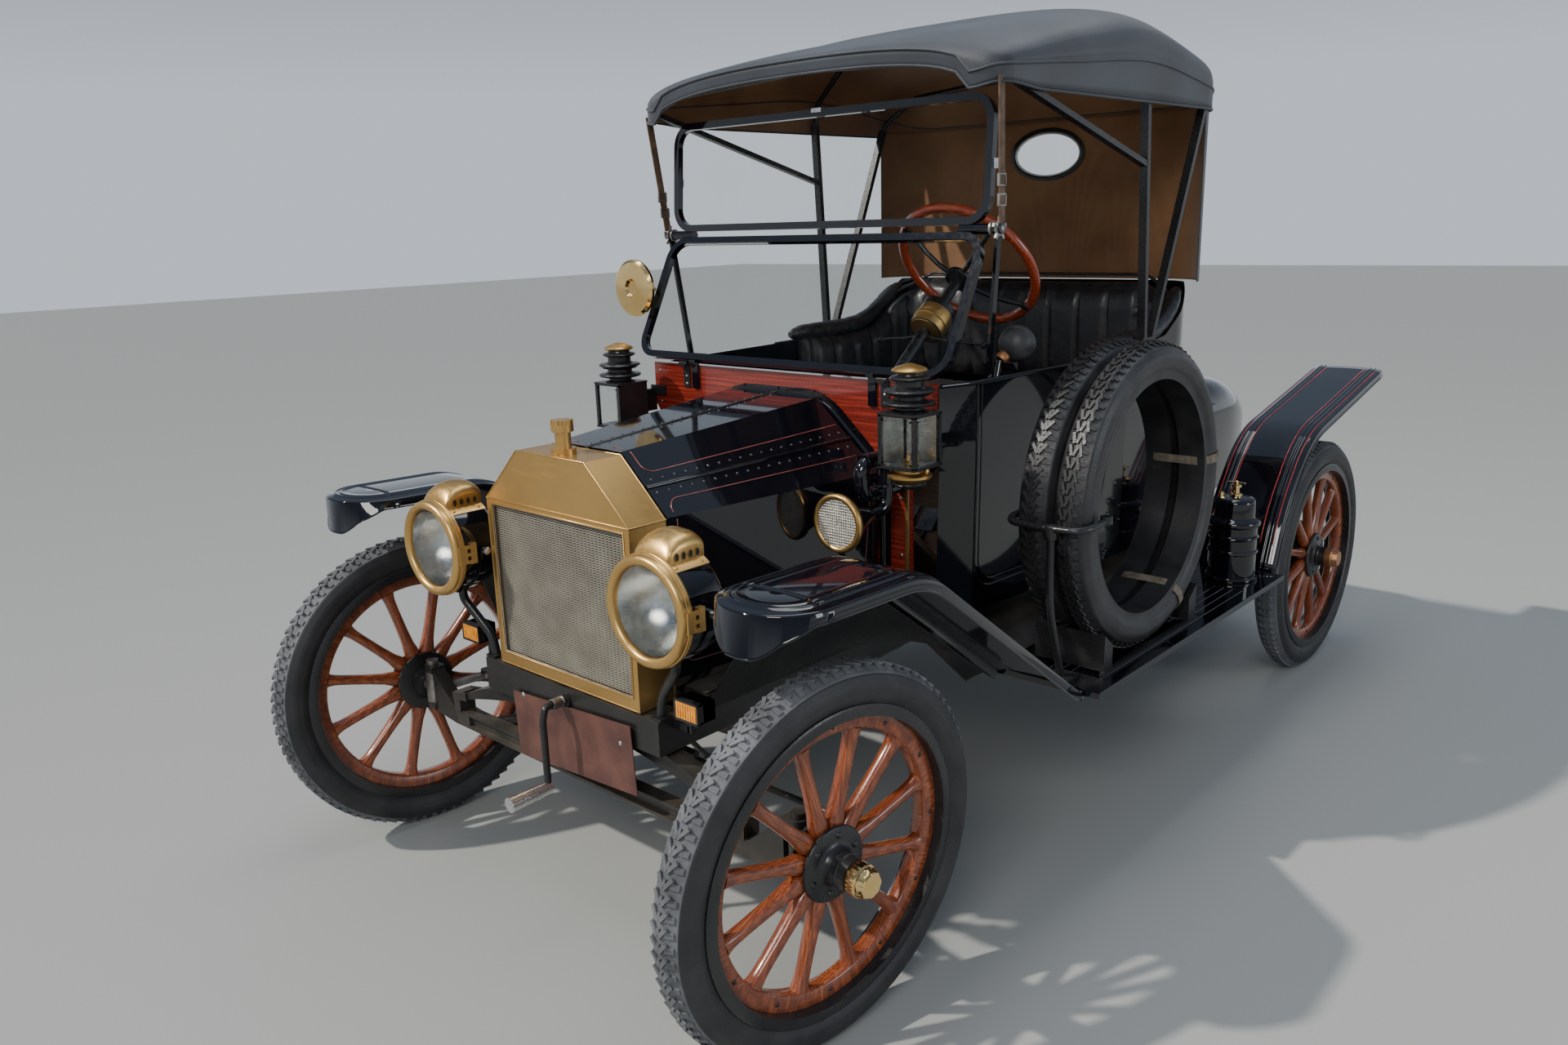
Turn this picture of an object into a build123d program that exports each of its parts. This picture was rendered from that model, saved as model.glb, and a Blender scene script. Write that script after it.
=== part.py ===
from build123d import *

# An early brass era two-seat runabout, built as its real pieces, one STEP file for each node.
# Millimetres. X is the car's left, Y is its rear and Z is up. Lengths along the car are measured
# from the front axle, and the whole is moved so that the origin is on the ground at mid-length.
from math import atan2, cos, radians, sin, tan
import os

# Running gear
WHEELBASE = 2540
TREAD = 1422
TYRE_R = 387
TYRE_SECTION_R = 44
RIM_R = TYRE_R - 96
RIM_WALL = 5
RIM_HALF = 40
RIM_LIP = 23
FELLOE_DEPTH = 32
FELLOE_HALF = 17
SPOKES = 12
TANK_R = 125
SPOKE_R = 17
HUB_DISC_R = 80
FLANGE_R = 76
FLANGE_T = 7
HUB_R = 33
CAP_R = 31
CAP_END = 121
CAMBER = 2.22
REST_STEER = -5.47
KINGPIN_X = 640
KINGPIN_R = 9
SPINDLE_R = 14
RUNNING_FIT = 0.06
CLEAR = 0.3
ARM_LENGTH = 150
AXLE_BEAM_Z = 340
AXLE_BEAM_H = 42
AXLE_BEAM_W = 34
YOKE_Z = 388
YOKE_HALF = 42
YOKE_EAR = 16

# Frame
SPRING_W = 45
SPRING_TOP = 516
RAIL_OUT = 305
RAIL_W = 38
RAIL_H = 76
RAIL_T = 5
FRAME_TOP = 560
FRAME_FRONT = -48
FRAME_REAR = WHEELBASE - 28
CROSS_RISE = 38

# Radiator and hood
RAD_FRONT = -43
RAD_REAR = 57
RAD_HALF = 245
RAD_BOTTOM = 563
CORE_HALF = 228
CORE_BOTTOM = 592
CORE_TOP = 946
TANK_SHOULDER_Z = 957
TANK_TOP = 1078
TANK_TOP_HALF = 109
HOOD_GAP = 6
HOOD_T = 3
HOOD_ROD_R = 5
HOOD_HINGE_R = 5
HOOD_BOTTOM = 606
FIREWALL_Y = 676
FIREWALL_T = 24
FIREWALL_TOP = 1174
FIREWALL_HALF = 468
FIREWALL_LOW_HALF = 398

# Body
BODY_FLOOR = 604
BODY_WALL = 10
BODY_TOP = 1168
SEAT_BACK_TOP = 1335
DOOR_FRONT = 800
DOOR_REAR = 1240
DOOR_BOTTOM = 650
DOOR_GAP = 5
DOOR_HINGE_Z = (720, 1110)
BODY_REAR = 1960
SEAT_GAP = 0.4
DECK_REAR = WHEELBASE + 300
DECK_LID_FRONT = 2080
DECK_LID_REAR = 2580
DECK_LID_HALF = 265
LID_T = 8
LID_HINGE_R = 7

# Fenders and running boards
FENDER_IN = 573
FENDER_OUT = 800
FENDER_T = 3
BOARD_TOP = 480
BOARD_T = 14
BOARD_IN = 556
BOARD_OUT = 838
BOARD_FRONT = 806
BOARD_REAR = WHEELBASE - 592

# Top
TOP_HALF = 575
TOP_T = 5
TOP_SKIRT_Z = 1806
TOP_FRONT = 765
TOP_REAR = 1975

SIDES = {"left": 1, "right": -1}
AXLE_Y = -1267


def save(name, *solids):
    """Writes one node: its solids, moved from the front axle's frame to the part's own."""
    flat = [s for shape in solids for s in shape.solids()]
    export_step(Pos(0, AXLE_Y, 0) * Compound(children=flat), f"parts/{name}.step")


def fused(shapes):
    """One solid from several that touch."""
    shapes = list(shapes)
    whole = shapes[0]
    for shape in shapes[1:]:
        whole = whole + shape
    return whole


def box(x, y, z):
    """A box from three (low, high) pairs."""
    size = [b - a for a, b in (x, y, z)]
    centre = [(a + b) / 2 for a, b in (x, y, z)]
    return Pos(*centre) * Box(*size)


def side_plate(outline, x0, x1):
    """A closed (y, z) outline in the side view, solid from x0 to x1."""
    plane = Plane(origin=(x0, 0, 0), x_dir=(0, 1, 0), z_dir=(1, 0, 0))
    return extrude(plane * make_face(Polyline(*outline, close=True)), amount=x1 - x0)


def front_plate(outline, y0, y1):
    """A closed (x, z) outline in the front view, solid from y0 to y1."""
    plane = Plane(origin=(0, y1, 0), x_dir=(1, 0, 0), z_dir=(0, -1, 0))
    return extrude(plane * make_face(Polyline(*outline, close=True)), amount=y1 - y0)


def rod(start, end, r, r_end=None):
    """A round bar, or a taper, between two points."""
    a = Vector(*start)
    b = Vector(*end)
    plane = Plane(origin=a, z_dir=b - a)
    length = (b - a).length
    if r_end is None or r_end == r:
        return Part() + plane * (Pos(0, 0, length / 2) * Cylinder(r, length))
    return Part() + plane * (Pos(0, 0, length / 2) * Cone(r, r_end, length))


def strap(start, end, width, thick, across=(1, 0, 0)):
    """A flat bar between two points, its width along the given direction."""
    a = Vector(*start)
    b = Vector(*end)
    plane = Plane(origin=a, x_dir=Vector(*across), z_dir=b - a)
    plane = Plane(origin=a, x_dir=plane.y_dir.cross(plane.z_dir), z_dir=b - a)
    return Part() + plane * (Pos(0, 0, (b - a).length / 2) * Box(width, thick, (b - a).length))


def tube(points, radius, bend):
    """A round bar bent through several points."""
    path = FilletPolyline(*points, radius=bend)
    section = Plane(origin=path @ 0, z_dir=path % 0) * Circle(radius)
    return sweep(section, path=path)


def turned(profile, place=Pos(0, 0, 0)):
    """A closed (along, radius) profile turned about the local X axis."""
    face = make_face(Polyline(*profile, close=True))
    return place * revolve(face, Axis.X)


def mirrored(shape):
    return mirror(shape, about=Plane.YZ)


def pair(shape):
    """A left-hand shape and its right-hand twin."""
    return [shape, mirrored(shape)]


# Wheels, with local X pointing outboard
RIM_SEAT_R = RIM_R + RIM_WALL
TYRE_CENTRE_R = TYRE_R - TYRE_SECTION_R
TYRE_BASE_HALF = RIM_HALF - RIM_WALL - CLEAR


def tyre_solid(outer=TYRE_R):
    drop = TYRE_R - outer
    rise = (TYRE_SECTION_R ** 2 - TYRE_BASE_HALF ** 2) ** 0.5
    low = TYRE_CENTRE_R - rise
    base_r = RIM_SEAT_R + CLEAR - drop
    low = low - drop
    left = Line((-TYRE_BASE_HALF, base_r), (-TYRE_BASE_HALF, low))
    tread = ThreePointArc(left @ 1, (0, outer), (TYRE_BASE_HALF, low))
    right = Line(tread @ 1, (TYRE_BASE_HALF, base_r))
    base = Line(right @ 1, left @ 0)
    return revolve(make_face([left, tread, right, base]), Axis.X)


def wheel_wood():
    felloe_in = RIM_R - CLEAR - FELLOE_DEPTH
    ring = turned([(-FELLOE_HALF, felloe_in), (-FELLOE_HALF, RIM_R - CLEAR),
                   (FELLOE_HALF, RIM_R - CLEAR), (FELLOE_HALF, felloe_in)])
    hub_disc = turned([(-FELLOE_HALF, HUB_R + CLEAR), (-FELLOE_HALF, HUB_DISC_R),
                       (FELLOE_HALF, HUB_DISC_R), (FELLOE_HALF, HUB_R + CLEAR)])
    spokes = []
    for i in range(SPOKES):
        turn = radians(360 / SPOKES * (i + 0.5))
        way = (0, cos(turn), sin(turn))
        start = [c * (HUB_DISC_R - 6) for c in way]
        end = [c * (felloe_in + 6) for c in way]
        spokes.append(rod(start, end, SPOKE_R, SPOKE_R - 4))
    return fused([ring, hub_disc, *spokes])


def wheel_metal(cap_end, inner_end):
    """Rim, hub flanges, barrel and cap. The bore takes the spindle."""
    out = FELLOE_HALF + CLEAR
    rim_in = RIM_HALF - RIM_WALL
    rim = turned([(-RIM_HALF, RIM_R), (RIM_HALF, RIM_R), (RIM_HALF, RIM_R + RIM_LIP),
                  (rim_in, RIM_R + RIM_LIP), (rim_in, RIM_SEAT_R), (-rim_in, RIM_SEAT_R),
                  (-rim_in, RIM_R + RIM_LIP), (-RIM_HALF, RIM_R + RIM_LIP)])
    neck_end = cap_end - 40
    hub = turned([(-inner_end, 0), (-inner_end, HUB_R + 8), (-out - FLANGE_T, HUB_R + 8),
                  (-out - FLANGE_T, FLANGE_R), (-out, FLANGE_R), (-out, HUB_R), (out, HUB_R),
                  (out, FLANGE_R), (out + FLANGE_T, FLANGE_R), (out + FLANGE_T + 6, HUB_R + 5),
                  (neck_end, HUB_R - 2), (neck_end, CAP_R + 2), (neck_end + 8, CAP_R + 2),
                  (neck_end + 8, CAP_R), (cap_end - 5, CAP_R - 2), (cap_end, CAP_R - 10),
                  (cap_end, 0)])
    bore = turned([(-inner_end - 1, 0), (-inner_end - 1, SPINDLE_R + RUNNING_FIT),
                   (50, SPINDLE_R + RUNNING_FIT), (50, 0)])
    return [rim, hub - bore]


WHEEL_Z = TYRE_CENTRE_R * cos(radians(CAMBER)) + TYRE_SECTION_R
PIN_TO_WHEEL = TREAD / 2 - KINGPIN_X
SPINDLE_Z = WHEEL_Z + PIN_TO_WHEEL * tan(radians(CAMBER))


def front_place(side):
    """Where a front wheel's middle is, turned and leaned as it stands."""
    x = side * KINGPIN_X
    turn = radians(REST_STEER)
    dx = side * PIN_TO_WHEEL * cos(turn)
    dy = side * PIN_TO_WHEEL * sin(turn)
    heading = REST_STEER if side > 0 else REST_STEER + 180
    return Pos(x + dx, dy, WHEEL_Z) * Rot(Z=heading) * Rot(Y=CAMBER)


def rear_place(side):
    return Pos(side * TREAD / 2, WHEELBASE, TYRE_R) * Rot(Z=0 if side > 0 else 180)


def make_wheels():
    tyre = tyre_solid()
    wood = wheel_wood()
    kinds = {"front": (front_place, wheel_metal(CAP_END, 40)),
             "rear": (rear_place, wheel_metal(CAP_END - 20, 40))}
    for end, (place, metal) in kinds.items():
        for name, side in SIDES.items():
            spot = place(side)
            save(f"tyre_{end}_{name}", spot * tyre)
            save(f"wheel_{end}_{name}", spot * wood, *[spot * m for m in metal])


# Front axle, knuckles and steering
PIN_TOP = YOKE_Z + YOKE_HALF + YOKE_EAR
PIN_BOTTOM = YOKE_Z - YOKE_HALF - YOKE_EAR
BOSS_GAP = 0.5
PERCH_X = 500
TIE_Z = YOKE_Z - 14


def make_front_axle():
    top = AXLE_BEAM_Z + AXLE_BEAM_H / 2
    low = AXLE_BEAM_Z - AXLE_BEAM_H / 2
    half_w = AXLE_BEAM_W / 2
    beam = box((-PERCH_X - 20, PERCH_X + 20), (-half_w, half_w), (low, top))
    pocket = box((-PERCH_X + 40, PERCH_X - 40), (6, half_w + 1), (low + 8, top - 8))
    beam = beam - pocket - mirror(pocket, about=Plane.XZ)
    pieces = [beam]
    for side in (1, -1):
        near = PERCH_X + 20
        far = KINGPIN_X - 26
        rise = front_plate([(side * near, low), (side * near, top), (side * (far + 8), PIN_TOP),
                            (side * (far + 8), PIN_TOP - YOKE_EAR), (side * far, PIN_TOP - YOKE_EAR),
                            (side * far, PIN_BOTTOM + YOKE_EAR), (side * (far + 8), PIN_BOTTOM)],
                           -half_w, half_w)
        pieces.append(rise)
        for z in (PIN_BOTTOM, PIN_TOP - YOKE_EAR):
            ear = box(sorted((side * (far - 2), side * KINGPIN_X)), (-20, 20), (z, z + YOKE_EAR))
            ear = ear + Pos(side * KINGPIN_X, 0, z + YOKE_EAR / 2) * Cylinder(20, YOKE_EAR)
            pieces.append(ear)
        perch = Pos(side * PERCH_X, 0, top + 24) * Box(26, SPRING_W - 2 * CLEAR, 50)
        pieces.append(perch)
    whole = fused(pieces)
    for side in (1, -1):
        whole = whole - Pos(side * KINGPIN_X, 0, YOKE_Z) * Cylinder(KINGPIN_R + RUNNING_FIT, 200)
    rods = [rod((side * (PERCH_X - 60), 12, AXLE_BEAM_Z - 8), (side * 10, 700, AXLE_BEAM_Z), 11) for side in (1, -1)]
    ball_joint = Pos(0, 704, AXLE_BEAM_Z) * Sphere(22)
    save("front_axle", fused([whole, *rods, ball_joint]))


def make_knuckle(name, side):
    boss_low = PIN_BOTTOM + YOKE_EAR + BOSS_GAP
    boss_high = PIN_TOP - YOKE_EAR - BOSS_GAP
    boss = Pos(0, 0, (boss_low + boss_high) / 2) * Cylinder(21, boss_high - boss_low)
    pin = Pos(0, 0, YOKE_Z) * Cylinder(KINGPIN_R, PIN_TOP - PIN_BOTTOM + 12)
    head = Pos(0, 0, PIN_TOP + 6 + BOSS_GAP) * Cylinder(15, 12)
    lean = Pos(0, 0, SPINDLE_Z) * (Rot(Z=0 if side > 0 else 180) * Rot(Y=CAMBER))
    spindle = lean * (Pos(45, 0, 0) * Rot(Y=90) * Cylinder(SPINDLE_R, 90))
    collar = lean * (Pos(22, 0, 0) * Rot(Y=90) * Cone(20, 17, 12))
    arm = strap((0, 12, TIE_Z), (0, ARM_LENGTH, TIE_Z), 22, 14)
    eye = Pos(0, ARM_LENGTH, TIE_Z) * Cylinder(15, 14)
    eye_hole = Pos(0, ARM_LENGTH, TIE_Z) * Cylinder(8 + RUNNING_FIT, 40)
    whole = fused([boss, pin, head, spindle, collar, arm, eye]) - eye_hole
    save(f"knuckle_{name}", Pos(side * KINGPIN_X, 0, 0) * Rot(Z=REST_STEER) * whole)


def arm_end(side):
    turn = radians(REST_STEER)
    return side * KINGPIN_X - ARM_LENGTH * sin(turn), ARM_LENGTH * cos(turn)


def make_tie_rod():
    (x1, y1), (x0, y0) = arm_end(1), arm_end(-1)
    gap = 7 + BOSS_GAP
    shapes = [rod((x0 + 30, y0, TIE_Z), (x1 - 30, y1, TIE_Z), 8)]
    for x, way in ((x0, 1), (x1, -1)):
        for z in (TIE_Z - gap - 4, TIE_Z + gap + 4):
            shapes.append(Pos(x, y0, z) * Cylinder(15, 8))
            shapes.append(box(sorted((x, x + way * 34)), (y0 - 9, y0 + 9), (z - 4, z + 4)))
        shapes.append(box(sorted((x + way * 24, x + way * 34)), (y0 - 9, y0 + 9),
                          (TIE_Z - gap - 8, TIE_Z + gap + 8)))
    pin_left = Pos(x1, y1, TIE_Z) * Cylinder(8, 44)
    shapes.append(pin_left)
    end = pitman_end()
    link_end = (end[0] - 34, end[1] - 6, end[2])
    shapes.append(rod((x0 + 60, y0, TIE_Z + 20), link_end, 9))
    shapes.append(rod((x0 + 60, y0, TIE_Z), (x0 + 60, y0, TIE_Z + 32), 12))
    save("tie_rod", fused(shapes))


COLUMN_X = 232
COLUMN_LOW = (60, 520)
COLUMN_ANGLE = 38.8
WHEEL_RIM_R = 190
PITMAN = ARM_LENGTH
PITMAN_AT = -14


def column_point(along, x=COLUMN_X):
    a = radians(COLUMN_ANGLE)
    return (x, COLUMN_LOW[0] + along * cos(a), COLUMN_LOW[1] + along * sin(a))


def pitman_end():
    a = radians(COLUMN_ANGLE)
    t = radians(REST_STEER)
    x = COLUMN_X - PITMAN * sin(t)
    down = PITMAN * cos(t)
    base = column_point(PITMAN_AT)
    return (x, base[1] + down * sin(a), base[2] - down * cos(a))


def make_steering():
    make_tie_rod()
    end = pitman_end()
    base = column_point(PITMAN_AT)
    low = column_point(PITMAN_AT - 14)
    high = column_point(PITMAN_AT + 14)
    a = radians(COLUMN_ANGLE)
    eye = rod((end[0], end[1] - 7 * cos(a), end[2] - 7 * sin(a)), (end[0], end[1] + 7 * cos(a), end[2] + 7 * sin(a)), 9)
    pitman = fused([rod(low, high, 16), strap(base, end, 13, 9), eye])
    save("pitman_arm", pitman)
    top = column_point(1425)
    shell = fused([rod(column_point(PITMAN_AT + 14 + BOSS_GAP), column_point(1180), 15),
                   rod(column_point(1180), column_point(1262), 44)])
    bracket = box((COLUMN_X - 25, 271), (96, 140), (FRAME_TOP + CLEAR, FRAME_TOP + 8))
    save("steering_column", shell + bracket)
    tilt = Plane(origin=top, x_dir=(1, 0, 0), z_dir=(0, cos(radians(COLUMN_ANGLE)), sin(radians(COLUMN_ANGLE))))
    rim = tilt * Torus(WHEEL_RIM_R, 14)
    hub = tilt * (Pos(0, 0, -52) * Cylinder(38, 14))
    shaft = rod(column_point(1262 + CLEAR), column_point(1380), 14)
    spokes = []
    for i in range(4):
        turn = radians(45 + 90 * i)
        a = tilt.from_local_coords((30 * cos(turn), 30 * sin(turn), -50))
        b = tilt.from_local_coords(((WHEEL_RIM_R - 4) * cos(turn), (WHEEL_RIM_R - 4) * sin(turn), -3))
        spokes.append(rod(tuple(a), tuple(b), 8))
    save("steering_wheel", fused([rim, hub, shaft, *spokes]))


# Frame, springs, axle at the rear, engine and exhaust
def make_frame():
    low = FRAME_TOP - RAIL_H
    rails = []
    for side in (1, -1):
        web = box(sorted((side * (RAIL_OUT - RAIL_T), side * RAIL_OUT)), (FRAME_FRONT, FRAME_REAR), (low, FRAME_TOP))
        rails.append(web)
        for z in (low, FRAME_TOP - RAIL_T):
            rails.append(box(sorted((side * (RAIL_OUT - RAIL_W), side * RAIL_OUT)),
                             (FRAME_FRONT, FRAME_REAR), (z, z + RAIL_T)))
    cross = box((-RAIL_OUT, RAIL_OUT), (FRAME_FRONT, 30), (low, FRAME_TOP))
    inside = RAIL_OUT - RAIL_W
    cross = cross - box((-inside, inside), (FRAME_FRONT + 12, 31), (low - 1, FRAME_TOP - 8))
    cross = cross + rod((0, FRAME_FRONT - 6, CRANK_Z), (0, FRAME_FRONT + 1, CRANK_Z), 18)
    cross = cross - rod((0, -200, CRANK_Z), (0, 0, CRANK_Z), 8 + RUNNING_FIT)
    saddle = box((-60, 60), (-24, 24), (SPRING_TOP + CLEAR, FRAME_TOP - 4))
    top = FRAME_TOP + CROSS_RISE
    arch = front_plate([(-RAIL_OUT, low), (-inside, low), (-200, low + 42), (200, low + 42), (inside, low),
                        (RAIL_OUT, low), (RAIL_OUT, FRAME_TOP), (230, top), (-230, top), (-RAIL_OUT, FRAME_TOP)],
                       FRAME_REAR - 10, WHEELBASE + 38)
    arch = arch - box((-400, 400), (FRAME_REAR + 2, WHEELBASE + 28), (low - 1, top - 8))
    whole = fused(rails + [cross, saddle, arch])
    save("frame", whole)


def spring(half, low, high, y, width, thick):
    """A bowed leaf pack across the car, with its eyes at the ends."""
    over = ThreePointArc((-half, low), (0, high), (half, low))
    under = ThreePointArc((half, low - thick * 0.35), (0, high - thick), (-half, low - thick * 0.35))
    outline = make_face([over, Line(over @ 1, under @ 0), under, Line(under @ 1, over @ 0)])
    plane = Plane(origin=(0, y + width / 2, 0), x_dir=(1, 0, 0), z_dir=(0, -1, 0))
    return extrude(plane * outline, amount=width)


REAR_PERCH_X = 520


def make_springs():
    top = AXLE_BEAM_Z + AXLE_BEAM_H / 2
    front = spring(PERCH_X - 40, top + 56, SPRING_TOP, 0, SPRING_W, 46)
    rear = spring(REAR_PERCH_X - 30, TYRE_R + 62, FRAME_TOP + CROSS_RISE - 8 - CLEAR, WHEELBASE, SPRING_W, 60)
    shackles = []
    for side in (1, -1):
        for plus in (-1, 1):
            y0 = plus * (SPRING_W / 2 + 2.5)
            shackles.append(strap((side * (PERCH_X - 52), y0, top + 50), (side * (PERCH_X + 8), y0, top + 40), 20, 5, (0, 0, 1)))
            y1 = WHEELBASE + y0
            shackles.append(strap((side * (REAR_PERCH_X - 42), y1, TYRE_R + 56),
                                  (side * (REAR_PERCH_X + 12), y1, TYRE_R + 43), 20, 5, (0, 0, 1)))
    save("springs", fused([front, *shackles[0::2]]), fused([rear, *shackles[1::2]]))


def make_rear_axle():
    y, z = WHEELBASE, TYRE_R
    face_x = TREAD / 2 - 40 - BOSS_GAP
    tube_shape = rod((-face_x + 30, y, z), (face_x - 30, y, z), 38, 38)
    ball = Pos(0, y, z) * Sphere(118)
    ball = ball & box((-95, 95), (y - 160, y + 160), (z - 160, z + 160))
    drum = [rod((side * (face_x - 52), y, z), (side * (face_x - 4), y, z), 112) for side in (1, -1)]
    shaft = rod((-TREAD / 2 - 30, y, z), (TREAD / 2 + 30, y, z), SPINDLE_R)
    perch = [Pos(side * REAR_PERCH_X, y, z + 40) * Box(28, SPRING_W - 2 * CLEAR, 52) for side in (1, -1)]
    torque = rod((0, y - 100, z), (0, 1290, 452), 42, 32)
    whole = fused([tube_shape, ball, *drum, shaft, *perch, torque])
    rods = [rod((side * (face_x - 70), y - 34, z - 30), (side * 38, 1330, 440), 12) for side in (1, -1)]
    save("rear_axle", fused([whole, *rods]))


def make_engine():
    block = box((-105, 105), (130, 630), (480, 880))
    head = box((-95, 95), (140, 620), (878, 930))
    pan = side_plate([(150, 481), (180, 440), (320, 352), (560, 368), (980, 384), (1240, 430), (1240, 540), (1120, 590), (640, 590), (630, 481)], -150, 150)
    hub = rod((0, 60, CRANK_Z), (0, 131, CRANK_Z), 20)
    arms = box((-RAIL_OUT + RAIL_T + CLEAR, RAIL_OUT - RAIL_T - CLEAR), (516, 548), (524, FRAME_TOP - RAIL_T - CLEAR))
    save("engine", fused([block, head, pan, hub, arms]))
    pipe = tube([(-105 - CLEAR, 300, 800), (-150, 300, 800), (-150, 500, 800), (-196, 590, 520), (-196, 1300, 512), (-196, 1720, 512)], 20, 40)
    muffler = rod((-196, 1715, 512), (-196, 2120, 512), 60)
    tail = rod((-196, 2120, 512), (-196, 2300, 500), 16)
    save("exhaust", fused([pipe, muffler, tail]))
    save("fuel_tank", rod((-400, 1600, BODY_FLOOR + TANK_R), (400, 1600, BODY_FLOOR + TANK_R), TANK_R))


# Radiator, hood and firewall
def make_radiator():
    outline = [(-RAD_HALF, RAD_BOTTOM), (-RAD_HALF, TANK_SHOULDER_Z), (-TANK_TOP_HALF - 8, TANK_TOP),
               (TANK_TOP_HALF + 8, TANK_TOP), (RAD_HALF, TANK_SHOULDER_Z), (RAD_HALF, RAD_BOTTOM)]
    shell = front_plate(outline, RAD_FRONT, RAD_REAR)
    core_gap = box((-CORE_HALF, CORE_HALF), (RAD_FRONT - 1, RAD_REAR + 1), (CORE_BOTTOM, CORE_TOP))
    shell = shell - core_gap
    neck = Pos(0, -2, TANK_TOP + 22) * Cylinder(17, 50)
    collar = Pos(0, -2, TANK_TOP + 6) * Cylinder(27, 12)
    cap = Pos(0, -2, TANK_TOP + 58) * Cylinder(24, 28)
    for i in range(8):
        turn = radians(45 * i)
        notch = Pos(24 * cos(turn), -2 + 24 * sin(turn), TANK_TOP + 72) * Cylinder(5, 18)
        cap = cap - notch
    save("radiator_shell", fused([shell, neck, collar]), cap & box((-99, 99), (-99, 99), (TANK_TOP + 47 + CLEAR, TANK_TOP + 99)))
    core = box((-CORE_HALF + CLEAR, CORE_HALF - CLEAR), (RAD_FRONT + 8, RAD_REAR - 8),
               (CORE_BOTTOM + CLEAR, CORE_TOP - CLEAR))
    save("radiator_core", core)


HOOD_FRONT = RAD_REAR + HOOD_GAP
HOOD_REAR = FIREWALL_Y - 31
FORMER_DEPTH = 12
SIDE_PANEL_RELIEF = 24
# y, ridge height, half-width of the flat top, half-width of the side, height of the shoulder
HOOD_ENDS = ((HOOD_FRONT, 1082, 109, 243, 958), (HOOD_REAR, 1124, 150, 335, 962))
HINGE_SHARE = 0.55


def hinge_point(end):
    y, top, top_half, half, shoulder = end
    return (top_half + (half - top_half) * HINGE_SHARE, y, top + (shoulder - top) * HINGE_SHARE)


def hood_panel(keys):
    """A panel from the front section to the rear one, between two points of each section."""
    walls = []
    for end in HOOD_ENDS:
        y, top, top_half, half, shoulder = end
        hx, _, hz = hinge_point(end)
        spots = {"ridge": (HOOD_ROD_R + 0.5, top), "bend": (top_half, top), "hinge": (hx, hz),
                 "shoulder": (half, shoulder), "foot": (half, HOOD_BOTTOM)}
        line = [spots[k] for k in keys]
        slant = Vector(half - top_half, 0, shoulder - top).normalized()
        normal = (-slant.Z * HOOD_T, slant.X * HOOD_T)
        inner = []
        for k, (x, z) in zip(keys, line):
            step = {"ridge": (0, -HOOD_T), "bend": (-normal[0] * 0.55, -HOOD_T),
                    "hinge": (-normal[0], -normal[1]), "shoulder": (-HOOD_T, -normal[1] * 0.45),
                    "foot": (-HOOD_T, 0)}[k]
            inner.append((x + step[0], z + step[1]))
        if "hinge" in keys[:1]:
            shift = (slant.X * (HOOD_HINGE_R + 0.5), slant.Z * (HOOD_HINGE_R + 0.5))
            line[0] = (line[0][0] + shift[0], line[0][1] + shift[1])
            inner[0] = (inner[0][0] + shift[0], inner[0][1] + shift[1])
        points = [(x, y, z) for x, z in line + inner[::-1]]
        walls.append(Polyline(*points, close=True))
    return loft([make_face(w) for w in walls], ruled=True)


def make_hood():
    front, rear = HOOD_ENDS
    pin_front = hinge_point(front)
    pin_rear = hinge_point(rear)
    top_panel = hood_panel(("ridge", "bend", "hinge"))
    rod_ = rod(pin_front, pin_rear, HOOD_HINGE_R)
    top_panel = fused([top_panel, rod_])
    side_panel = hood_panel(("hinge", "shoulder", "foot"))
    relief = side_plate([(HOOD_REAR + 1, 860), (HOOD_REAR - SIDE_PANEL_RELIEF, HOOD_BOTTOM - 1),
                         (HOOD_REAR + 1, HOOD_BOTTOM - 1)], 200, 400)
    side_panel = side_panel - relief
    save("hood_top_left", top_panel)
    save("hood_top_right", mirrored(top_panel))
    save("hood_side_left", side_panel)
    save("hood_side_right", mirrored(side_panel))
    y0 = FIREWALL_Y - FORMER_DEPTH
    rise = (rear[1] - front[1]) / (rear[0] - front[0])
    rod_front = (0, RAD_REAR + CLEAR, front[1] - 2 - rise * (front[0] - RAD_REAR - CLEAR))
    rod_rear = (0, y0 + 1, rear[1] - 2 + rise * (y0 + 1 - rear[0]))
    centre = rod(rod_front, rod_rear, HOOD_ROD_R)
    _, top, top_half, half, shoulder = rear
    outline = [(-half, FRAME_TOP + 16), (-half, shoulder), (-top_half, top + 6), (top_half, top + 6), (half, shoulder), (half, FRAME_TOP + 16)]
    outer = front_plate(outline, y0, FIREWALL_Y - CLEAR)
    small = [(x * 0.98, z - 9 if z > FRAME_TOP + 20 else z - 1) for x, z in outline]
    former = outer - front_plate(small, y0 - 1, FIREWALL_Y + 1)
    ledges = [box(sorted((side * (RAIL_OUT - RAIL_W + 5), side * 338)), (RAD_REAR + 2, HOOD_REAR), (FRAME_TOP + CLEAR, HOOD_BOTTOM - HOOD_GAP))
              for side in (1, -1)]
    save("hood_former", fused([former, centre]))
    return ledges


def make_firewall():
    outline = [(FIREWALL_LOW_HALF, FRAME_TOP + CLEAR), (FIREWALL_LOW_HALF, 960), (FIREWALL_HALF, 1060), (FIREWALL_HALF, FIREWALL_TOP)]
    outline = outline + [(-x, z) for x, z in outline[::-1]]
    board = front_plate(outline, FIREWALL_Y, FIREWALL_Y + FIREWALL_T)
    column_hole = rod(column_point(500), column_point(1200), 17 + 1)
    notch = box((-156, 156), (FIREWALL_Y - 1, FIREWALL_Y + FIREWALL_T + 1), (FRAME_TOP - 1, 600))
    save("firewall", board - column_hole - notch)


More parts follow.
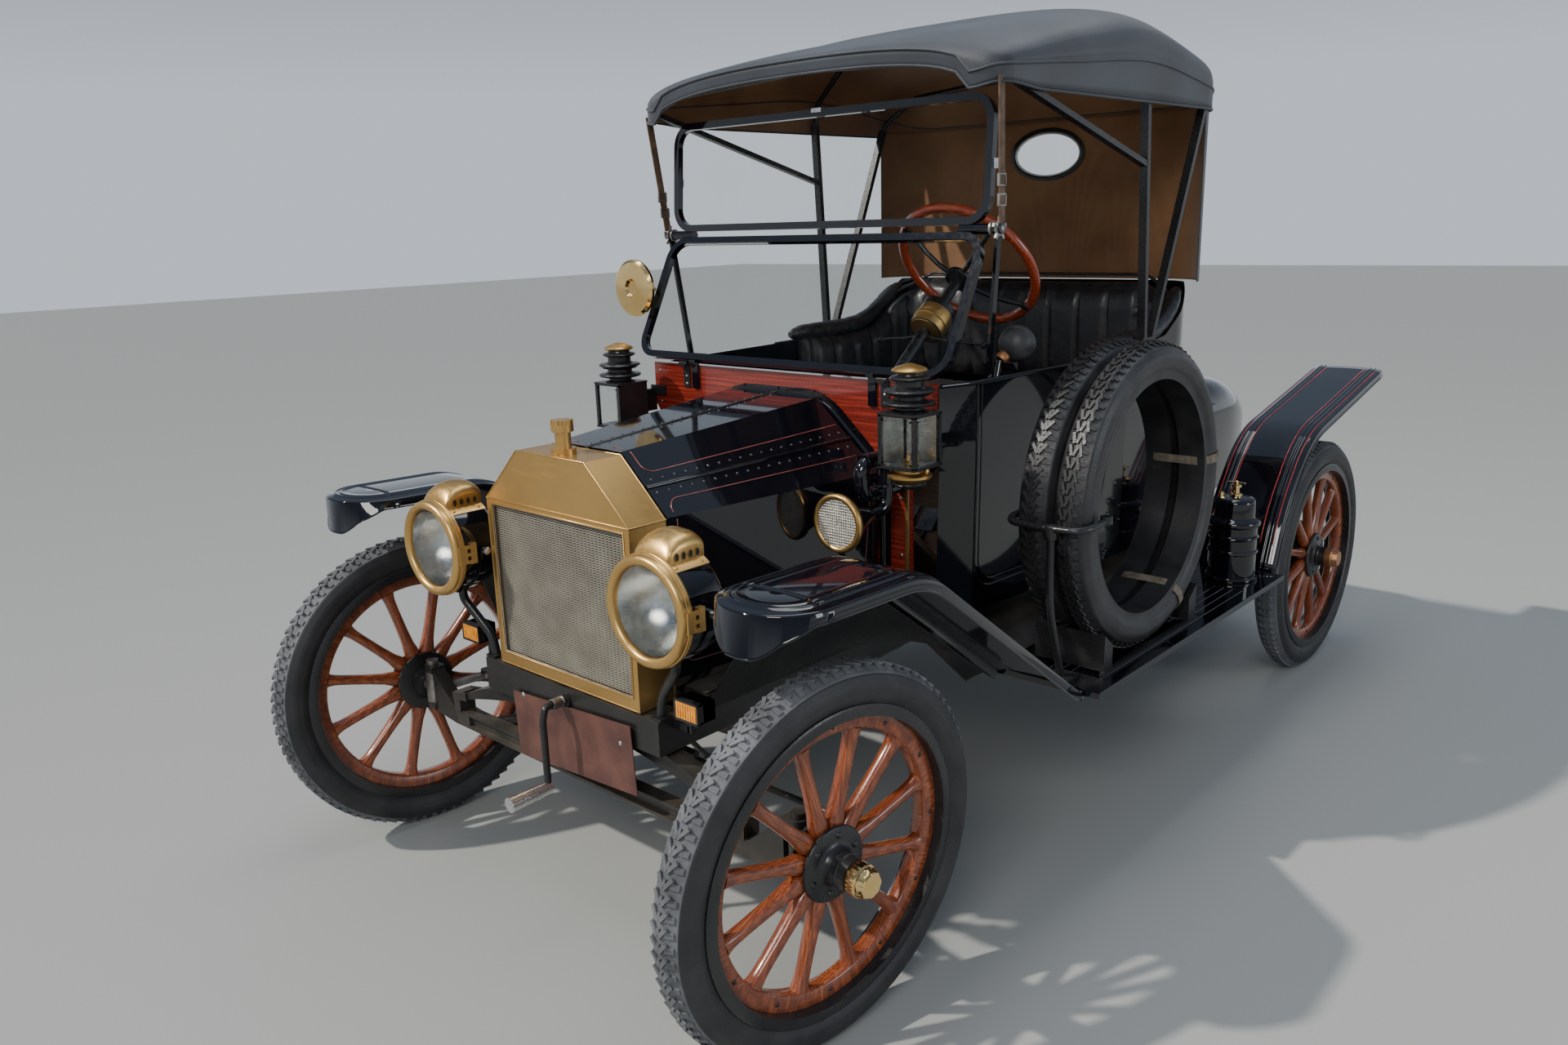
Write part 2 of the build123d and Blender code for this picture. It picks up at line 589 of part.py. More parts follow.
# Body
# height, how far the wall stands in from its top width, half-width at the firewall
BODY_LEVELS = ((BODY_FLOOR, 10, 404), (960, 3, 404), (1060, 2, 470), (SEAT_BACK_TOP, 0, 470))
# y, half-width at the top edge
BODY_PLAN = ((FIREWALL_Y + FIREWALL_T + CLEAR, 472), (DOOR_FRONT, 506), (DOOR_REAR, 536), (1480, 546),
             (BODY_REAR - 190, 546))
BODY_CORNER = 190


def body_outline(z, inset, front, wall, stretch=0):
    pts = [(half - inset - wall, y) for y, half in BODY_PLAN]
    pts[0] = (front - wall, pts[0][1] - stretch)
    back = BODY_REAR - wall
    corner = BODY_CORNER - wall
    last = pts[-1]
    side = Polyline(*[(x, y, z) for x, y in pts[:-1]], (last[0], back - corner, z))
    bend = 0.7071 * corner
    arc = ThreePointArc(side @ 1, (last[0] - corner + bend, back - corner + bend, z), (last[0] - corner, back, z))
    over = Line(arc @ 1, (-(last[0] - corner), back, z))
    arc2 = ThreePointArc(over @ 1, (-(last[0] - corner + bend), back - corner + bend, z), (-last[0], back - corner, z))
    side2 = Polyline((-last[0], back - corner, z), *[(-x, y, z) for x, y in pts[:-1][::-1]])
    close = Line(side2 @ 1, side @ 0)
    return make_face(side.edges() + arc.edges() + over.edges() + arc2.edges() + side2.edges() + close.edges())


def body_walls():
    outer = loft([body_outline(*row, 0) for row in BODY_LEVELS], ruled=True)
    levels = [(BODY_FLOOR - 1, *BODY_LEVELS[0][1:]), *BODY_LEVELS[1:-1], (SEAT_BACK_TOP + 1, *BODY_LEVELS[-1][1:])]
    inner = loft([body_outline(*row, BODY_WALL, 20) for row in levels], ruled=True)
    walls = outer - inner
    over = [(0, BODY_TOP), (1500, BODY_TOP), (1700, BODY_TOP + 30), (1800, BODY_TOP + 90), (1880, SEAT_BACK_TOP),
            (1880, SEAT_BACK_TOP + 50), (0, SEAT_BACK_TOP + 50)]
    return walls - side_plate(over, -700, 700)


def make_body(ledges):
    walls = body_walls()
    hole = box((-700, -300), (DOOR_FRONT, DOOR_REAR), (DOOR_BOTTOM, BODY_TOP + 10))
    leaf = box((-700, -300), (DOOR_FRONT + DOOR_GAP, DOOR_REAR - DOOR_GAP), (DOOR_BOTTOM + DOOR_GAP, BODY_TOP + 10))
    door = walls & leaf
    shell = walls - hole
    save("body_shell", shell)
    hx, hy = door_axis()
    hinges = []
    for z in DOOR_HINGE_Z:
        hinges.append(Pos(hx, hy, z) * Cylinder(7, 60))
        hinges.append(box((hx, hx + 20), (DOOR_FRONT + 1, DOOR_FRONT + DOOR_GAP + 14), (z - 22, z + 22)))
    save("door_right", fused([door, *hinges]))
    space = cabin_space(CLEAR)
    seat_panel = box((-540, 540), (1330, 1342), (BODY_FLOOR + 10, 905))
    seat_top = box((-540, 540), (1342, 1955), (895, 905))
    floor = box((-400, 400), (930, 1342), (BODY_FLOOR + CLEAR, BODY_FLOOR + 18))
    toe = side_plate([(FIREWALL_Y + FIREWALL_T + 2, 800), (930, BODY_FLOOR + CLEAR), (930, BODY_FLOOR + 18), (FIREWALL_Y + FIREWALL_T + 2, 822)], -392, 392)
    sills = [box(sorted((side * (RAIL_OUT - RAIL_W), side * 466)), (702, 1950), (FRAME_TOP + CLEAR, BODY_FLOOR - CLEAR)) for side in (1, -1)]
    column_hole = rod(column_point(400), column_point(1300), 18)
    floor = fused([floor, toe]) - column_hole
    save("cabin_floor", fused([floor, fused([seat_panel, seat_top]) & space]))
    save("body_sills", *sills, *ledges)


def door_axis():
    return -(BODY_PLAN[1][1] + 9), DOOR_FRONT - 3


def cabin_space(gap):
    """What the body's walls leave free inside."""
    levels = [(BODY_FLOOR - 1, *BODY_LEVELS[0][1:]), *BODY_LEVELS[1:-1], (SEAT_BACK_TOP + 60, *BODY_LEVELS[-1][1:])]
    return loft([body_outline(*row, BODY_WALL + gap) for row in levels], ruled=True)


def make_seat():
    space = cabin_space(SEAT_GAP)
    cushion = box((-470, 470), (1335, 1790), (905 + CLEAR, 1010))
    cushion = fillet(cushion.edges().filter_by(Axis.Z), 50)
    save("seat_cushion", cushion)
    back = side_plate([(1794, 906), (1950, 906), (1950, 1352), (1850, 1352), (1800, 1180)], -520, 520)
    arm = side_plate([(1320, 1012), (1793, 1012), (1793, 1250), (1700, 1192), (1320, 1186)], 475, 530)
    save("seat_back", back & space, arm & space, mirrored(arm & space))


# y, half-width, top height
DECK_SECTIONS = ((BODY_REAR + CLEAR, 440, 985), (WHEELBASE - 40, 425, 972), (WHEELBASE + 160, 395, 930), (DECK_REAR, 330, 840))
DECK_BOTTOM = BODY_FLOOR
DECK_CORNER = 120
# share of the corner's size in from the side, and down from the top
CORNER_LINE = ((0, 1), (0.13, 0.5), (0.5, 0.13), (1, 0))


def deck_loft(wall):
    """The rear deck's outside, or its inside where a wall's thickness is given."""
    faces = []
    last = len(DECK_SECTIONS) - 1
    for i, (y, half, top) in enumerate(DECK_SECTIONS):
        at = y + (wall if i == 0 else 0) - (wall if i == last else 0)
        low = DECK_BOTTOM + wall
        size = DECK_CORNER - wall
        right = [(half - wall - size * a, at, top - wall - size * b) for a, b in CORNER_LINE]
        left = [(-x, y1, z) for x, y1, z in right[::-1]]
        faces.append(make_face(Polyline((half - wall, at, low), *right, *left, (-half + wall, at, low), close=True)))
    return loft(faces, ruled=True)


def make_deck():
    shell = deck_loft(0) - deck_loft(8)
    hole = box((-DECK_LID_HALF, DECK_LID_HALF), (DECK_LID_FRONT + 20, DECK_LID_REAR - 20), (930, 1000))
    save("rear_deck", shell - hole)
    (y0, _, z0), (y1, _, z1), (y2, _, z2) = DECK_SECTIONS[:3]
    front_z = z0 + (z1 - z0) * (DECK_LID_FRONT - y0) / (y1 - y0)
    rear_z = z1 + (z2 - z1) * (DECK_LID_REAR - y1) / (y2 - y1)
    line = [(DECK_LID_FRONT, front_z), (y1, z1), (DECK_LID_REAR, rear_z)]
    low = [(y, z + CLEAR) for y, z in line]
    high = [(y, z + LID_T) for y, z in line[::-1]]
    lid = side_plate(low + high, -DECK_LID_HALF - 20, DECK_LID_HALF + 20)
    hinge_z = front_z + CLEAR + LID_HINGE_R
    barrel = rod((-DECK_LID_HALF, DECK_LID_FRONT, hinge_z), (DECK_LID_HALF, DECK_LID_FRONT, hinge_z), LID_HINGE_R)
    save("deck_lid", lid + barrel)


# Fenders, boards and aprons
FRONT_FENDER = ((-193, 919), (203, 908), (790, BOARD_TOP + 1), (BOARD_FRONT, BOARD_TOP))
FRONT_BENDS = (240, 18)
NOSE_LENGTH = 106
NOSE_END = 20
CROWN = 8
CROWN_EDGE = 26
LIP = 22
REAR_FENDER = ((BOARD_REAR + 7.4, BOARD_TOP - 2.86), (BOARD_REAR + 82, 655), (BOARD_REAR + 252, 850), (WHEELBASE + 326, 982))
REAR_BENDS = (500, 350)
# distance behind the nose, height of the skirt's lower edge
NOSE_SKIRT = ((-9, 836), (2, 838), (25, 868), (73, 894), (110, 899), (212, 899))
# y, height of the inner apron's outer edge
INNER_APRON = ((45, 900), (150, 895), (263, 852), (450, 716), (640, 578))
INNER_APRON_LOW = (341.5, 565)


def fender(points, bends):
    """A thin strip with turned-down edges, along its side-view line."""
    path = FilletPolyline(*[(0, y, z) for y, z in points], radius=list(bends))
    width = FENDER_OUT - FENDER_IN
    mid = (FENDER_OUT + FENDER_IN) / 2
    y0, z0 = points[0]
    y1, z1 = points[1]
    lean = atan2(z1 - z0, y1 - y0)
    plane = Plane(origin=(0, y0, z0), x_dir=(1, 0, 0), z_dir=(0, cos(lean), sin(lean)))
    half = width / 2
    t = FENDER_T
    edge = half - CROWN_EDGE
    outline = [(-half, -LIP), (-half, 0), (-edge, CROWN), (edge, CROWN), (half, 0), (half, -LIP), (half - t, -LIP),
               (half - t, -2), (edge - 1, CROWN - t), (-edge + 1, CROWN - t), (-half + t, -2), (-half + t, -LIP)]
    flip = -1 if plane.y_dir.Z < 0 else 1
    face = plane * make_face(Polyline(*[(x, z * flip) for x, z in outline], close=True))
    return Pos(mid, 0, 0) * sweep(face, path=path)


def nose_height(y):
    """The height of the front fender's straight front run at a place along the car."""
    (y0, z0), (y1, z1) = FRONT_FENDER[:2]
    return z0 + (z1 - z0) * (y - y0) / (y1 - y0)


def nose_ring(grow, rise=None):
    """The front fender's outline round its nose in plan, level or lying on the fender's own slope."""
    mid = (FENDER_IN + FENDER_OUT) / 2
    half = (FENDER_OUT - FENDER_IN) / 2 + grow
    centre = FRONT_FENDER[0][0] + NOSE_LENGTH
    end = centre + NOSE_END if rise is not None else centre + 1200
    spots = [(mid - half, end)]
    for i in range(13):
        turn = radians(-90 + 15 * i)
        spots.append((mid + half * sin(turn), centre - (NOSE_LENGTH + grow) * cos(turn)))
    spots.append((mid + half, end))
    points = [(x, y, nose_height(y) + rise if rise is not None else 0) for x, y in spots]
    return make_face(Polyline(*points, close=True))


def make_fenders():
    join = FRONT_FENDER[0][0] + NOSE_LENGTH + NOSE_END
    strip = fender(FRONT_FENDER, FRONT_BENDS) & box((0, 900), (join - 0.5, 900), (0, 1200))
    cap = loft([nose_ring(0, 0), nose_ring(-CROWN_EDGE, CROWN)], ruled=True)
    cap = cap - Pos(0, 0, -FENDER_T) * cap
    skirt = extrude(nose_ring(0), amount=1200) - extrude(nose_ring(-FENDER_T), amount=1200)
    y0 = FRONT_FENDER[0][0]
    low = [(y0 + d, z) for d, z in NOSE_SKIRT]
    high = [(low[-1][0], nose_height(low[-1][0])), (low[0][0], nose_height(low[0][0]))]
    skirt = skirt & side_plate(low + high, FENDER_IN - 9, FENDER_OUT + 9)
    save("front_fenders", *pair(fused([strip, cap, skirt])))
    rear = fender(REAR_FENDER, REAR_BENDS)
    save("rear_fenders", *pair(rear))
    board = box((BOARD_IN, BOARD_OUT), (BOARD_FRONT + CLEAR, BOARD_REAR - CLEAR), (BOARD_TOP - BOARD_T, BOARD_TOP))
    save("running_boards", *pair(board))
    apron = front_plate([(RAIL_OUT + CLEAR, FRAME_TOP), (430, FRAME_TOP), (BOARD_IN - CLEAR, BOARD_TOP),
                         (BOARD_IN - CLEAR, BOARD_TOP - 3), (428, FRAME_TOP - 3), (RAIL_OUT + CLEAR, FRAME_TOP - 3)],
                        690, BOARD_REAR)
    x0, z0 = INNER_APRON_LOW
    x1 = FENDER_IN - CLEAR
    faces = []
    for y, z in INNER_APRON:
        faces.append(make_face(Polyline((x0, y, z0), (x1, y, z), (x1, y, z - 4), (x0, y, z0 - 4), close=True)))
    y_ends = (INNER_APRON[0][0], INNER_APRON[-1][0])
    inner = loft(faces, ruled=True) + box((338.3, x0 + 0.5), y_ends, (z0 - 4, z0 + 30))
    save("splash_aprons", *pair(apron), *pair(inner))


# Lamps, plate, crank and mirror
LAMP_X = 373
LAMP_Z = 832
LAMP_FRONT = -126
LAMP_R = 104
LAMP_RIM_R = 114
LAMP_REAR = 20
CRANK_Z = 532
SIDE_LAMP_X = 486
SIDE_LAMP_Y = 566
SIDE_LAMP_HALF = 50


def along_y(x, z, profile):
    """A (y, radius) profile turned about a line that runs along the car."""
    turned_up = revolve(make_face(Polyline(*[(r, y) for y, r in profile], close=True)), Axis.Y)
    return Pos(x, 0, z) * turned_up


def make_headlamps():
    bodies, rims, glasses = [], [], []
    for side in (1, -1):
        x = side * LAMP_X
        drum = along_y(x, LAMP_Z, [(LAMP_FRONT + 14, 0), (LAMP_FRONT + 14, LAMP_R), (LAMP_REAR - 30, LAMP_R),
                                   (LAMP_REAR, 62), (LAMP_REAR, 0)])
        bowl = along_y(x, LAMP_Z, [(LAMP_FRONT + 13, 0), (LAMP_FRONT + 13, LAMP_R - 4), (LAMP_FRONT + 40, LAMP_R - 8),
                                   (LAMP_REAR - 40, 40), (LAMP_REAR - 30, 0)])
        chimney = Pos(x, -52, LAMP_Z + 96) * Rot(X=90) * Cylinder(52, 92)
        chimney = chimney & box((x - 60, x + 60), (-110, 10), (LAMP_Z + 70, LAMP_Z + 150))
        stem = tube([(x, -50, LAMP_Z - LAMP_R + 6), (x, -50, LAMP_Z - LAMP_R - 34), (side * 294, -26, 600), (side * 291, -26, FRAME_TOP + 2)], 11, 18)
        foot = box(sorted((side * 274, side * RAIL_OUT)), (-44, -8), (FRAME_TOP + CLEAR, FRAME_TOP + 8))
        bodies.append(fused([drum, chimney, stem, foot]) - bowl)
        rims.append(along_y(x, LAMP_Z, [(LAMP_FRONT, LAMP_R - 12), (LAMP_FRONT - 2, LAMP_R - 2), (LAMP_FRONT, LAMP_RIM_R - 2),
                                        (LAMP_FRONT + 10, LAMP_RIM_R), (LAMP_FRONT + 26, LAMP_RIM_R - 4),
                                        (LAMP_FRONT + 26, LAMP_R + CLEAR), (LAMP_FRONT + 14 - CLEAR, LAMP_R + CLEAR),
                                        (LAMP_FRONT + 14 - CLEAR, LAMP_R - 8), (LAMP_FRONT + 8, LAMP_R - 8),
                                        (LAMP_FRONT + 8, LAMP_R - 12)]))
        glasses.append(along_y(x, LAMP_Z, [(LAMP_FRONT + 8 + CLEAR, 0), (LAMP_FRONT + 8 + CLEAR, LAMP_R - 8 - CLEAR),
                                           (LAMP_FRONT + 13, LAMP_R - 8 - CLEAR), (LAMP_FRONT + 13, 0)]))
    save("headlamp_bodies", *bodies)
    save("headlamp_rims", *rims)
    return glasses


def make_side_lamps():
    x, y, h = SIDE_LAMP_X, SIDE_LAMP_Y, SIDE_LAMP_HALF
    case = box((x - h, x + h), (y - h, y + h), (1008, 1130))
    case = case - box((x - h + 5, x + h - 5), (y - h + 5, y + h - 5), (1013, 1125))
    case = case - box((x - h + 12, x + h - 12), (y - h - 1, y - h + 6), (1020, 1118))
    case = case - box((x + h - 6, x + h + 1), (y - h + 12, y + h - 12), (1020, 1118))
    tiers = revolve(make_face(Polyline((0, 1129), (40, 1129), (40, 1140), (58, 1146), (58, 1156), (36, 1162), (36, 1172),
                                       (56, 1180), (56, 1190), (30, 1198), (30, 1214), (42, 1218), (42, 1224), (18, 1236),
                                       (0, 1236), close=True).rotate(Axis.X, 90)), Axis.Z)
    fount = revolve(make_face(Polyline((0, 960), (34, 960), (50, 975), (50, 990), (34, 1000), (34, 1009), (0, 1009),
                                       close=True).rotate(Axis.X, 90)), Axis.Z)
    arm = box((x - 20, x - 4), (y + h - 1, FIREWALL_Y - CLEAR), (1040, 1100))
    pad = box((FIREWALL_HALF - 46, FIREWALL_HALF + 14), (FIREWALL_Y - 8, FIREWALL_Y - CLEAR), (1085, 1110))
    lamp = fused([case, Pos(x, y, 0) * tiers, Pos(x, y, 0) * fount, arm, pad])
    save("side_lamps", *pair(lamp))
    pane_front = box((x - h + 12 + CLEAR, x + h - 12 - CLEAR), (y - h + 1, y - h + 4), (1020 + CLEAR, 1118 - CLEAR))
    pane_side = box((x + h - 4, x + h - 1), (y - h + 12 + CLEAR, y + h - 12 - CLEAR), (1020 + CLEAR, 1118 - CLEAR))
    return [*pair(pane_front), *pair(pane_side)]


def make_front_fittings():
    plate = Pos(23, FRAME_FRONT - 8, 443) * Rot(Y=-3.6) * Box(415, 2.5, 156)
    hanger = box((-150, 190), (FRAME_FRONT - 8, FRAME_FRONT - CLEAR), (488, 506))
    save("number_plate", fused([plate, hanger]))
    lamps = []
    for side in (1, -1):
        case = box(sorted((side * 346, side * 412)), (-40, 12), (580, 622))
        arm = box(sorted((side * (RAIL_OUT + CLEAR), side * 352)), (-6, 6), (536, 552))
        post = box(sorted((side * 346, side * 358)), (-6, 6), (536, 581))
        case = case + post
        lamps.append(fused([case, arm]))
    save("indicator_lamps", *lamps)
    axle = rod((0, FRAME_FRONT - 46, CRANK_Z), (0, FRAME_FRONT + 16, CRANK_Z), 8)
    arm = tube([(0, FRAME_FRONT - 44, CRANK_Z), (0, FRAME_FRONT - 58, CRANK_Z), (0, -114, CRANK_Z - 30), (0, -114, 348)], 8, 12)
    grip = rod((0, -106, 346), (0, -217, 344), 14, 17)
    save("crank", fused([axle, arm, grip]))


SHIELD_HALF = 518
SHIELD_TUBE = 18
SHIELD_LOW = (662, 1188)
SHIELD_HINGE = (828, 1510)
SHIELD_TOP = (850, 1806)
SHIELD_CORNER = 62


def shield_part(low, high, half):
    """A rounded glazed frame between two heights, leaning as the screen does: frame and glass."""
    y0, z0 = low
    y1, z1 = high
    length = ((y1 - y0) ** 2 + (z1 - z0) ** 2) ** 0.5
    up = Vector(0, (y1 - y0) / length, (z1 - z0) / length)
    plane = Plane(origin=(0, (y0 + y1) / 2, (z0 + z1) / 2), x_dir=(1, 0, 0), z_dir=Vector(1, 0, 0).cross(up))
    outer = RectangleRounded(2 * half, length, SHIELD_CORNER)
    hole = RectangleRounded(2 * (half - SHIELD_TUBE), length - 2 * SHIELD_TUBE, SHIELD_CORNER - SHIELD_TUBE)
    ring = plane * (Pos(0, 0, -SHIELD_TUBE / 2) * extrude(outer - hole, amount=SHIELD_TUBE))
    pane_size = (2 * (half - SHIELD_TUBE - CLEAR), length - 2 * (SHIELD_TUBE + CLEAR))
    pane = RectangleRounded(*pane_size, SHIELD_CORNER - SHIELD_TUBE - CLEAR)
    glass = plane * (Pos(0, 0, -2.5) * extrude(pane, amount=5))
    return ring, glass


def make_windshield():
    hy, hz = SHIELD_HINGE
    ring_low, glass_low = shield_part(SHIELD_LOW, (hy - 6, hz - 9), SHIELD_HALF)
    ring_high, glass_high = shield_part((hy + 1, hz + 9), SHIELD_TOP, SHIELD_HALF)
    joints = [rod((side * 440, hy - 2, hz), (side * 552, hy - 2, hz), 12) for side in (1, -1)]
    feet = []
    for side in (1, -1):
        feet.append(box((side * 300 - 11, side * 300 + 11), (FIREWALL_Y - 7, FIREWALL_Y - CLEAR), (1112, 1196)))
        feet.append(box((side * 300 - 11, side * 300 + 11), (SHIELD_LOW[0] - 2, FIREWALL_Y - 2), (1182, 1196)))
    stays = [strap((side * 540, hy, hz), (side * 503, 850, BODY_TOP + 1.2), 16, 8, (0, 1, 0)) for side in (1, -1)]
    save("windshield_frame", fused([ring_low, ring_high, *joints, *feet, *stays]))
    dish = along_y(-556, 1371, [(690, 0), (690, 20), (682, 26), (686, 70), (692, 78), (700, 78), (704, 0)])
    arm = rod((-556 + 20, 700, 1371), (-521.8, 742, 1366), 5)
    save("mirror", fused([dish, arm]))
    return [glass_low, glass_high]


# y, height of the valance top, then the shoulder's x and height, and the crown's height
TOP_SECTIONS = ((TOP_FRONT, 1846, 470, 1900, 1922), (1485, 1900, 430, 2040, 2062), (1860, 1856, 440, 1942, 1975),
                (TOP_REAR, 1826, 420, 1890, 1910))


def top_section(row, inset, low, at=None):
    y, edge, sx, sz, crown = row
    y = y if at is None else at
    half = TOP_HALF - inset
    edge, sx, sz, crown = edge - inset * 0.3, sx - inset * 0.3, sz - inset, crown - inset
    mid = (sx + (half - sx) * 0.78, y, edge + (sz - edge) * 0.62)
    side = Line((half, y, low), (half, y, edge))
    shoulder = ThreePointArc(side @ 1, mid, (sx, y, sz))
    roof = ThreePointArc(shoulder @ 1, (0, y, crown), (-sx, y, sz))
    shoulder2 = ThreePointArc(roof @ 1, (-mid[0], y, mid[2]), (-half, y, edge))
    side2 = Line(shoulder2 @ 1, (-half, y, low))
    return make_face([side, shoulder, roof, shoulder2, side2, Line(side2 @ 1, side @ 0)])


def make_top():
    outer = loft([top_section(row, 0, TOP_SKIRT_Z) for row in TOP_SECTIONS], ruled=True)
    rows = list(TOP_SECTIONS)
    spots = [TOP_FRONT - 1, None, None, TOP_REAR - TOP_T]
    inner = loft([top_section(row, TOP_T, TOP_SKIRT_Z - 1, at) for row, at in zip(rows, spots)], ruled=True)
    roof = outer - inner
    half, corner = TOP_HALF, 150
    ring = Pos(0, TOP_REAR - 300, 0) * (RectangleRounded(2 * half, 600, corner) - RectangleRounded(2 * (half - TOP_T), 600 - 2 * TOP_T, corner - TOP_T))
    curtain = extrude(Pos(0, 0, SEAT_BACK_TOP + 1) * ring, amount=TOP_SKIRT_Z - SEAT_BACK_TOP - 1)
    curtain = curtain & box((-900, 900), (1836, 2100), (0, 3000))
    window = Pos(0, TOP_REAR, 1720) * Rot(X=90) * extrude(Ellipse(118, 68), amount=60, both=True)
    save("top_canopy", fused([roof, curtain]) - window)
    pane = Pos(0, TOP_REAR - 1, 1720) * Rot(X=90) * extrude(Ellipse(118 - CLEAR, 68 - CLEAR), amount=3)
    bows = []
    for side in (1, -1):
        x = side * 558.1
        bows.append(strap((x, 1525, 1196), (x, 1485, 1832), 22, 16))
        bows.append(strap((x, 1566, 1196), (x, 1838, 1826), 22, 16))
        bows.append(strap((x, 1494, 1655), (x, 800, 1838), 20, 14))
        bows.append(box(sorted((side * (BODY_PLAN[3][1] - 0.9), side * 569)), (1510, 1585), (1112, 1206)))
    for y, low in ((800, 1836), (1485, 1832), (1838, 1826)):
        near = min(TOP_SECTIONS, key=lambda row: abs(row[0] - y))
        _, edge, sx, sz, crown = near
        lower = TOP_T + 10.9 + abs(near[0] - y) * 0.32
        bow = fused([tube([(-557, y, low - 10), (-545, y, edge - 8), (-sx + 20, y, sz - lower), (0, y, crown - lower),
                           (sx - 20, y, sz - lower), (545, y, edge - 8), (557, y, low - 10)], 9, 30)])
        bows.append(bow)
    save("top_bows", fused(bows))
    straps = [strap((side * 565, 790, 1828), (side * 549, 826, 1523), 22, 3, (0, 1, 0)) for side in (1, -1)]
    save("top_straps", *straps)
    return [pane]


# Spare tyres, generator, horn and controls
SPARE_R = 378
SPARE_Y = 1165
SPARE_Z = BOARD_TOP + SPARE_R + 4
SPARE_MIDS = (748, 656)
GENERATOR_Y = BOARD_REAR - 106
GENERATOR_X = 720


def make_spares():
    shape = tyre_solid(SPARE_R)
    spares = [Pos(x, SPARE_Y, SPARE_Z) * shape for x in SPARE_MIDS]
    save("spare_tyres", *spares)
    lugs = []
    for turn in (-38, 38):
        a = radians(turn - 90)
        for r in (SPARE_R + 1.0,):
            centre = (SPARE_Y + (r + 4) * cos(a), SPARE_Z + (r + 4) * sin(a))
            base = box((606, 798), (centre[0] - 16, centre[0] + 16), (BOARD_TOP + CLEAR, centre[1] + 3))
            lugs.append(base)
    cradle = fused(lugs) - Pos(700, SPARE_Y, SPARE_Z) * Rot(Y=90) * Cylinder(SPARE_R + CLEAR, 400)
    rails = [box((x - 6, x + 6), (SPARE_Y - 260, SPARE_Y + 260), (BOARD_TOP + CLEAR, BOARD_TOP + 8)) for x in (612, 792)]
    front = SPARE_Y - SPARE_R
    iron_x = sum(SPARE_MIDS) / 2 + 20
    plate = box((iron_x - 30, iron_x + 30), (front + 24, front + 88), (BOARD_TOP + CLEAR, BOARD_TOP + 9))
    upright = fused([tube([(iron_x, front + 52, BOARD_TOP + 6), (iron_x, front - 12, SPARE_Z - 190), (iron_x, front - 12, SPARE_Z)], 10, 60), plate])
    clamp = box((SPARE_MIDS[1] - 60, SPARE_MIDS[0] + 60), (front - 22, front + 90), (SPARE_Z - 9, SPARE_Z + 9))
    clamp = clamp - box((SPARE_MIDS[1] - 49, SPARE_MIDS[0] + 49), (front - 6, front + 91), (SPARE_Z - 10, SPARE_Z + 10))
    save("tyre_carrier", fused([cradle, *rails]), fused([upright, clamp]))


def make_generator():
    x, y = GENERATOR_X, GENERATOR_Y
    profile = [(0, BOARD_TOP + CLEAR), (74, BOARD_TOP + CLEAR), (74, 492), (66, 496), (66, 640), (72, 644), (72, 660), (56, 668),
               (56, 716), (40, 732), (16, 738), (16, 760), (24, 764), (24, 774), (0, 774)]
    face = make_face(Polyline(*[(r, 0, z) for r, z in profile], close=True))
    save("gas_generator", Pos(x, y, 0) * revolve(face, Axis.Z))


def make_horn():
    bell = rod((382, 440, 889), (384, 545, 889), 62, 20)
    bell = bell - rod((382, 439, 889), (384, 525, 889), 56, 14)
    loop = tube([(384, 537, 889), (389, 600, 889), (394, 603, 1015), (394, 510, 1015), (394, 510, 940), (382, 585, 932), (382, FIREWALL_Y - CLEAR, 932)], 17.5, 30)
    horn = fused([bell, loop])
    bulb = Pos(470, 1030, 1232) * Sphere(46)
    neck = rod((452, 985, 1196), (470, 1030, 1232), 12, 18)
    clip = box((452 - 10, 506 - 12), (975, 995), (1172, 1192))
    hose = tube([(382, FIREWALL_Y + FIREWALL_T + CLEAR, 932), (382, 760, 932), (452, 960, 1120), (452, 984, 1194)], 9, 30)
    save("horn", horn, fused([bulb, neck, clip, hose]))


def make_controls():
    lever = fused([rod((330, 1010, BODY_FLOOR + 20), (330, 1060, 960), 9), Pos(330, 1060, 965) * Sphere(16)])
    pedals = []
    for x in (120, 190, 260):
        pedals.append(rod((x - 20, 896, 652.8), (x - 20, 985, 760), 8))
        pedals.append(Pos(x - 20, 985, 762) * Rot(X=45) * Box(52, 70, 8))
    save("controls", lever, *[fused(pedals[i:i + 2]) for i in (0, 2, 4)])


os.makedirs("parts", exist_ok=True)
make_wheels()
make_front_axle()
for side_name, side_sign in SIDES.items():
    make_knuckle(side_name, side_sign)
make_steering()
make_frame()
make_springs()
make_rear_axle()
make_engine()
make_radiator()
hood_ledges = make_hood()
make_firewall()
make_body(hood_ledges)
make_seat()
make_deck()
make_fenders()
save("lamp_glasses", *make_headlamps(), *make_side_lamps())
make_front_fittings()
save("window_glass", *make_windshield(), *make_top())
make_spares()
make_generator()
make_horn()
make_controls()
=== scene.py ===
# %% [markdown]
# # Dressing an early runabout
# Everything made below is fitted round those pieces, so the first thing to keep is their box.

# %% Load the frame
from math import atan2, cos, hypot, pi, radians, sin

import bmesh
import bpy
from mathutils import Matrix, Vector


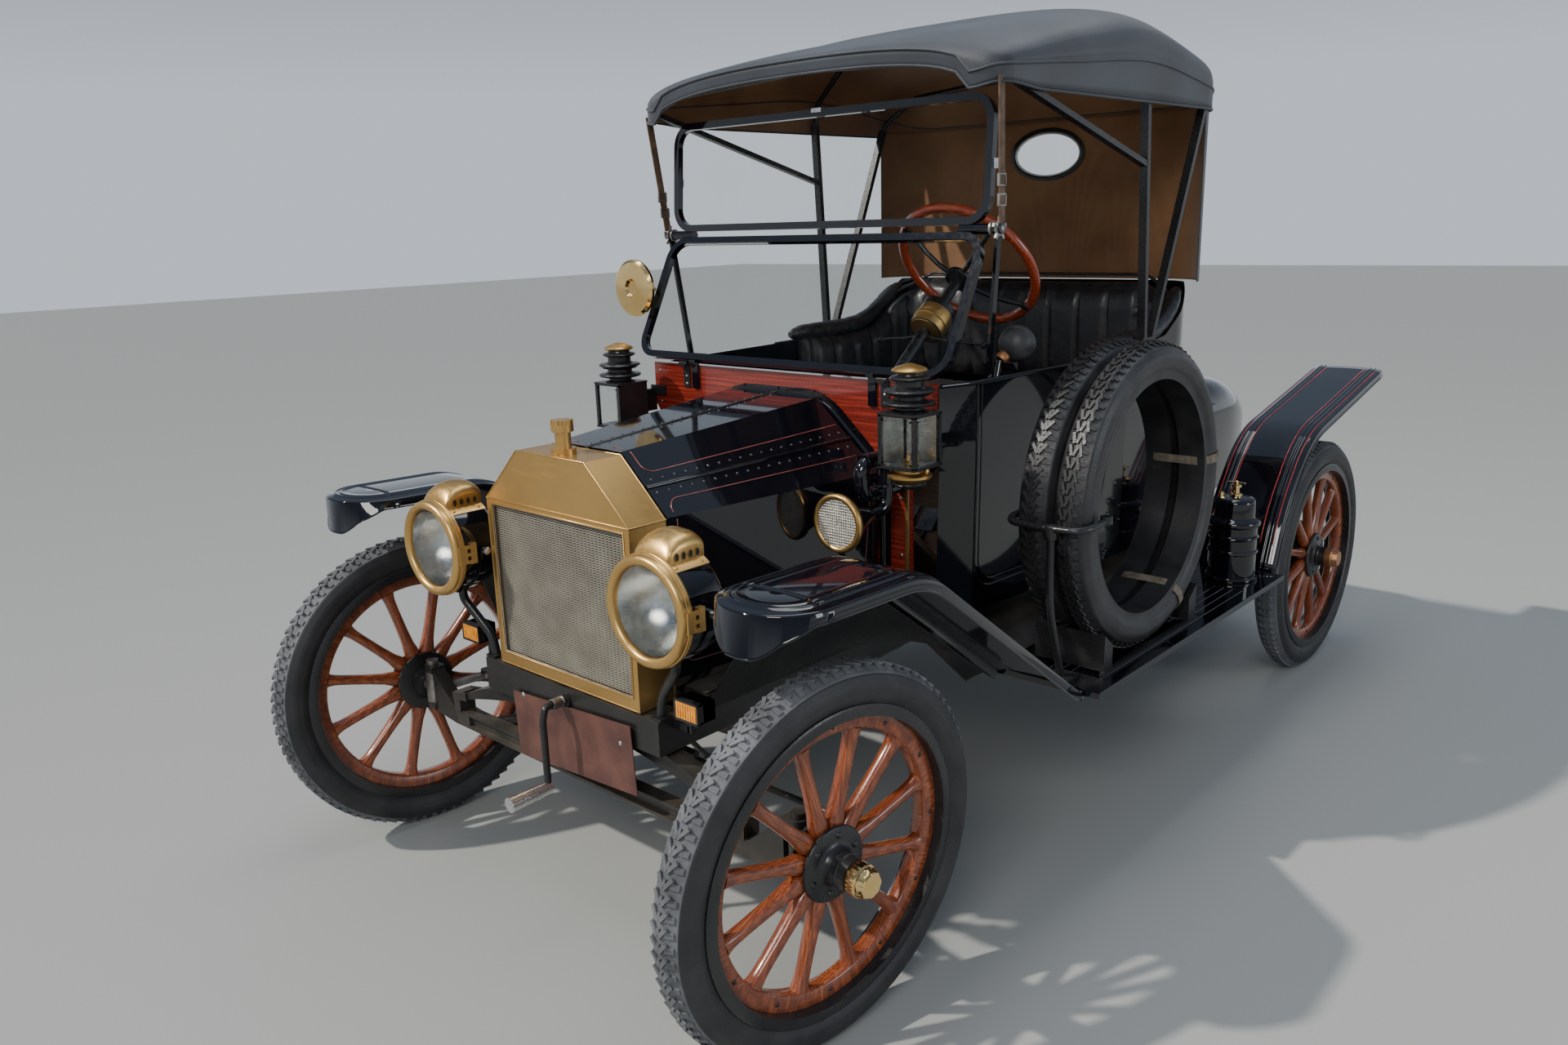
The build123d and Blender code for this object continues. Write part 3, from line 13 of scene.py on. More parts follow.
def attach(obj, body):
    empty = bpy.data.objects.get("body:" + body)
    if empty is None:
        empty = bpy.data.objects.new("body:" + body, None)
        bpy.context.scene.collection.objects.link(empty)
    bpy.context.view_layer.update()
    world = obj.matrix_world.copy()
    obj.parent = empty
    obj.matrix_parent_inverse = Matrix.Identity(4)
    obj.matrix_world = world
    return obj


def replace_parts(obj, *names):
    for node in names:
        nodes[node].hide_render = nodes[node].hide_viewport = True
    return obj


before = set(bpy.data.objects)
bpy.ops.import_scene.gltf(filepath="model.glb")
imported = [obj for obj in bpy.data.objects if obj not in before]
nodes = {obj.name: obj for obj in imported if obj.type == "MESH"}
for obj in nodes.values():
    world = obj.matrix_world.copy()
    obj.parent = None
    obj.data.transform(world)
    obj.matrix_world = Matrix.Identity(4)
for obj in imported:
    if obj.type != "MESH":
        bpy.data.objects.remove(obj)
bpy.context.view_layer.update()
AXLE_Y = -1.267

# %% [markdown]
# ## The camera
# A photograph can be matched when the camera stands where the photographer stood. Its place and turn were
# solved from the wheels, whose sizes are taken as the standard ones. Lengths along the car are measured from
# the front axle, so they are moved by AXLE_Y into the frame of the car.

# %% Camera
CAMERA_AT = Vector((1.99108, -1.47980 + AXLE_Y, 1.54021))
CAMERA_TURN, CAMERA_DIP, CAMERA_ROLL = radians(42.6965), radians(14.468), radians(-1.7457)
LENS_MM, SENSOR_MM = 26.816, 36.0


def aim_camera():
    """Builds the camera's axes from its turn, its dip and its roll."""
    look = Vector((-sin(CAMERA_TURN) * cos(CAMERA_DIP), cos(CAMERA_TURN) * cos(CAMERA_DIP), -sin(CAMERA_DIP)))
    right = Vector((cos(CAMERA_TURN), sin(CAMERA_TURN), 0.0))
    up = right.cross(look)
    side = right * cos(CAMERA_ROLL) + up * sin(CAMERA_ROLL)
    top = up * cos(CAMERA_ROLL) - right * sin(CAMERA_ROLL)
    turn = Matrix((side, top, -look)).transposed().to_4x4()
    lens = bpy.data.cameras.new("camera")
    lens.sensor_fit = "HORIZONTAL"
    lens.sensor_width = SENSOR_MM
    lens.lens = LENS_MM
    lens.clip_end = 60
    camera = bpy.data.objects.new("camera", lens)
    camera.matrix_world = Matrix.Translation(CAMERA_AT) @ turn
    bpy.context.scene.collection.objects.link(camera)
    bpy.context.scene.camera = camera


aim_camera()

# %% [markdown]
# ## The studio
# Black enamel shows only what it reflects. The sky is pale at the horizon, darkest a third of the way up and
# lighter again overhead, so that the hood and fenders stay deep. A sun from the camera's left gives the
# shadows, and three soft panels add the long highlights. The floor is plain.

# %% Floor, sky and lights
FLOOR_TINT = (0.34, 0.345, 0.33, 1.0)
SKY_LOW, SKY_MIDDLE, SKY_HIGH = (0.74, 0.80, 0.88, 1.0), (0.16, 0.20, 0.26, 1.0), (0.40, 0.50, 0.66, 1.0)
SUN_FROM, SUN_POWER = (-0.62, -0.78, 0.95), 3.4
# name, place, width, height, power, tint
LIGHTS = (("key", (3.6, -7.2, 5.4), 3.0, 2.2, 260, (1.0, 0.97, 0.92)),
          ("over", (0.0, 0.2, 6.6), 1.6, 6.0, 120, (1.0, 1.0, 1.0)),
          ("fill", (7.2, 1.6, 2.6), 2.0, 2.4, 90, (0.92, 0.96, 1.0)))


def plain_floor():
    """A wide matt sheet under the car, marked as stage."""
    mesh = bpy.data.meshes.new("floor")
    s = 30.0
    mesh.from_pydata([(-s, -s, 0), (s, -s, 0), (s, s, 0), (-s, s, 0)], [], [(0, 1, 2, 3)])
    floor = bpy.data.objects.new("floor", mesh)
    bpy.context.scene.collection.objects.link(floor)
    paint = bpy.data.materials.new("floor_paper")
    paint.use_nodes = True
    shader = paint.node_tree.nodes["Principled BSDF"]
    shader.inputs["Base Color"].default_value = FLOOR_TINT
    shader.inputs["Roughness"].default_value = 0.9
    mesh.materials.append(paint)


def studio_lights():
    sky = bpy.data.worlds.new("sky")
    sky.use_nodes = True
    tree = sky.node_tree
    back = tree.nodes["Background"]
    upward = tree.nodes.new("ShaderNodeSeparateXYZ")
    tree.links.new(tree.nodes.new("ShaderNodeTexCoord").outputs["Generated"], upward.inputs[0])
    ramp = tree.nodes.new("ShaderNodeValToRGB")
    ramp.color_ramp.elements[0].position, ramp.color_ramp.elements[0].color = 0.10, SKY_LOW
    ramp.color_ramp.elements[1].position, ramp.color_ramp.elements[1].color = 0.95, SKY_HIGH
    middle = ramp.color_ramp.elements.new(0.34)
    middle.color = SKY_MIDDLE
    tree.links.new(upward.outputs[2], ramp.inputs[0])
    tree.links.new(ramp.outputs[0], back.inputs["Color"])
    back.inputs["Strength"].default_value = 0.85
    bpy.context.scene.world = sky
    target = Vector((0.0, -0.2, 0.8))
    for name, place, wide, high, power, tint in LIGHTS:
        lamp = bpy.data.lights.new(name, "AREA")
        lamp.shape, lamp.size, lamp.size_y = "RECTANGLE", wide, high
        lamp.energy, lamp.color = power, tint
        light = bpy.data.objects.new(name, lamp)
        light.location = place
        light.rotation_euler = (target - Vector(place)).to_track_quat("-Z", "Y").to_euler()
        bpy.context.scene.collection.objects.link(light)
    sun = bpy.data.lights.new("sun", "SUN")
    sun.energy, sun.angle, sun.color = SUN_POWER, radians(1.6), (1.0, 0.96, 0.88)
    beam = bpy.data.objects.new("sun", sun)
    beam.rotation_euler = (-Vector(SUN_FROM)).to_track_quat("-Z", "Y").to_euler()
    bpy.context.scene.collection.objects.link(beam)


plain_floor()
studio_lights()
print("lights:", len(LIGHTS))

# %% [markdown]
# ## Places and shader helpers
# Drawings of a car give millimetres from the front axle, so one small function turns such a place into
# the frame's metres. Materials are node trees, and a short helper keeps each node on one line.

# %% Helpers for places and shader nodes
OBJECT = "ShaderNodeTexCoord"


def spot(x, y, z):
    """Millimetres from the front axle to metres in the frame."""
    return Vector((x / 1000, y / 1000 + AXLE_Y, z / 1000))


def on_circle(x, r, a):
    """A place on a circle round X, given in mm."""
    return Vector((x, r * cos(a), r * sin(a))) / 1000


def at(x, y, z):
    """The move to a place given in mm from the front axle."""
    return Matrix.Translation(spot(x, y, z))


def spin(angle, axis):
    return Matrix.Rotation(angle, 4, axis)


def wire(tree, kind, inputs=None, **settings):
    """One shader node: its settings, then each input as a value or as a socket to link."""
    made = tree.nodes.new(kind)
    for key, value in settings.items():
        setattr(made, key, value)
    for key, value in (inputs or {}).items():
        if isinstance(value, bpy.types.NodeSocket):
            tree.links.new(value, made.inputs[key])
        else:
            made.inputs[key].default_value = value
    return made


def sums(tree, operation, a, b=0.0):
    """A Math node's answer."""
    return wire(tree, "ShaderNodeMath", {0: a, 1: b}, operation=operation).outputs[0]


def spread(tree, value, low, high, to_low=0.0, to_high=1.0):
    """A value stretched from one range to another, and held there."""
    return wire(tree, "ShaderNodeMapRange", {"Value": value, "From Min": low, "From Max": high,
                                             "To Min": to_low, "To Max": to_high}).outputs[0]


def blend_colour(tree, share, one, other):
    """Two colours mixed by a mask."""
    made = wire(tree, "ShaderNodeMix", data_type="RGBA")
    for key, value in ((0, share), (6, one), (7, other)):
        if isinstance(value, bpy.types.NodeSocket):
            tree.links.new(value, made.inputs[key])
        else:
            made.inputs[key].default_value = value if key == 0 else (*value, 1.0)[:4]
    return made.outputs[2]


def noise(tree, vector, scale, detail):
    """A Noise node's value."""
    return wire(tree, "ShaderNodeTexNoise", {"Vector": vector, "Scale": scale, "Detail": detail}).outputs[0]


def relief(tree, shader, height, strength, distance):
    """Fine unevenness of the surface, as a Bump node on the shader's normal."""
    made = wire(tree, "ShaderNodeBump", {"Height": height, "Strength": strength, "Distance": distance})
    tree.links.new(made.outputs[0], shader.inputs["Normal"])


def shared_group(name, takes, gives):
    """An empty shader group with named inputs and outputs."""
    group = bpy.data.node_groups.new(name, "ShaderNodeTree")
    for label, kind, value in takes:
        socket = group.interface.new_socket(label, in_out="INPUT", socket_type="NodeSocket" + kind)
        if value is not None:
            socket.default_value = value
    for label, kind in gives:
        group.interface.new_socket(label, in_out="OUTPUT", socket_type="NodeSocket" + kind)
    return group, group.nodes.new("NodeGroupInput").outputs, group.nodes.new("NodeGroupOutput").inputs


def use_group(tree, group, inputs):
    return wire(tree, "ShaderNodeGroup", inputs, node_tree=group).outputs


# %% [markdown]
# ## Effects that many finishes share
# Age shows in three ways on an old car: slow clouds of colour, fine grit that changes the gloss, and long
# thin scratches. Dust gathers low down and on what faces up. Each is a group that puts out masks only, so
# one tree serves paint, brass, rubber and cast iron, each with its own sizes.

# %% Wear and dust groups
def make_wear():
    group, take, give = shared_group("wear", (("Vector", "Vector", None), ("Scale", "Float", 6.0)),
                                     (("Cloud", "Float"), ("Grit", "Float"), ("Scratch", "Float")))
    cloud = noise(group, take["Vector"], take["Scale"], 4.0)
    fine = sums(group, "MULTIPLY", take["Scale"], 24.0)
    grit = noise(group, take["Vector"], fine, 3.0)
    long_way = wire(group, "ShaderNodeMapping", {"Vector": take["Vector"], "Rotation": (0.3, 0.2, 0.5),
                                                 "Scale": (1.0, 14.0, 14.0)})
    hair = noise(group, long_way.outputs[0], take["Scale"], 6.0)
    group.links.new(spread(group, cloud, 0.35, 0.68), give["Cloud"])
    group.links.new(spread(group, grit, 0.35, 0.65), give["Grit"])
    group.links.new(spread(group, hair, 0.62, 0.70), give["Scratch"])
    return group


def make_dust():
    group, take, give = shared_group("dust", (("Vector", "Vector", None), ("Full below", "Float", 0.2),
                                              ("None above", "Float", 0.6)), (("Dust", "Float"),))
    place = wire(group, "ShaderNodeSeparateXYZ", {0: take["Vector"]})
    facing = wire(group, "ShaderNodeSeparateXYZ", {0: wire(group, "ShaderNodeTexCoord").outputs["Normal"]})
    low = wire(group, "ShaderNodeMapRange", {"Value": place.outputs[2], "From Min": take["Full below"],
                                             "From Max": take["None above"], "To Min": 0.65, "To Max": 0.0})
    top = spread(group, facing.outputs[2], 0.35, 1.0, 0.0, 0.22)
    patch = noise(group, take["Vector"], 14.0, 8.0)
    both = sums(group, "ADD", low.outputs[0], top)
    group.links.new(sums(group, "MULTIPLY", both, spread(group, patch, 0.30, 0.66)), give["Dust"])
    return group


WEAR, DUST = make_wear(), make_dust()
DUST_TINT = (0.20, 0.165, 0.12)

# %% [markdown]
# ## Grain, hide and weave
# Varnished timber is long fibres with darker bands, leather is small cells with fine creases, and
# leathercloth is a pressed weave. All three can be drawn in the object's own coordinates.

# %% Timber, leather and cloth groups
def make_timber():
    group, take, give = shared_group("timber", (("Vector", "Vector", None), ("Bands", "Float", 30.0)),
                                     (("Grain", "Float"), ("Fibre", "Float")))
    wide = wire(group, "ShaderNodeMapping", {"Vector": take["Vector"], "Scale": (0.12, 1.0, 1.0)})
    bands = wire(group, "ShaderNodeTexWave",
                 {"Vector": wide.outputs[0], "Scale": take["Bands"], "Distortion": 5.0, "Detail": 3.0,
                  "Detail Scale": 1.6}, bands_direction="Z")
    thin = wire(group, "ShaderNodeMapping", {"Vector": take["Vector"], "Scale": (6.0, 260.0, 260.0)})
    fibre = noise(group, thin.outputs[0], 1.0, 4.0)
    group.links.new(bands.outputs["Fac"], give["Grain"])
    group.links.new(spread(group, fibre, 0.3, 0.7), give["Fibre"])
    return group


def make_hide():
    group, take, give = shared_group("hide", (("Vector", "Vector", None), ("Scale", "Float", 420.0)),
                                     (("Crease", "Float"), ("Patch", "Float")))
    cells = wire(group, "ShaderNodeTexVoronoi", {"Vector": take["Vector"], "Scale": take["Scale"]},
                 feature="DISTANCE_TO_EDGE")
    folds = noise(group, take["Vector"], 26.0, 7.0)
    cell = spread(group, cells.outputs[0], 0.0, 0.18)
    fold = spread(group, folds, 0.32, 0.6)
    group.links.new(sums(group, "MULTIPLY", cell, fold), give["Crease"])
    group.links.new(fold, give["Patch"])
    return group


def make_weave():
    group, take, give = shared_group("weave", (("Vector", "Vector", None), ("Threads", "Float", 420.0)),
                                     (("Height", "Float"), ("Fade", "Float")))
    lines = []
    for way in ("X", "Y"):
        wave = wire(group, "ShaderNodeTexWave", {"Vector": take["Vector"], "Scale": take["Threads"],
                                                 "Distortion": 0.4}, bands_direction=way)
        lines.append(wave.outputs["Fac"])
    fade = noise(group, take["Vector"], 5.0, 7.0)
    group.links.new(sums(group, "MULTIPLY", lines[0], lines[1]), give["Height"])
    group.links.new(spread(group, fade, 0.32, 0.7), give["Fade"])
    return group


TIMBER, HIDE, WEAVE = make_timber(), make_hide(), make_weave()
print("shared groups:", len(bpy.data.node_groups))

# %% [markdown]
# ## Paint, metal and rubber
# One maker of materials covers every finish without grain: a dark and a light colour mixed by the clouds,
# gloss that changes with the grit, a slight unevenness, and dust where it is asked for. What is the same
# all over, such as metalness or the clear coat, is set on the shader itself.

# %% Maker of plain finishes
FINISHES = {}


def new_material(name, fixed):
    """An empty material with its constant values set on the Principled shader."""
    made = bpy.data.materials.new(name)
    made.use_nodes = True
    shader = made.node_tree.nodes["Principled BSDF"]
    for key, value in fixed.items():
        shader.inputs[key].default_value = value
    FINISHES[name] = made
    return made.node_tree, shader, wire(made.node_tree, OBJECT).outputs["Object"]


def plain_finish(name, dark, light, rough, scale=6.0, bump=0.1, dust=None, scratch=0.0, **fixed):
    tree, shader, place = new_material(name, {k.replace("_", " "): v for k, v in fixed.items()})
    wear = use_group(tree, WEAR, {"Vector": place, "Scale": scale})
    colour = blend_colour(tree, wear["Cloud"], dark, light)
    gloss = spread(tree, wear["Grit"], 0.0, 1.0, *rough)
    if scratch:
        colour = blend_colour(tree, sums(tree, "MULTIPLY", wear["Scratch"], scratch), colour, light)
        gloss = sums(tree, "ADD", gloss, sums(tree, "MULTIPLY", wear["Scratch"], 0.12))
    if dust:
        mask = use_group(tree, DUST, {"Vector": place, "Full below": dust[0], "None above": dust[1]})["Dust"]
        colour = blend_colour(tree, mask, colour, DUST_TINT)
        gloss = sums(tree, "MAXIMUM", gloss, sums(tree, "MULTIPLY", mask, 0.9))
    tree.links.new(colour, shader.inputs["Base Color"])
    tree.links.new(gloss, shader.inputs["Roughness"])
    relief(tree, shader, wear["Grit"], bump, 0.0006)


PLAIN = (
    # name, dark, light, rough, scale, bump, dust, scratch, fixed
    ("black_enamel", (0.003, 0.003, 0.005), (0.006, 0.006, 0.009), (0.07, 0.12), 3.0, 0.02, None, 0.0,
     {"Coat_Weight": 1.0, "Coat_Roughness": 0.03, "IOR": 1.22}),
    ("body_enamel", (0.004, 0.004, 0.006), (0.010, 0.010, 0.013), (0.09, 0.17), 2.0, 0.05, None, 0.0,
     {"Coat_Weight": 1.0, "Coat_Roughness": 0.04, "IOR": 1.22}),
    ("chassis_black", (0.010, 0.010, 0.010), (0.022, 0.020, 0.018), (0.28, 0.46), 9.0, 0.20, (0.02, 0.44),
     0.2, {}),
    ("satin_black", (0.012, 0.012, 0.013), (0.022, 0.022, 0.023), (0.24, 0.36), 8.0, 0.12, None, 0.3, {}),
    ("radiator_gold", (0.50, 0.30, 0.10), (0.62, 0.385, 0.135), (0.30, 0.38), 4.0, 0.03, None, 0.10,
     {"Metallic": 0.88}),
    ("lamp_brass", (0.56, 0.34, 0.115), (0.68, 0.43, 0.15), (0.30, 0.38), 5.0, 0.03, None, 0.12,
     {"Metallic": 0.92}),
    ("bright_brass", (0.74, 0.50, 0.20), (0.88, 0.64, 0.29), (0.08, 0.18), 14.0, 0.05, None, 0.3,
     {"Metallic": 1.0}),
    ("dull_copper", (0.38, 0.17, 0.08), (0.55, 0.28, 0.14), (0.34, 0.50), 22.0, 0.20, None, 0.3,
     {"Metallic": 0.9}),
    ("worn_steel", (0.20, 0.18, 0.16), (0.46, 0.44, 0.42), (0.28, 0.45), 20.0, 0.25, None, 0.4,
     {"Metallic": 0.9}),
    ("grip_aluminium", (0.50, 0.50, 0.50), (0.68, 0.68, 0.68), (0.18, 0.32), 30.0, 0.10, None, 0.4,
     {"Metallic": 1.0}),
    ("core_metal", (0.30, 0.275, 0.225), (0.40, 0.37, 0.305), (0.42, 0.60), 16.0, 0.20, None, 0.0,
     {"Metallic": 0.35}),
    # painted shade: the same core metal made darker, for the tubes set back between the fins
    ("core_tube", (0.07, 0.065, 0.055), (0.16, 0.145, 0.12), (0.50, 0.70), 16.0, 0.20, None, 0.0,
     {"Metallic": 0.35}),
    # painted reflection: an opaque pale grey standing for the glint on the glass bevel of the rear light
    ("light_bevel", (0.62, 0.62, 0.58), (0.78, 0.78, 0.74), (0.30, 0.45), 20.0, 0.05, None, 0.0, {}),
    ("cast_engine", (0.05, 0.045, 0.04), (0.15, 0.14, 0.12), (0.48, 0.70), 12.0, 0.55, (0.30, 0.70), 0.0,
     {"Metallic": 0.3}),
    ("rusty_pipe", (0.045, 0.022, 0.012), (0.12, 0.065, 0.035), (0.62, 0.85), 18.0, 0.60, (0.30, 0.70), 0.0,
     {}),
    ("tyre_rubber", (0.016, 0.016, 0.018), (0.030, 0.030, 0.032), (0.45, 0.65), 16.0, 0.30, None, 0.0, {}),
    ("tread_rubber", (0.075, 0.078, 0.084), (0.150, 0.155, 0.165), (0.60, 0.80), 12.0, 0.40, None, 0.0, {}),
    ("weathered_rubber", (0.012, 0.012, 0.013), (0.030, 0.030, 0.032), (0.34, 0.52), 13.0, 0.30, None, 0.3,
     {}),
    ("bulb_rubber", (0.022, 0.022, 0.024), (0.050, 0.050, 0.053), (0.40, 0.55), 20.0, 0.25, None, 0.0, {}),
    ("plate_enamel", (0.070, 0.026, 0.020), (0.13, 0.052, 0.038), (0.44, 0.58), 15.0, 0.03, None, 0.35,
     {"Coat_Weight": 0.0}),
    ("amber_lens", (0.72, 0.25, 0.015), (0.95, 0.42, 0.03), (0.12, 0.20), 60.0, 0.20, None, 0.0,
     {"Coat_Weight": 0.8}),
    ("horn_mesh", (0.50, 0.46, 0.36), (0.80, 0.76, 0.62), (0.40, 0.55), 60.0, 0.30, None, 0.0, {}),
    ("pinstripe_red", (0.42, 0.020, 0.018), (0.62, 0.045, 0.035), (0.20, 0.35), 30.0, 0.05, None, 0.0,
     {"Coat_Weight": 0.8}),
    ("hood_stripe", (0.22, 0.05, 0.045), (0.36, 0.10, 0.085), (0.20, 0.35), 30.0, 0.05, None, 0.0,
     {"Coat_Weight": 0.8}),
    ("reflector_silver", (0.46, 0.46, 0.44), (0.66, 0.66, 0.64), (0.12, 0.24), 40.0, 0.15, None, 0.3,
     {"Metallic": 1.0}),
    ("strap_hide", (0.075, 0.042, 0.024), (0.17, 0.105, 0.062), (0.50, 0.70), 40.0, 0.35, None, 0.2, {}),
    ("canvas_strap", (0.12, 0.10, 0.075), (0.22, 0.19, 0.145), (0.75, 0.9), 60.0, 0.5, None, 0.0, {}),
    ("rivet_black", (0.012, 0.012, 0.014), (0.05, 0.05, 0.055), (0.15, 0.30), 60.0, 0.05, None, 0.0,
     {"Coat_Weight": 0.6}),
)
for name, dark, light, rough, scale, bump, dust, scratch, fixed in PLAIN:
    plain_finish(name, dark, light, rough, scale, bump, dust, scratch, **fixed)
print("plain finishes:", len(PLAIN))

# %% [markdown]
# ## Wood, leather, cloth and glass
# The grain has to run the way the timber was cut: level across the dash, along each spoke, and round the
# steering rim. A turn of the coordinates before the grain group does the first, and polar coordinates
# about the hub or the column do the other two.

# %% Maker of timber finishes
def timber_finish(name, dark, light, rough=(0.16, 0.30), turn=(0.0, 0.0, 0.0), bands=30.0, polar=None,
                  along=True, soil=0.35, **fixed):
    """Varnished wood. polar is the hub's place and the turns that lay the hub's axis along X."""
    tree, shader, place = new_material(name, {k.replace("_", " "): v for k, v in fixed.items()})
    if polar:
        centre, tilt = polar
        moved = wire(tree, "ShaderNodeVectorMath", {0: place, 1: centre}, operation="SUBTRACT")
        laid = wire(tree, "ShaderNodeVectorRotate", {"Vector": moved.outputs[0], "Rotation": tilt},
                      rotation_type="EULER_XYZ")
        part = wire(tree, "ShaderNodeSeparateXYZ", {0: laid.outputs[0]})
        about = sums(tree, "ARCTAN2", part.outputs[2], part.outputs[1])
        flat = wire(tree, "ShaderNodeCombineXYZ", {0: 0.0, 1: part.outputs[1], 2: part.outputs[2]})
        far = wire(tree, "ShaderNodeVectorMath", {0: flat.outputs[0]}, operation="LENGTH").outputs["Value"]
        about = sums(tree, "MULTIPLY", about, 0.22)
        order = (far, about) if along else (about, far)
        vector = wire(tree, "ShaderNodeCombineXYZ", {0: order[0], 1: order[1], 2: part.outputs[0]}).outputs[0]
    else:
        vector = wire(tree, "ShaderNodeMapping", {"Vector": place, "Rotation": turn}).outputs[0]
    grain = use_group(tree, TIMBER, {"Vector": vector, "Bands": bands})
    wear = use_group(tree, WEAR, {"Vector": place, "Scale": 9.0})
    mixed = sums(tree, "MULTIPLY", grain["Fibre"], spread(tree, grain["Grain"], 0.0, 1.0, 0.35, 1.0))
    colour = blend_colour(tree, mixed, dark, light)
    worn = sums(tree, "MULTIPLY", wear["Cloud"], soil)
    colour = blend_colour(tree, worn, colour, dark)
    tree.links.new(colour, shader.inputs["Base Color"])
    tree.links.new(spread(tree, wear["Grit"], 0.0, 1.0, *rough), shader.inputs["Roughness"])
    relief(tree, shader, grain["Fibre"], 0.12, 0.0005)


timber_finish("dash_red", (0.115, 0.010, 0.006), (0.40, 0.045, 0.022), bands=26.0, soil=0.25,
              Coat_Weight=0.9, Coat_Roughness=0.06)
timber_finish("dark_boards", (0.035, 0.022, 0.015), (0.11, 0.07, 0.05), (0.45, 0.65), bands=20.0,
              turn=(0.0, 0.0, pi / 2))
COLUMN_TOP = spot(232, 60 + 1425 * cos(radians(38.8)), 520 + 1425 * sin(radians(38.8)))
timber_finish("rim_mahogany", (0.20, 0.020, 0.006), (0.52, 0.085, 0.020), (0.10, 0.2), bands=40.0,
              along=False, soil=0.1, polar=(COLUMN_TOP, (0.0, 0.0, pi / 2)), Coat_Weight=1.0,
              Coat_Roughness=0.05)
WHEEL_PLACES = {}
TREAD_HALF, WHEELBASE, TYRE_R, SECTION_R, KINGPIN_X = 711.0, 2540.0, 387.0, 44, 640.0
CAMBER, REST_STEER = radians(2.22), radians(-5.47)
WHEEL_Z = (TYRE_R - SECTION_R) * cos(CAMBER) + SECTION_R
for name, side in (("left", 1), ("right", -1)):
    reach = TREAD_HALF - KINGPIN_X
    middle = spot(side * (KINGPIN_X + reach * cos(REST_STEER)), side * reach * sin(REST_STEER), WHEEL_Z)
    heading = REST_STEER + (0 if side > 0 else pi)
    front = Matrix.Translation(middle) @ spin(heading, "Z") @ spin(CAMBER, "Y")
    WHEEL_PLACES["front_" + name] = front
    rear = at(side * TREAD_HALF, WHEELBASE, TYRE_R) @ spin(0 if side > 0 else pi, "Z")
    WHEEL_PLACES["rear_" + name] = rear
for name, place in WHEEL_PLACES.items():
    timber_finish("wheel_wood_" + name, (0.13, 0.026, 0.010), (0.47, 0.125, 0.036), (0.20, 0.36),
                  bands=46.0, soil=0.55, polar=(place.translation, place.to_euler()), Coat_Weight=0.5,
                  Coat_Roughness=0.12)
print("wheels:", sorted(WHEEL_PLACES))

# %% Leather, cloth and glass
def leather_finish(name, dark, light, rough):
    tree, shader, place = new_material(name, {"Coat Weight": 0.25, "Coat Roughness": 0.25})
    skin = use_group(tree, HIDE, {"Vector": place, "Scale": 420.0})
    tree.links.new(blend_colour(tree, skin["Patch"], dark, light), shader.inputs["Base Color"])
    tree.links.new(spread(tree, skin["Crease"], 0.0, 1.0, *rough), shader.inputs["Roughness"])
    relief(tree, shader, skin["Crease"], 0.35, 0.0008)


def cloth_finish(name, dark, light, rough, threads, sheen):
    tree, shader, place = new_material(name, {"Sheen Weight": sheen, "Sheen Roughness": 0.5})
    cloth = use_group(tree, WEAVE, {"Vector": place, "Threads": threads})
    tree.links.new(blend_colour(tree, cloth["Fade"], dark, light), shader.inputs["Base Color"])
    tree.links.new(spread(tree, cloth["Height"], 0.0, 1.0, *rough), shader.inputs["Roughness"])
    folds = noise(tree, place, 9.0, 5.0)
    mixed = sums(tree, "ADD", sums(tree, "MULTIPLY", cloth["Height"], 0.12), folds)
    relief(tree, shader, mixed, 0.35, 0.006)


def glass_finish(name, tint, rough=0.0):
    tree, shader, place = new_material(name, {"Transmission Weight": 1.0, "IOR": 1.1, "Metallic": 0.0})
    wear = use_group(tree, WEAR, {"Vector": place, "Scale": 5.0})
    tree.links.new(blend_colour(tree, wear["Cloud"], tint, tuple(c * 0.97 for c in tint)),
                   shader.inputs["Base Color"])
    tree.links.new(spread(tree, wear["Cloud"], 0.0, 1.0, rough, rough + 0.02), shader.inputs["Roughness"])


leather_finish("seat_hide", (0.008, 0.008, 0.010), (0.022, 0.022, 0.024), (0.42, 0.26))
cloth_finish("top_outside", (0.016, 0.019, 0.026), (0.036, 0.042, 0.055), (0.42, 0.56), 420.0, 0.15)
cloth_finish("top_lining", (0.20, 0.092, 0.036), (0.33, 0.165, 0.070), (0.85, 0.95), 520.0, 0.3)
glass_finish("clear_glass", (0.97, 0.985, 0.98))
print("finishes:", len(FINISHES))

# %% [markdown]
# ## Dressing the real pieces
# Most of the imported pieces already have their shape, so they only need a finish. Where one piece has two
# finishes, its faces are sorted by where they are, and its shape isn't touched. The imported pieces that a
# made one replaces further down are left out here.

# %% Finishes of the pieces that keep their own shape
def dress(node_name, main, *others):
    """Gives a piece its finish, and others to the faces whose middle passes a test."""
    mesh = nodes[node_name].data
    mesh.materials.clear()
    for finish in (main, *(other for other, _ in others)):
        mesh.materials.append(FINISHES[finish])
    picked = 0
    for face in mesh.polygons:
        face.material_index = 0
        for i, (_, test) in enumerate(others, 1):
            if test(face.center):
                face.material_index = i
                picked += 1
    return picked


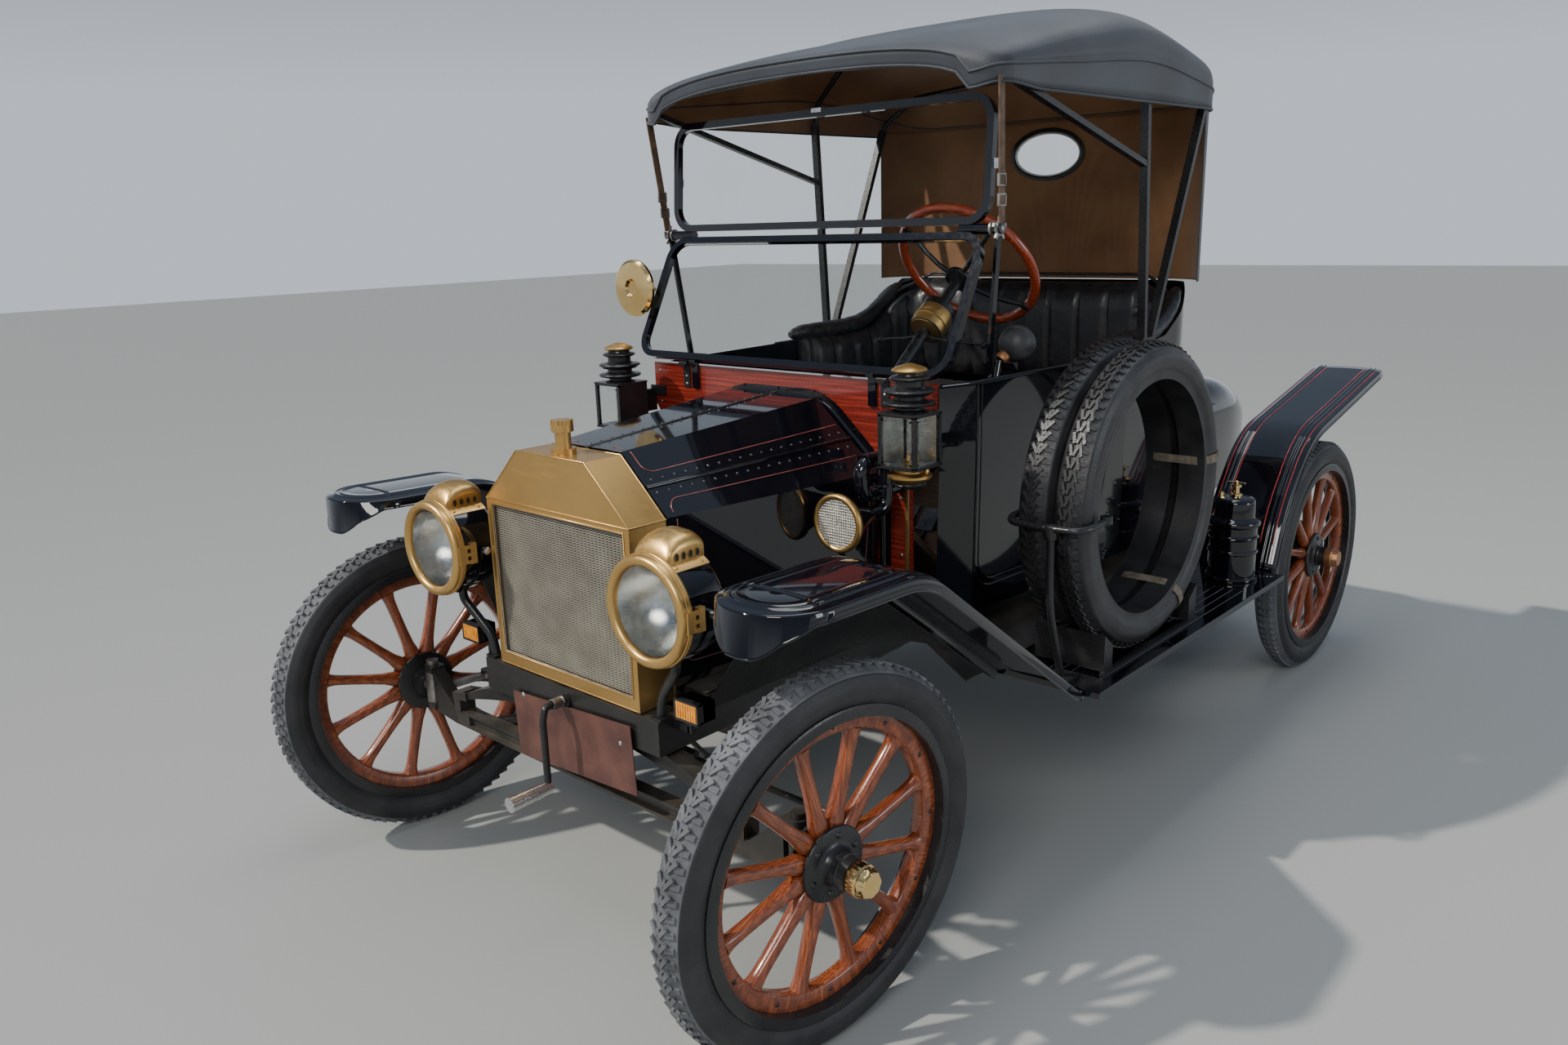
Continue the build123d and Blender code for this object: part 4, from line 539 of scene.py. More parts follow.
DRESSES = {
    "body_enamel": "body_shell door_right",
    "black_enamel": "hood_top_left hood_top_right hood_side_left hood_side_right running_boards "
                    "windshield_frame",
    "satin_black": "hood_former steering_column fuel_tank top_bows controls",
    "chassis_black": "splash_aprons frame springs front_axle rear_axle knuckle_left tie_rod pitman_arm "
                     "body_sills",
    "worn_steel": "knuckle_right",
    "cast_engine": "engine",
    "rusty_pipe": "exhaust",
    "radiator_gold": "radiator_shell",
    "dash_red": "firewall",
    "dark_boards": "cabin_floor",
    "strap_hide": "top_straps",
    "clear_glass": "window_glass lamp_glasses",
    "plate_enamel": "number_plate",
    "bright_brass": "mirror",
}
for finish, names in DRESSES.items():
    for node_name in names.split():
        dress(node_name, finish)
print("dressed in one finish:", sum(len(names.split()) for names in DRESSES.values()), "of", len(nodes))

# %% Pieces with two finishes
def bulb_part(centre):
    return centre.z > 1.185 and centre.y > spot(0, 978, 0).y


def grip_part(centre):
    return centre.y < spot(0, -105, 0).y - 0.0015 and centre.z < 0.363


print("bulb faces:", dress("horn", "black_enamel", ("bulb_rubber", bulb_part)))
print("grip faces:", dress("crank", "satin_black", ("grip_aluminium", grip_part)))

# %% [markdown]
# ## Making and placing pieces
# A piece is a list of points and faces in the frame's metres, so its object stays at the origin. Round
# things are a profile turned about a line, and bars are a ring carried along a path.

# %% Helpers that make pieces
SIDES = (("left", 1), ("right", -1))


def piece(name, points, faces, finish, body="chassis", slot=None, smooth=40):
    """A mesh object from points and faces, with its finish, smooth up to an angle, riding on its body."""
    mesh = bpy.data.meshes.new(name)
    mesh.from_pydata([tuple(p) for p in points], [], faces)
    mesh.validate()
    made = bpy.data.objects.new(name, mesh)
    bpy.context.scene.collection.objects.link(made)
    for material in (finish if isinstance(finish, (list, tuple)) else [finish]):
        mesh.materials.append(FINISHES[material])
    if smooth:
        mesh.shade_smooth()
        mesh.set_sharp_from_angle(angle=radians(smooth))
    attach(made, body)
    return made


def outward(made):
    """Merges doubles and turns every face outwards."""
    work = bmesh.new()
    work.from_mesh(made.data)
    bmesh.ops.remove_doubles(work, verts=work.verts, dist=1e-5)
    bmesh.ops.recalc_face_normals(work, faces=work.faces)
    work.to_mesh(made.data)
    work.free()
    return made


def lofted(rows, count, closed=True):
    """Faces between rows of points that follow each other."""
    return [(i * count + k, i * count + (k + 1) % count, (i + 1) * count + (k + 1) % count,
             (i + 1) * count + k) for i in range(rows - 1) for k in range(count if closed else count - 1)]


def hoops(rows, count, closed=True):
    """Faces between rows of points that run round and meet again."""
    faces = []
    for i in range(rows):
        here, there = i * count, (i + 1) % rows * count
        for k in range(count if closed else count - 1):
            m = (k + 1) % count
            faces.append((here + k, there + k, there + m, here + m))
    return faces


def ends_of(rows, count):
    """The two faces that close a run of rows."""
    return [tuple(range(count))[::-1], tuple((rows - 1) * count + k for k in range(count))]


def turned(profile, steps=48, place=Matrix()):
    """Points and faces of a closed (along, radius) profile turned about X, in mm, then placed."""
    points = [place @ on_circle(x, r, 2 * pi * i / steps) for i in range(steps) for x, r in profile]
    return points, hoops(steps, len(profile))


def joined(*parts):
    """Several lists of points and faces as one."""
    points, faces = [], []
    for more_points, more_faces in parts:
        base = len(points)
        points += more_points
        faces += [tuple(k + base for k in face) for face in more_faces]
    return points, faces


def block(low, high, place=Matrix()):
    """A box between two corners, in mm before it is placed."""
    (x0, y0, z0), (x1, y1, z1) = low, high
    corners = [(x, y, z) for x in (x0, x1) for y in (y0, y1) for z in (z0, z1)]
    faces = [(0, 1, 3, 2), (4, 6, 7, 5), (0, 4, 5, 1), (2, 3, 7, 6), (0, 2, 6, 4), (1, 5, 7, 3)]
    return [place @ (Vector(c) / 1000) for c in corners], faces


def slab(low, high):
    """A box between two corners given in mm from the front axle."""
    return block(low, high, at(0, 0, 0))


def bar(path, radius, steps=12, flat=None, ends=True):
    """A round or flat bar along points in metres. flat is its (width, thickness, side), in metres too."""
    count = len(path)
    points = []
    side = None
    for i, p in enumerate(path):
        way = (path[min(i + 1, count - 1)] - path[max(i - 1, 0)]).normalized()
        if side is None:
            side = way.orthogonal().normalized() if not flat or len(flat) < 3 else Vector(flat[2])
        side = (side - way * side.dot(way)).normalized()
        up = way.cross(side)
        for k in range(steps):
            a = 2 * pi * (k + (0.5 if flat else 0)) / steps
            if flat:
                u = flat[0] / 2 * (1 if cos(a) > 0 else -1)
                v = flat[1] / 2 * (1 if sin(a) > 0 else -1)
            else:
                u, v = radius * cos(a), radius * sin(a)
            points.append(p + side * u + up * v)
    return points, lofted(count, steps) + (ends_of(count, steps) if ends else [])


def rounded_path(points, radius, steps=6):
    """A path through points with its corners rounded."""
    made = [points[0]]
    for before, here, after in zip(points, points[1:], points[2:]):
        into, out = (here - before), (after - here)
        cut = min(radius, into.length * 0.45, out.length * 0.45)
        a, b = here - into.normalized() * cut, here + out.normalized() * cut
        for i in range(steps + 1):
            t = i / steps
            made.append(a.lerp(here, t).lerp(here.lerp(b, t), t))
    made.append(points[-1])
    return made


print("helpers ready")

# %% [markdown]
# ## Rings of copies
# A tread, a ring of hub bolts and the notches of a cap are all one small shape repeated round an axle.
# A Geometry Nodes tree does that: points round a circle, the small shape set on each and turned to face
# outwards, then made real. The small shape is the object's own mesh, so the tree fits any of them.

# %% Geometry Nodes: copies round an axle
def make_ring_tree():
    tree = bpy.data.node_groups.new("ring_of_copies", "GeometryNodeTree")
    face = tree.interface
    face.new_socket("Geometry", in_out="INPUT", socket_type="NodeSocketGeometry")
    for label, kind, value in (("Count", "Int", 12), ("Radius", "Float", 0.3), ("Start", "Float", 0.0)):
        face.new_socket(label, in_out="INPUT", socket_type="NodeSocket" + kind).default_value = value
    face.new_socket("Finish", in_out="INPUT", socket_type="NodeSocketMaterial")
    face.new_socket("Geometry", in_out="OUTPUT", socket_type="NodeSocketGeometry")
    take = tree.nodes.new("NodeGroupInput").outputs
    give = tree.nodes.new("NodeGroupOutput").inputs
    index = wire(tree, "GeometryNodeInputIndex").outputs[0]
    step = sums(tree, "DIVIDE", 2 * pi, take["Count"])
    angle = sums(tree, "ADD", sums(tree, "MULTIPLY", index, step), take["Start"])
    y = sums(tree, "MULTIPLY", sums(tree, "COSINE", angle), take["Radius"])
    z = sums(tree, "MULTIPLY", sums(tree, "SINE", angle), take["Radius"])
    place = wire(tree, "ShaderNodeCombineXYZ", {1: y, 2: z}).outputs[0]
    dots = wire(tree, "GeometryNodePoints", {"Count": take["Count"], "Position": place}).outputs[0]
    turn = wire(tree, "ShaderNodeCombineXYZ", {0: angle}).outputs[0]
    copies = wire(tree, "GeometryNodeInstanceOnPoints",
                  {"Points": dots, "Instance": take["Geometry"], "Rotation": turn})
    real = wire(tree, "GeometryNodeRealizeInstances", {0: copies.outputs[0]}).outputs[0]
    shown = wire(tree, "GeometryNodeSetMaterial", {"Geometry": real, "Material": take["Finish"]}).outputs[0]
    tree.links.new(shown, give[0])
    return tree


RING = make_ring_tree()


def grown(tree, seed_points, seed_faces, values):
    """Runs a Geometry Nodes tree on a small mesh and gives back the points and faces it makes."""
    mesh = bpy.data.meshes.new("seed")
    mesh.from_pydata([tuple(p) for p in seed_points], [], seed_faces)
    holder = bpy.data.objects.new("seed", mesh)
    bpy.context.scene.collection.objects.link(holder)
    maker = holder.modifiers.new("copies", "NODES")
    maker.node_group = tree
    for item in tree.interface.items_tree:
        if item.item_type == "SOCKET" and item.in_out == "INPUT" and item.name in values:
            maker[item.identifier] = values[item.name]
    bpy.context.view_layer.update()
    ready = holder.evaluated_get(bpy.context.evaluated_depsgraph_get())
    result = bpy.data.meshes.new_from_object(ready)
    points = [v.co.copy() for v in result.vertices]
    faces = [tuple(p.vertices) for p in result.polygons]
    bpy.data.objects.remove(holder)
    bpy.data.meshes.remove(result)
    return points, faces


def ring(seed, count, radius, finish, start=0.0):
    return grown(RING, seed[0], seed[1], {"Count": count, "Radius": radius, "Start": start,
                                          "Finish": FINISHES[finish]})


def trim(name, shapes, finish, slot, smooth):
    """Several small shapes as one piece on the chassis."""
    return piece(name, *joined(*shapes), finish, "chassis", slot, smooth)


def placed(part, place):
    return [place @ p for p in part[0]], part[1]


print("tree inputs:", [i.name for i in RING.interface.items_tree])

# %% [markdown]
# ## Tyres
# A clincher tyre is nearly round in section. Its casing is a turned profile with two thin mould lines on
# each wall, and the raised tread is a ring of small blocks: slanted bars in the middle and lugs at the
# shoulders. The blocks end within a millimetre of the tyre's own radius, so the car stands where it stood.

# %% Tyre casings and treads
# the middle of the tyre's section, from the axle
SECTION_AT = 343


def casing_profile(drop, shift=0.0):
    """A tyre's section as (along, radius) in mm: thinner under the tread by drop."""
    rows = []
    for i in range(41):
        a = radians(-128 + 256 * i / 40)
        share = min(1.0, max(0.0, (abs(a) - radians(36)) / radians(14)))
        r = SECTION_R - drop * (1 - share)
        for line in (66, 96):
            if abs(abs(a) - radians(line)) < radians(3.4):
                r -= 1.1
        rows.append((r * sin(a), SECTION_AT - shift + r * cos(a)))
    base = 296.4 - shift
    return rows + [(34.6, base), (-34.6, base)]


def tread_bar(along, wide, long, turn, lean, high, drop):
    """A small bar on the casing: its middle along the axle, its size, its slant and its lean."""
    place = spin(radians(lean), "Z")
    slant = spin(radians(turn), "Y")
    r0 = SECTION_R - drop - 0.6
    inner = block((along - wide / 2, r0, -long / 2), (along + wide / 2, r0 + 0.6 + high, long / 2))
    points = []
    for p in inner[0]:
        flat = Vector((p.x - along / 1000, p.y, p.z))
        moved = slant @ flat
        points.append(place.inverted() @ Vector((moved.x + along / 1000, moved.y, moved.z)))
    return points, inner[1]


# the spare tyres' outer radius and the middle of their ring
SPARE_R, SPARE_Y, SPARE_Z = 378.0, 1165, 862
TREADS = {
    # rows of (along, wide, long, slant, lean), then copies round the tyre
    "zigzag": (((-9.6, 8, 29, 38, 0), (9.6, 8, 29, -38, 0), (0, 6, 11, 0, 0), (0, 17, 11, 0, 31),
                (0, 17, 11, 0, -31)), 84),
    "knobs": (((-13, 10, 17, 20, 0), (0, 10, 15, -12, 0), (13, 10, 17, 20, 0), (0, 15, 11, 0, 30),
               (0, 15, 11, 0, -30)), 88),
    "ribs": (((-12, 7, 27, 18, 0), (0, 7, 25, -18, 0), (12, 7, 27, 18, 0), (0, 14, 9, 0, 30),
              (0, 14, 9, 0, -30)), 82),
}


def make_tyre(name, place, tread, finish, body, stands_for, outer=TYRE_R):
    rows, count = TREADS[tread]
    drop, shift = 4.2, TYRE_R - outer
    seed = joined(*(tread_bar(a, w, n, t, lean, drop - 0.25, drop) for a, w, n, t, lean in rows))
    blocks = ring(seed, count, (SECTION_AT - shift) / 1000, finish)
    casing = turned(casing_profile(drop, shift), 96)
    worn = "tread_rubber" if finish == "tyre_rubber" else finish
    made = outward(piece(name, *joined(placed(casing, place), placed(blocks, place)), [finish, worn], body,
                         smooth=35))
    back = place.inverted()
    for face in made.data.polygons:
        centre = back @ face.center
        if hypot(centre.y, centre.z) * 1000 > SECTION_AT - shift + SECTION_R * cos(radians(52)):
            face.material_index = 1
    if stands_for:
        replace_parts(made, stands_for)
    return made


for name, place in WHEEL_PLACES.items():
    tread = "zigzag" if name.startswith("front") else "knobs"
    make_tyre("tyre_cover_" + name, place, tread, "tyre_rubber", "wheel_" + name, "tyre_" + name)
spares = []
for label, x, tread in (("outer", 748, "ribs"), ("inner", 656, "zigzag")):
    place = at(x, SPARE_Y, SPARE_Z)
    spares.append(make_tyre("spare_tyre_" + label, place, tread, "weathered_rubber", "chassis", None,
                            SPARE_R))
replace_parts(spares[0], "spare_tyres")
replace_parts(spares[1], "spare_tyres")
print("tread blocks:", {k: len(v[0]) * v[1] for k, v in TREADS.items()})

# %% [markdown]
# ## Wooden wheels
# An artillery wheel has twelve spokes whose feet widen until they touch and make a solid disc between two
# iron flanges. Each spoke is a loft of ovals: broad at the foot, slender past the flange, and swelling a
# little where it meets the felloe. The rim is steel with two hooked lips that grip the tyre.

# %% Wheels
SPOKE_ROWS = ((44, 11.6, 16.6), (66, 17.4, 16.8), (80, 19.6, 17.0), (94, 17.6, 16.6), (110, 14.6, 15.8),
              (150, 12.9, 14.8), (205, 12.6, 14.0), (236, 13.4, 14.2), (250, 16.0, 15.4), (259.6, 20.5, 16.6))
FELLOE = ((-13, 258.7), (-17, 263), (-17, 290.6), (17, 290.6), (17, 263), (13, 258.7))
RIM = ((-40, 291), (40, 291), (40, 310), (37.5, 314), (35, 313.6), (35, 296), (-35, 296), (-35, 313.6),
       (-37.5, 314), (-40, 310))
FLANGES = (((-17.3, 34), (-17.3, 74), (-19.5, 76), (-24, 75), (-25, 73), (-25, 34)),
           ((17.3, 34), (17.3, 75), (19.5, 76), (23.4, 75), (25, 73), (25.4, 50), (28, 42), (33, 37),
            (52, 34), (54, 35.5), (57, 35.5), (59, 33), (78, 31.5), (78, 33)))


def spoke(turn):
    points, steps = [], 14
    for r, wide, deep in SPOKE_ROWS:
        for k in range(steps):
            a = 2 * pi * k / steps
            u, v = cos(a), sin(a)
            u = abs(u) ** 0.8 * (1 if u > 0 else -1)
            v = abs(v) ** 0.8 * (1 if v > 0 else -1)
            p = Vector((deep * v, r, wide * u)) / 1000
            points.append(spin(turn, "X") @ p)
    return points, lofted(len(SPOKE_ROWS), steps) + ends_of(len(SPOKE_ROWS), steps)


def dome(radius, high, x=0.0):
    """A round bolt head that stands out along X."""
    points, steps, rows = [], 10, 4
    for i in range(rows):
        a = pi / 2 * i / rows
        for k in range(steps):
            b = 2 * pi * k / steps
            points.append(on_circle(x + high * sin(a), radius * cos(a), b))
    points.append(Vector((x + high, 0, 0)) / 1000)
    tip = [((rows - 1) * steps + k, (rows - 1) * steps + (k + 1) % steps, rows * steps) for k in range(steps)]
    return points, lofted(rows, steps) + tip + [tuple(range(steps))[::-1]]


def hub_cap(end, sides=8):
    """The fluted cap: a knurled barrel, a groove and a short faceted nose."""
    profile = ((end - 43, 30), (end - 43, 31.5), (end - 40, 33), (end - 20, 33), (end - 17, 29.5),
               (end - 15, 29.5), (end - 12, 28.5), (end - 2, 26), (end, 23.5))
    points, steps = [], 48
    for i in range(steps):
        a = 2 * pi * i / steps
        for x, r in profile:
            if x < end - 18:
                r = r - (0.9 if i % 2 else 0.0)
            elif x > end - 13:
                r = r * (0.93 + 0.07 * abs(cos(sides / 2 * a)))
            points.append(on_circle(x, r, a))
    count = len(profile)
    faces = hoops(steps, count, False)
    faces.append(tuple(i * count + count - 1 for i in range(steps)))
    faces.append(tuple(i * count for i in range(steps))[::-1])
    return points, faces


def make_wheel(name, place):
    front = name.startswith("front")
    body = "wheel_" + name
    wood = joined(turned(FELLOE, 96), *(spoke(2 * pi * (i + 0.5) / 12) for i in range(12)))
    timber = outward(piece("spokes_" + name, *placed(wood, place), "wheel_wood_" + name, body, "wheel_wood",
                           50))
    end = 121 if front else 101
    reach = end - 121
    flange_out = [(x if x < 50 else x + reach * 0.9, r) for x, r in FLANGES[1]]
    parts = [turned(RIM, 96), turned(FLANGES[0], 48),
             turned(flange_out + [(78 + reach * 0.9, 10), (17.3, 10)], 48)]
    parts.append(ring(dome(7.5, 5.5, 24.6), 6, 0.058, "black_enamel", 0.35))
    parts.append(ring(dome(4.5, 3.0, 17.0), 12, 0.2745, "black_enamel", 0.0))
    parts.append(turned(((-40, 16), (-40, 40), (-25, 41), (-25, 16)), 32))
    metal = outward(piece("wheel_iron_" + name, *placed(joined(*parts), place), "satin_black", body,
                          "wheel_wood", 40))
    cap = outward(piece("hub_cap_" + name, *placed(hub_cap(end), place),
                        "bright_brass" if front else "dull_copper", body, "polished_brass", 30))
    stem = bar([Vector((0, 0.262, 0.0)), Vector((0, 0.236, 0.0))], 0.004)
    nut = bar([Vector((0, 0.2585, 0.0)), Vector((0, 0.2525, 0.0))], 0.0085, 6)
    turn = place @ spin(radians(-75), "X")
    valve = piece("valve_" + name, *placed(joined(stem, nut), turn), "dull_copper", body, "polished_brass",
                  30)
    for made in (timber, metal, cap, valve):
        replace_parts(made, "wheel_" + name)


for name, place in WHEEL_PLACES.items():
    make_wheel(name, place)
print("wheels made:", len(WHEEL_PLACES))

# %% [markdown]
# ## The radiator core
# An early core is a bank of upright flat tubes with thin sheet fins threaded over them, and each fin is
# crimped so that it waves. One crimped fin and one tube are made, and a second Geometry Nodes tree
# sets them out in a row: the fins up the core, the tubes across it.

# %% Geometry Nodes: a row of copies
def make_row_tree():
    tree = bpy.data.node_groups.new("row_of_copies", "GeometryNodeTree")
    face = tree.interface
    face.new_socket("Geometry", in_out="INPUT", socket_type="NodeSocketGeometry")
    face.new_socket("Count", in_out="INPUT", socket_type="NodeSocketInt").default_value = 10
    for label in ("From", "To"):
        face.new_socket(label, in_out="INPUT", socket_type="NodeSocketVector")
    face.new_socket("Finish", in_out="INPUT", socket_type="NodeSocketMaterial")
    face.new_socket("Geometry", in_out="OUTPUT", socket_type="NodeSocketGeometry")
    take = tree.nodes.new("NodeGroupInput").outputs
    give = tree.nodes.new("NodeGroupOutput").inputs
    line = wire(tree, "GeometryNodeMeshLine", {"Count": take["Count"], "Start Location": take["From"],
                                               "Offset": take["To"]}, mode="END_POINTS")
    copies = wire(tree, "GeometryNodeInstanceOnPoints",
                  {"Points": line.outputs[0], "Instance": take["Geometry"]})
    real = wire(tree, "GeometryNodeRealizeInstances", {0: copies.outputs[0]}).outputs[0]
    shown = wire(tree, "GeometryNodeSetMaterial", {"Geometry": real, "Material": take["Finish"]}).outputs[0]
    tree.links.new(shown, give[0])
    return tree


ROW = make_row_tree()


def row(seed, count, low, high, finish):
    return grown(ROW, seed[0], seed[1], {"Count": count, "From": tuple(low), "To": tuple(high),
                                         "Finish": FINISHES[finish]})


def crimped_fin(half, pitch, wave, depth, thick):
    """A strip of sheet along X that zigzags up and down."""
    points = []
    count = int(2 * half / pitch)
    for i in range(count + 1):
        x, lift = -half + 2 * half * i / count, wave if i % 2 else -wave
        for y, z in ((0, lift - thick / 2), (0, lift + thick / 2), (depth, lift + thick / 2),
                     (depth, lift - thick / 2)):
            points.append(Vector((x, y, z)) / 1000)
    return points, lofted(count + 1, 4)


# %% Radiator core
CORE_HALF, CORE_LOW, CORE_HIGH = 227.5, 592.5, 945.5
FIN_COUNT, TUBE_COUNT = 64, 38
fin = crimped_fin(CORE_HALF - 0.5, 6.0, 1.3, 13, 2.1)
fins = row(fin, FIN_COUNT, spot(0, -35, CORE_LOW + 4), spot(0, -35, CORE_HIGH - 4), "core_metal")
# the tubes stand back from the fins' front and take the darker copy of the core metal, as painted shade
tube = block((-1.6, 0, 0), (1.6, 10, CORE_HIGH - CORE_LOW))
tubes = row(tube, TUBE_COUNT, spot(-CORE_HALF + 6, -30.5, CORE_LOW), spot(CORE_HALF - 6, -30.5, CORE_LOW),
            "core_tube")
fin_piece = piece("radiator_fins", *fins, "core_metal", "chassis", "core_fins", 0)
tube_piece = piece("radiator_tubes", *tubes, "core_tube", "chassis", "core_fins", 0)
# painted shade: this black block fills the core behind the fins, where the real core is more fins and tubes
# in shade
back = slab((-CORE_HALF, -21, CORE_LOW), (CORE_HALF, 49, CORE_HIGH))
core_shade_piece = piece("radiator_core_painted_shade", *back, "satin_black", "chassis", "core_fins", 0)
for made in (fin_piece, tube_piece, core_shade_piece):
    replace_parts(made, "radiator_core")
print("fins:", FIN_COUNT, "tubes:", TUBE_COUNT)

# %% [markdown]
# ## Seams of the radiator shell
# The shell is folded from brass sheet, so its edges show as thin rounded beads: round the core, where the
# tank meets the sides, and up the slopes of the tank.

# %% Beads on the radiator
RAD_FACE, RAD_BACK = -43.0, 57.0


def bead(points, radius, closed=False):
    """A thin rounded seam through places given in mm from the front axle."""
    path = [spot(*p) for p in points]
    if closed:
        path = path + [path[0], path[1]]
        path = [path[0].lerp(path[1], 0.5)] + path[1:-1] + [path[0].lerp(path[1], 0.5)]
    return bar(path, radius / 1000, 8)


core_loop = [(-228, RAD_FACE, 592), (228, RAD_FACE, 592), (228, RAD_FACE, 946), (-228, RAD_FACE, 946)]
seams = [bead(core_loop, 2.6, True)]
for y in (RAD_FACE + 0.6, RAD_BACK - 1.5):
    seams.append(bead(((-245, y, 957), (-117, y, 1077.6), (117, y, 1077.6), (245, y, 957)), 1.9))
    seams.append(bead(((-244.6, y, 564), (-244.6, y, 957)), 1.6))
    seams.append(bead(((244.6, y, 564), (244.6, y, 957)), 1.6))
seams.append(bead(((-245.4, RAD_BACK, 957), (-245.4, RAD_FACE, 957), (245.4, RAD_FACE, 957),
                   (245.4, RAD_BACK, 957)), 2.2))
seams.append(bead(((-240, RAD_FACE, 565), (240, RAD_FACE, 565)), 1.6))
trim("radiator_seams", seams, "radiator_gold", "gold_brass", 60)
core_edge = bead([(x * 0.985, -41.2, 769 + (z - 769) * 0.985) for x, _, z in core_loop], 1.8, True)
piece("core_edge_strip", *core_edge, "worn_steel", "chassis", "core_fins", 60)
print("seams:", len(seams))

# %% [markdown]
# ## Headlamps
# An acetylene headlamp is a black drum with a wide brass rim, a glass, and a bright bowl with the burner in
# it. Hot air leaves through a brass chimney on top, which is an arched box with four oval vents in each
# side and a flange held by screws. A fork with thumb nuts carries the drum.

# %% Headlamp drum, rim and bowl
LAMP_X, LAMP_Z = 373.0, 832.0
DRUM = ((-112, 101), (-112, 104), (-98, 104), (-96, 105.6), (-92, 105.6), (-90, 104), (-14, 104), (-6, 100),
        (8, 82), (17, 68), (20, 60), (20, 0.4), (16, 0.4), (16, 58), (4, 80), (-14, 101))
BOWL = ((-110, 97), (-106, 96.5), (-85, 92), (-60, 82), (-38, 66), (-24, 46), (-16, 24), (-13, 0.4),
        (-11, 0.4), (-14, 25), (-22, 48), (-36, 68), (-58, 84), (-84, 94), (-108, 99))


def rim_profile():
    rows = [(-117 - 11 * sin(radians(t)), 101 + 11 * cos(radians(t))) for t in range(180, -1, -15)]
    rows += [(-114.5, 112), (-113.5, 110.4), (-112, 113.4), (-108.5, 114), (-107, 111.2), (-105.5, 113.2),
             (-101, 113)]
    return rows + [(-100, 111), (-100, 104.3), (-112, 104.3), (-112, 90)]


def on_lamp(side):
    """Carries a lamp's own frame, with X along its axis to the rear, to its place on the car."""
    return at(side * LAMP_X, 0, LAMP_Z) @ spin(pi / 2, "Z")


def chimney_shell():
    """An arched box lofted along the lamp's axis: it rises from the front edge and ends upright."""
    rows = ((-102, 44, 101, 103), (-97, 47, 108, 116), (-86, 49, 115, 133), (-70, 50, 119, 144),
            (-48, 50, 121, 149.5), (-26, 50, 120, 148), (-12, 49, 117, 142), (-6, 48, 113, 136))
    points, steps = [], 14
    for x, half, wall, top in rows:
        low = (104.2 ** 2 - half ** 2) ** 0.5 - 3
        line = [(half, low), (half, wall)]
        line += [(half * cos(pi * k / steps), wall + (top - wall) * sin(pi * k / steps) ** 0.8)
                 for k in range(1, steps)]
        line += [(-half, wall), (-half, low)]
        points += [Vector((x, u, v)) / 1000 for u, v in line]
    count = len(line)
    return points, lofted(len(rows), count, False) + ends_of(len(rows), count)


def hugging_strip(angles, x0, x1, inner, outer, steps=6):
    """A thin plate bent round the drum between two angles."""
    points = []
    for i in range(steps + 1):
        a = radians(angles[0] + (angles[1] - angles[0]) * i / steps)
        for x, r in ((x0, inner), (x0, outer), (x1, outer), (x1, inner)):
            points.append(on_circle(x, r, a))
    return points, lofted(steps + 1, 4) + [(0, 1, 2, 3), tuple(4 * steps + k for k in (3, 2, 1, 0))]


def oval_plate(centre, side, wide, high, thick, rim=0.0):
    """A flat oval on a side wall, or an oval ring when it has a rim."""
    points, steps = [], 20
    x0, y0, z0 = centre
    for k in range(steps):
        a = 2 * pi * k / steps
        for grow, out in ((0.0, 0.0), (0.0, thick), (rim, thick)) if rim else ((0.0, 0.0), (0.0, thick)):
            points.append(Vector((x0 + (wide + grow) * cos(a), y0 + side * out,
                                  z0 + (high + grow) * sin(a))) / 1000)
    rows = 3 if rim else 2
    faces = hoops(steps, rows, False)
    if not rim:
        faces.append(tuple(rows * k + 1 for k in range(steps)))
    return points, faces


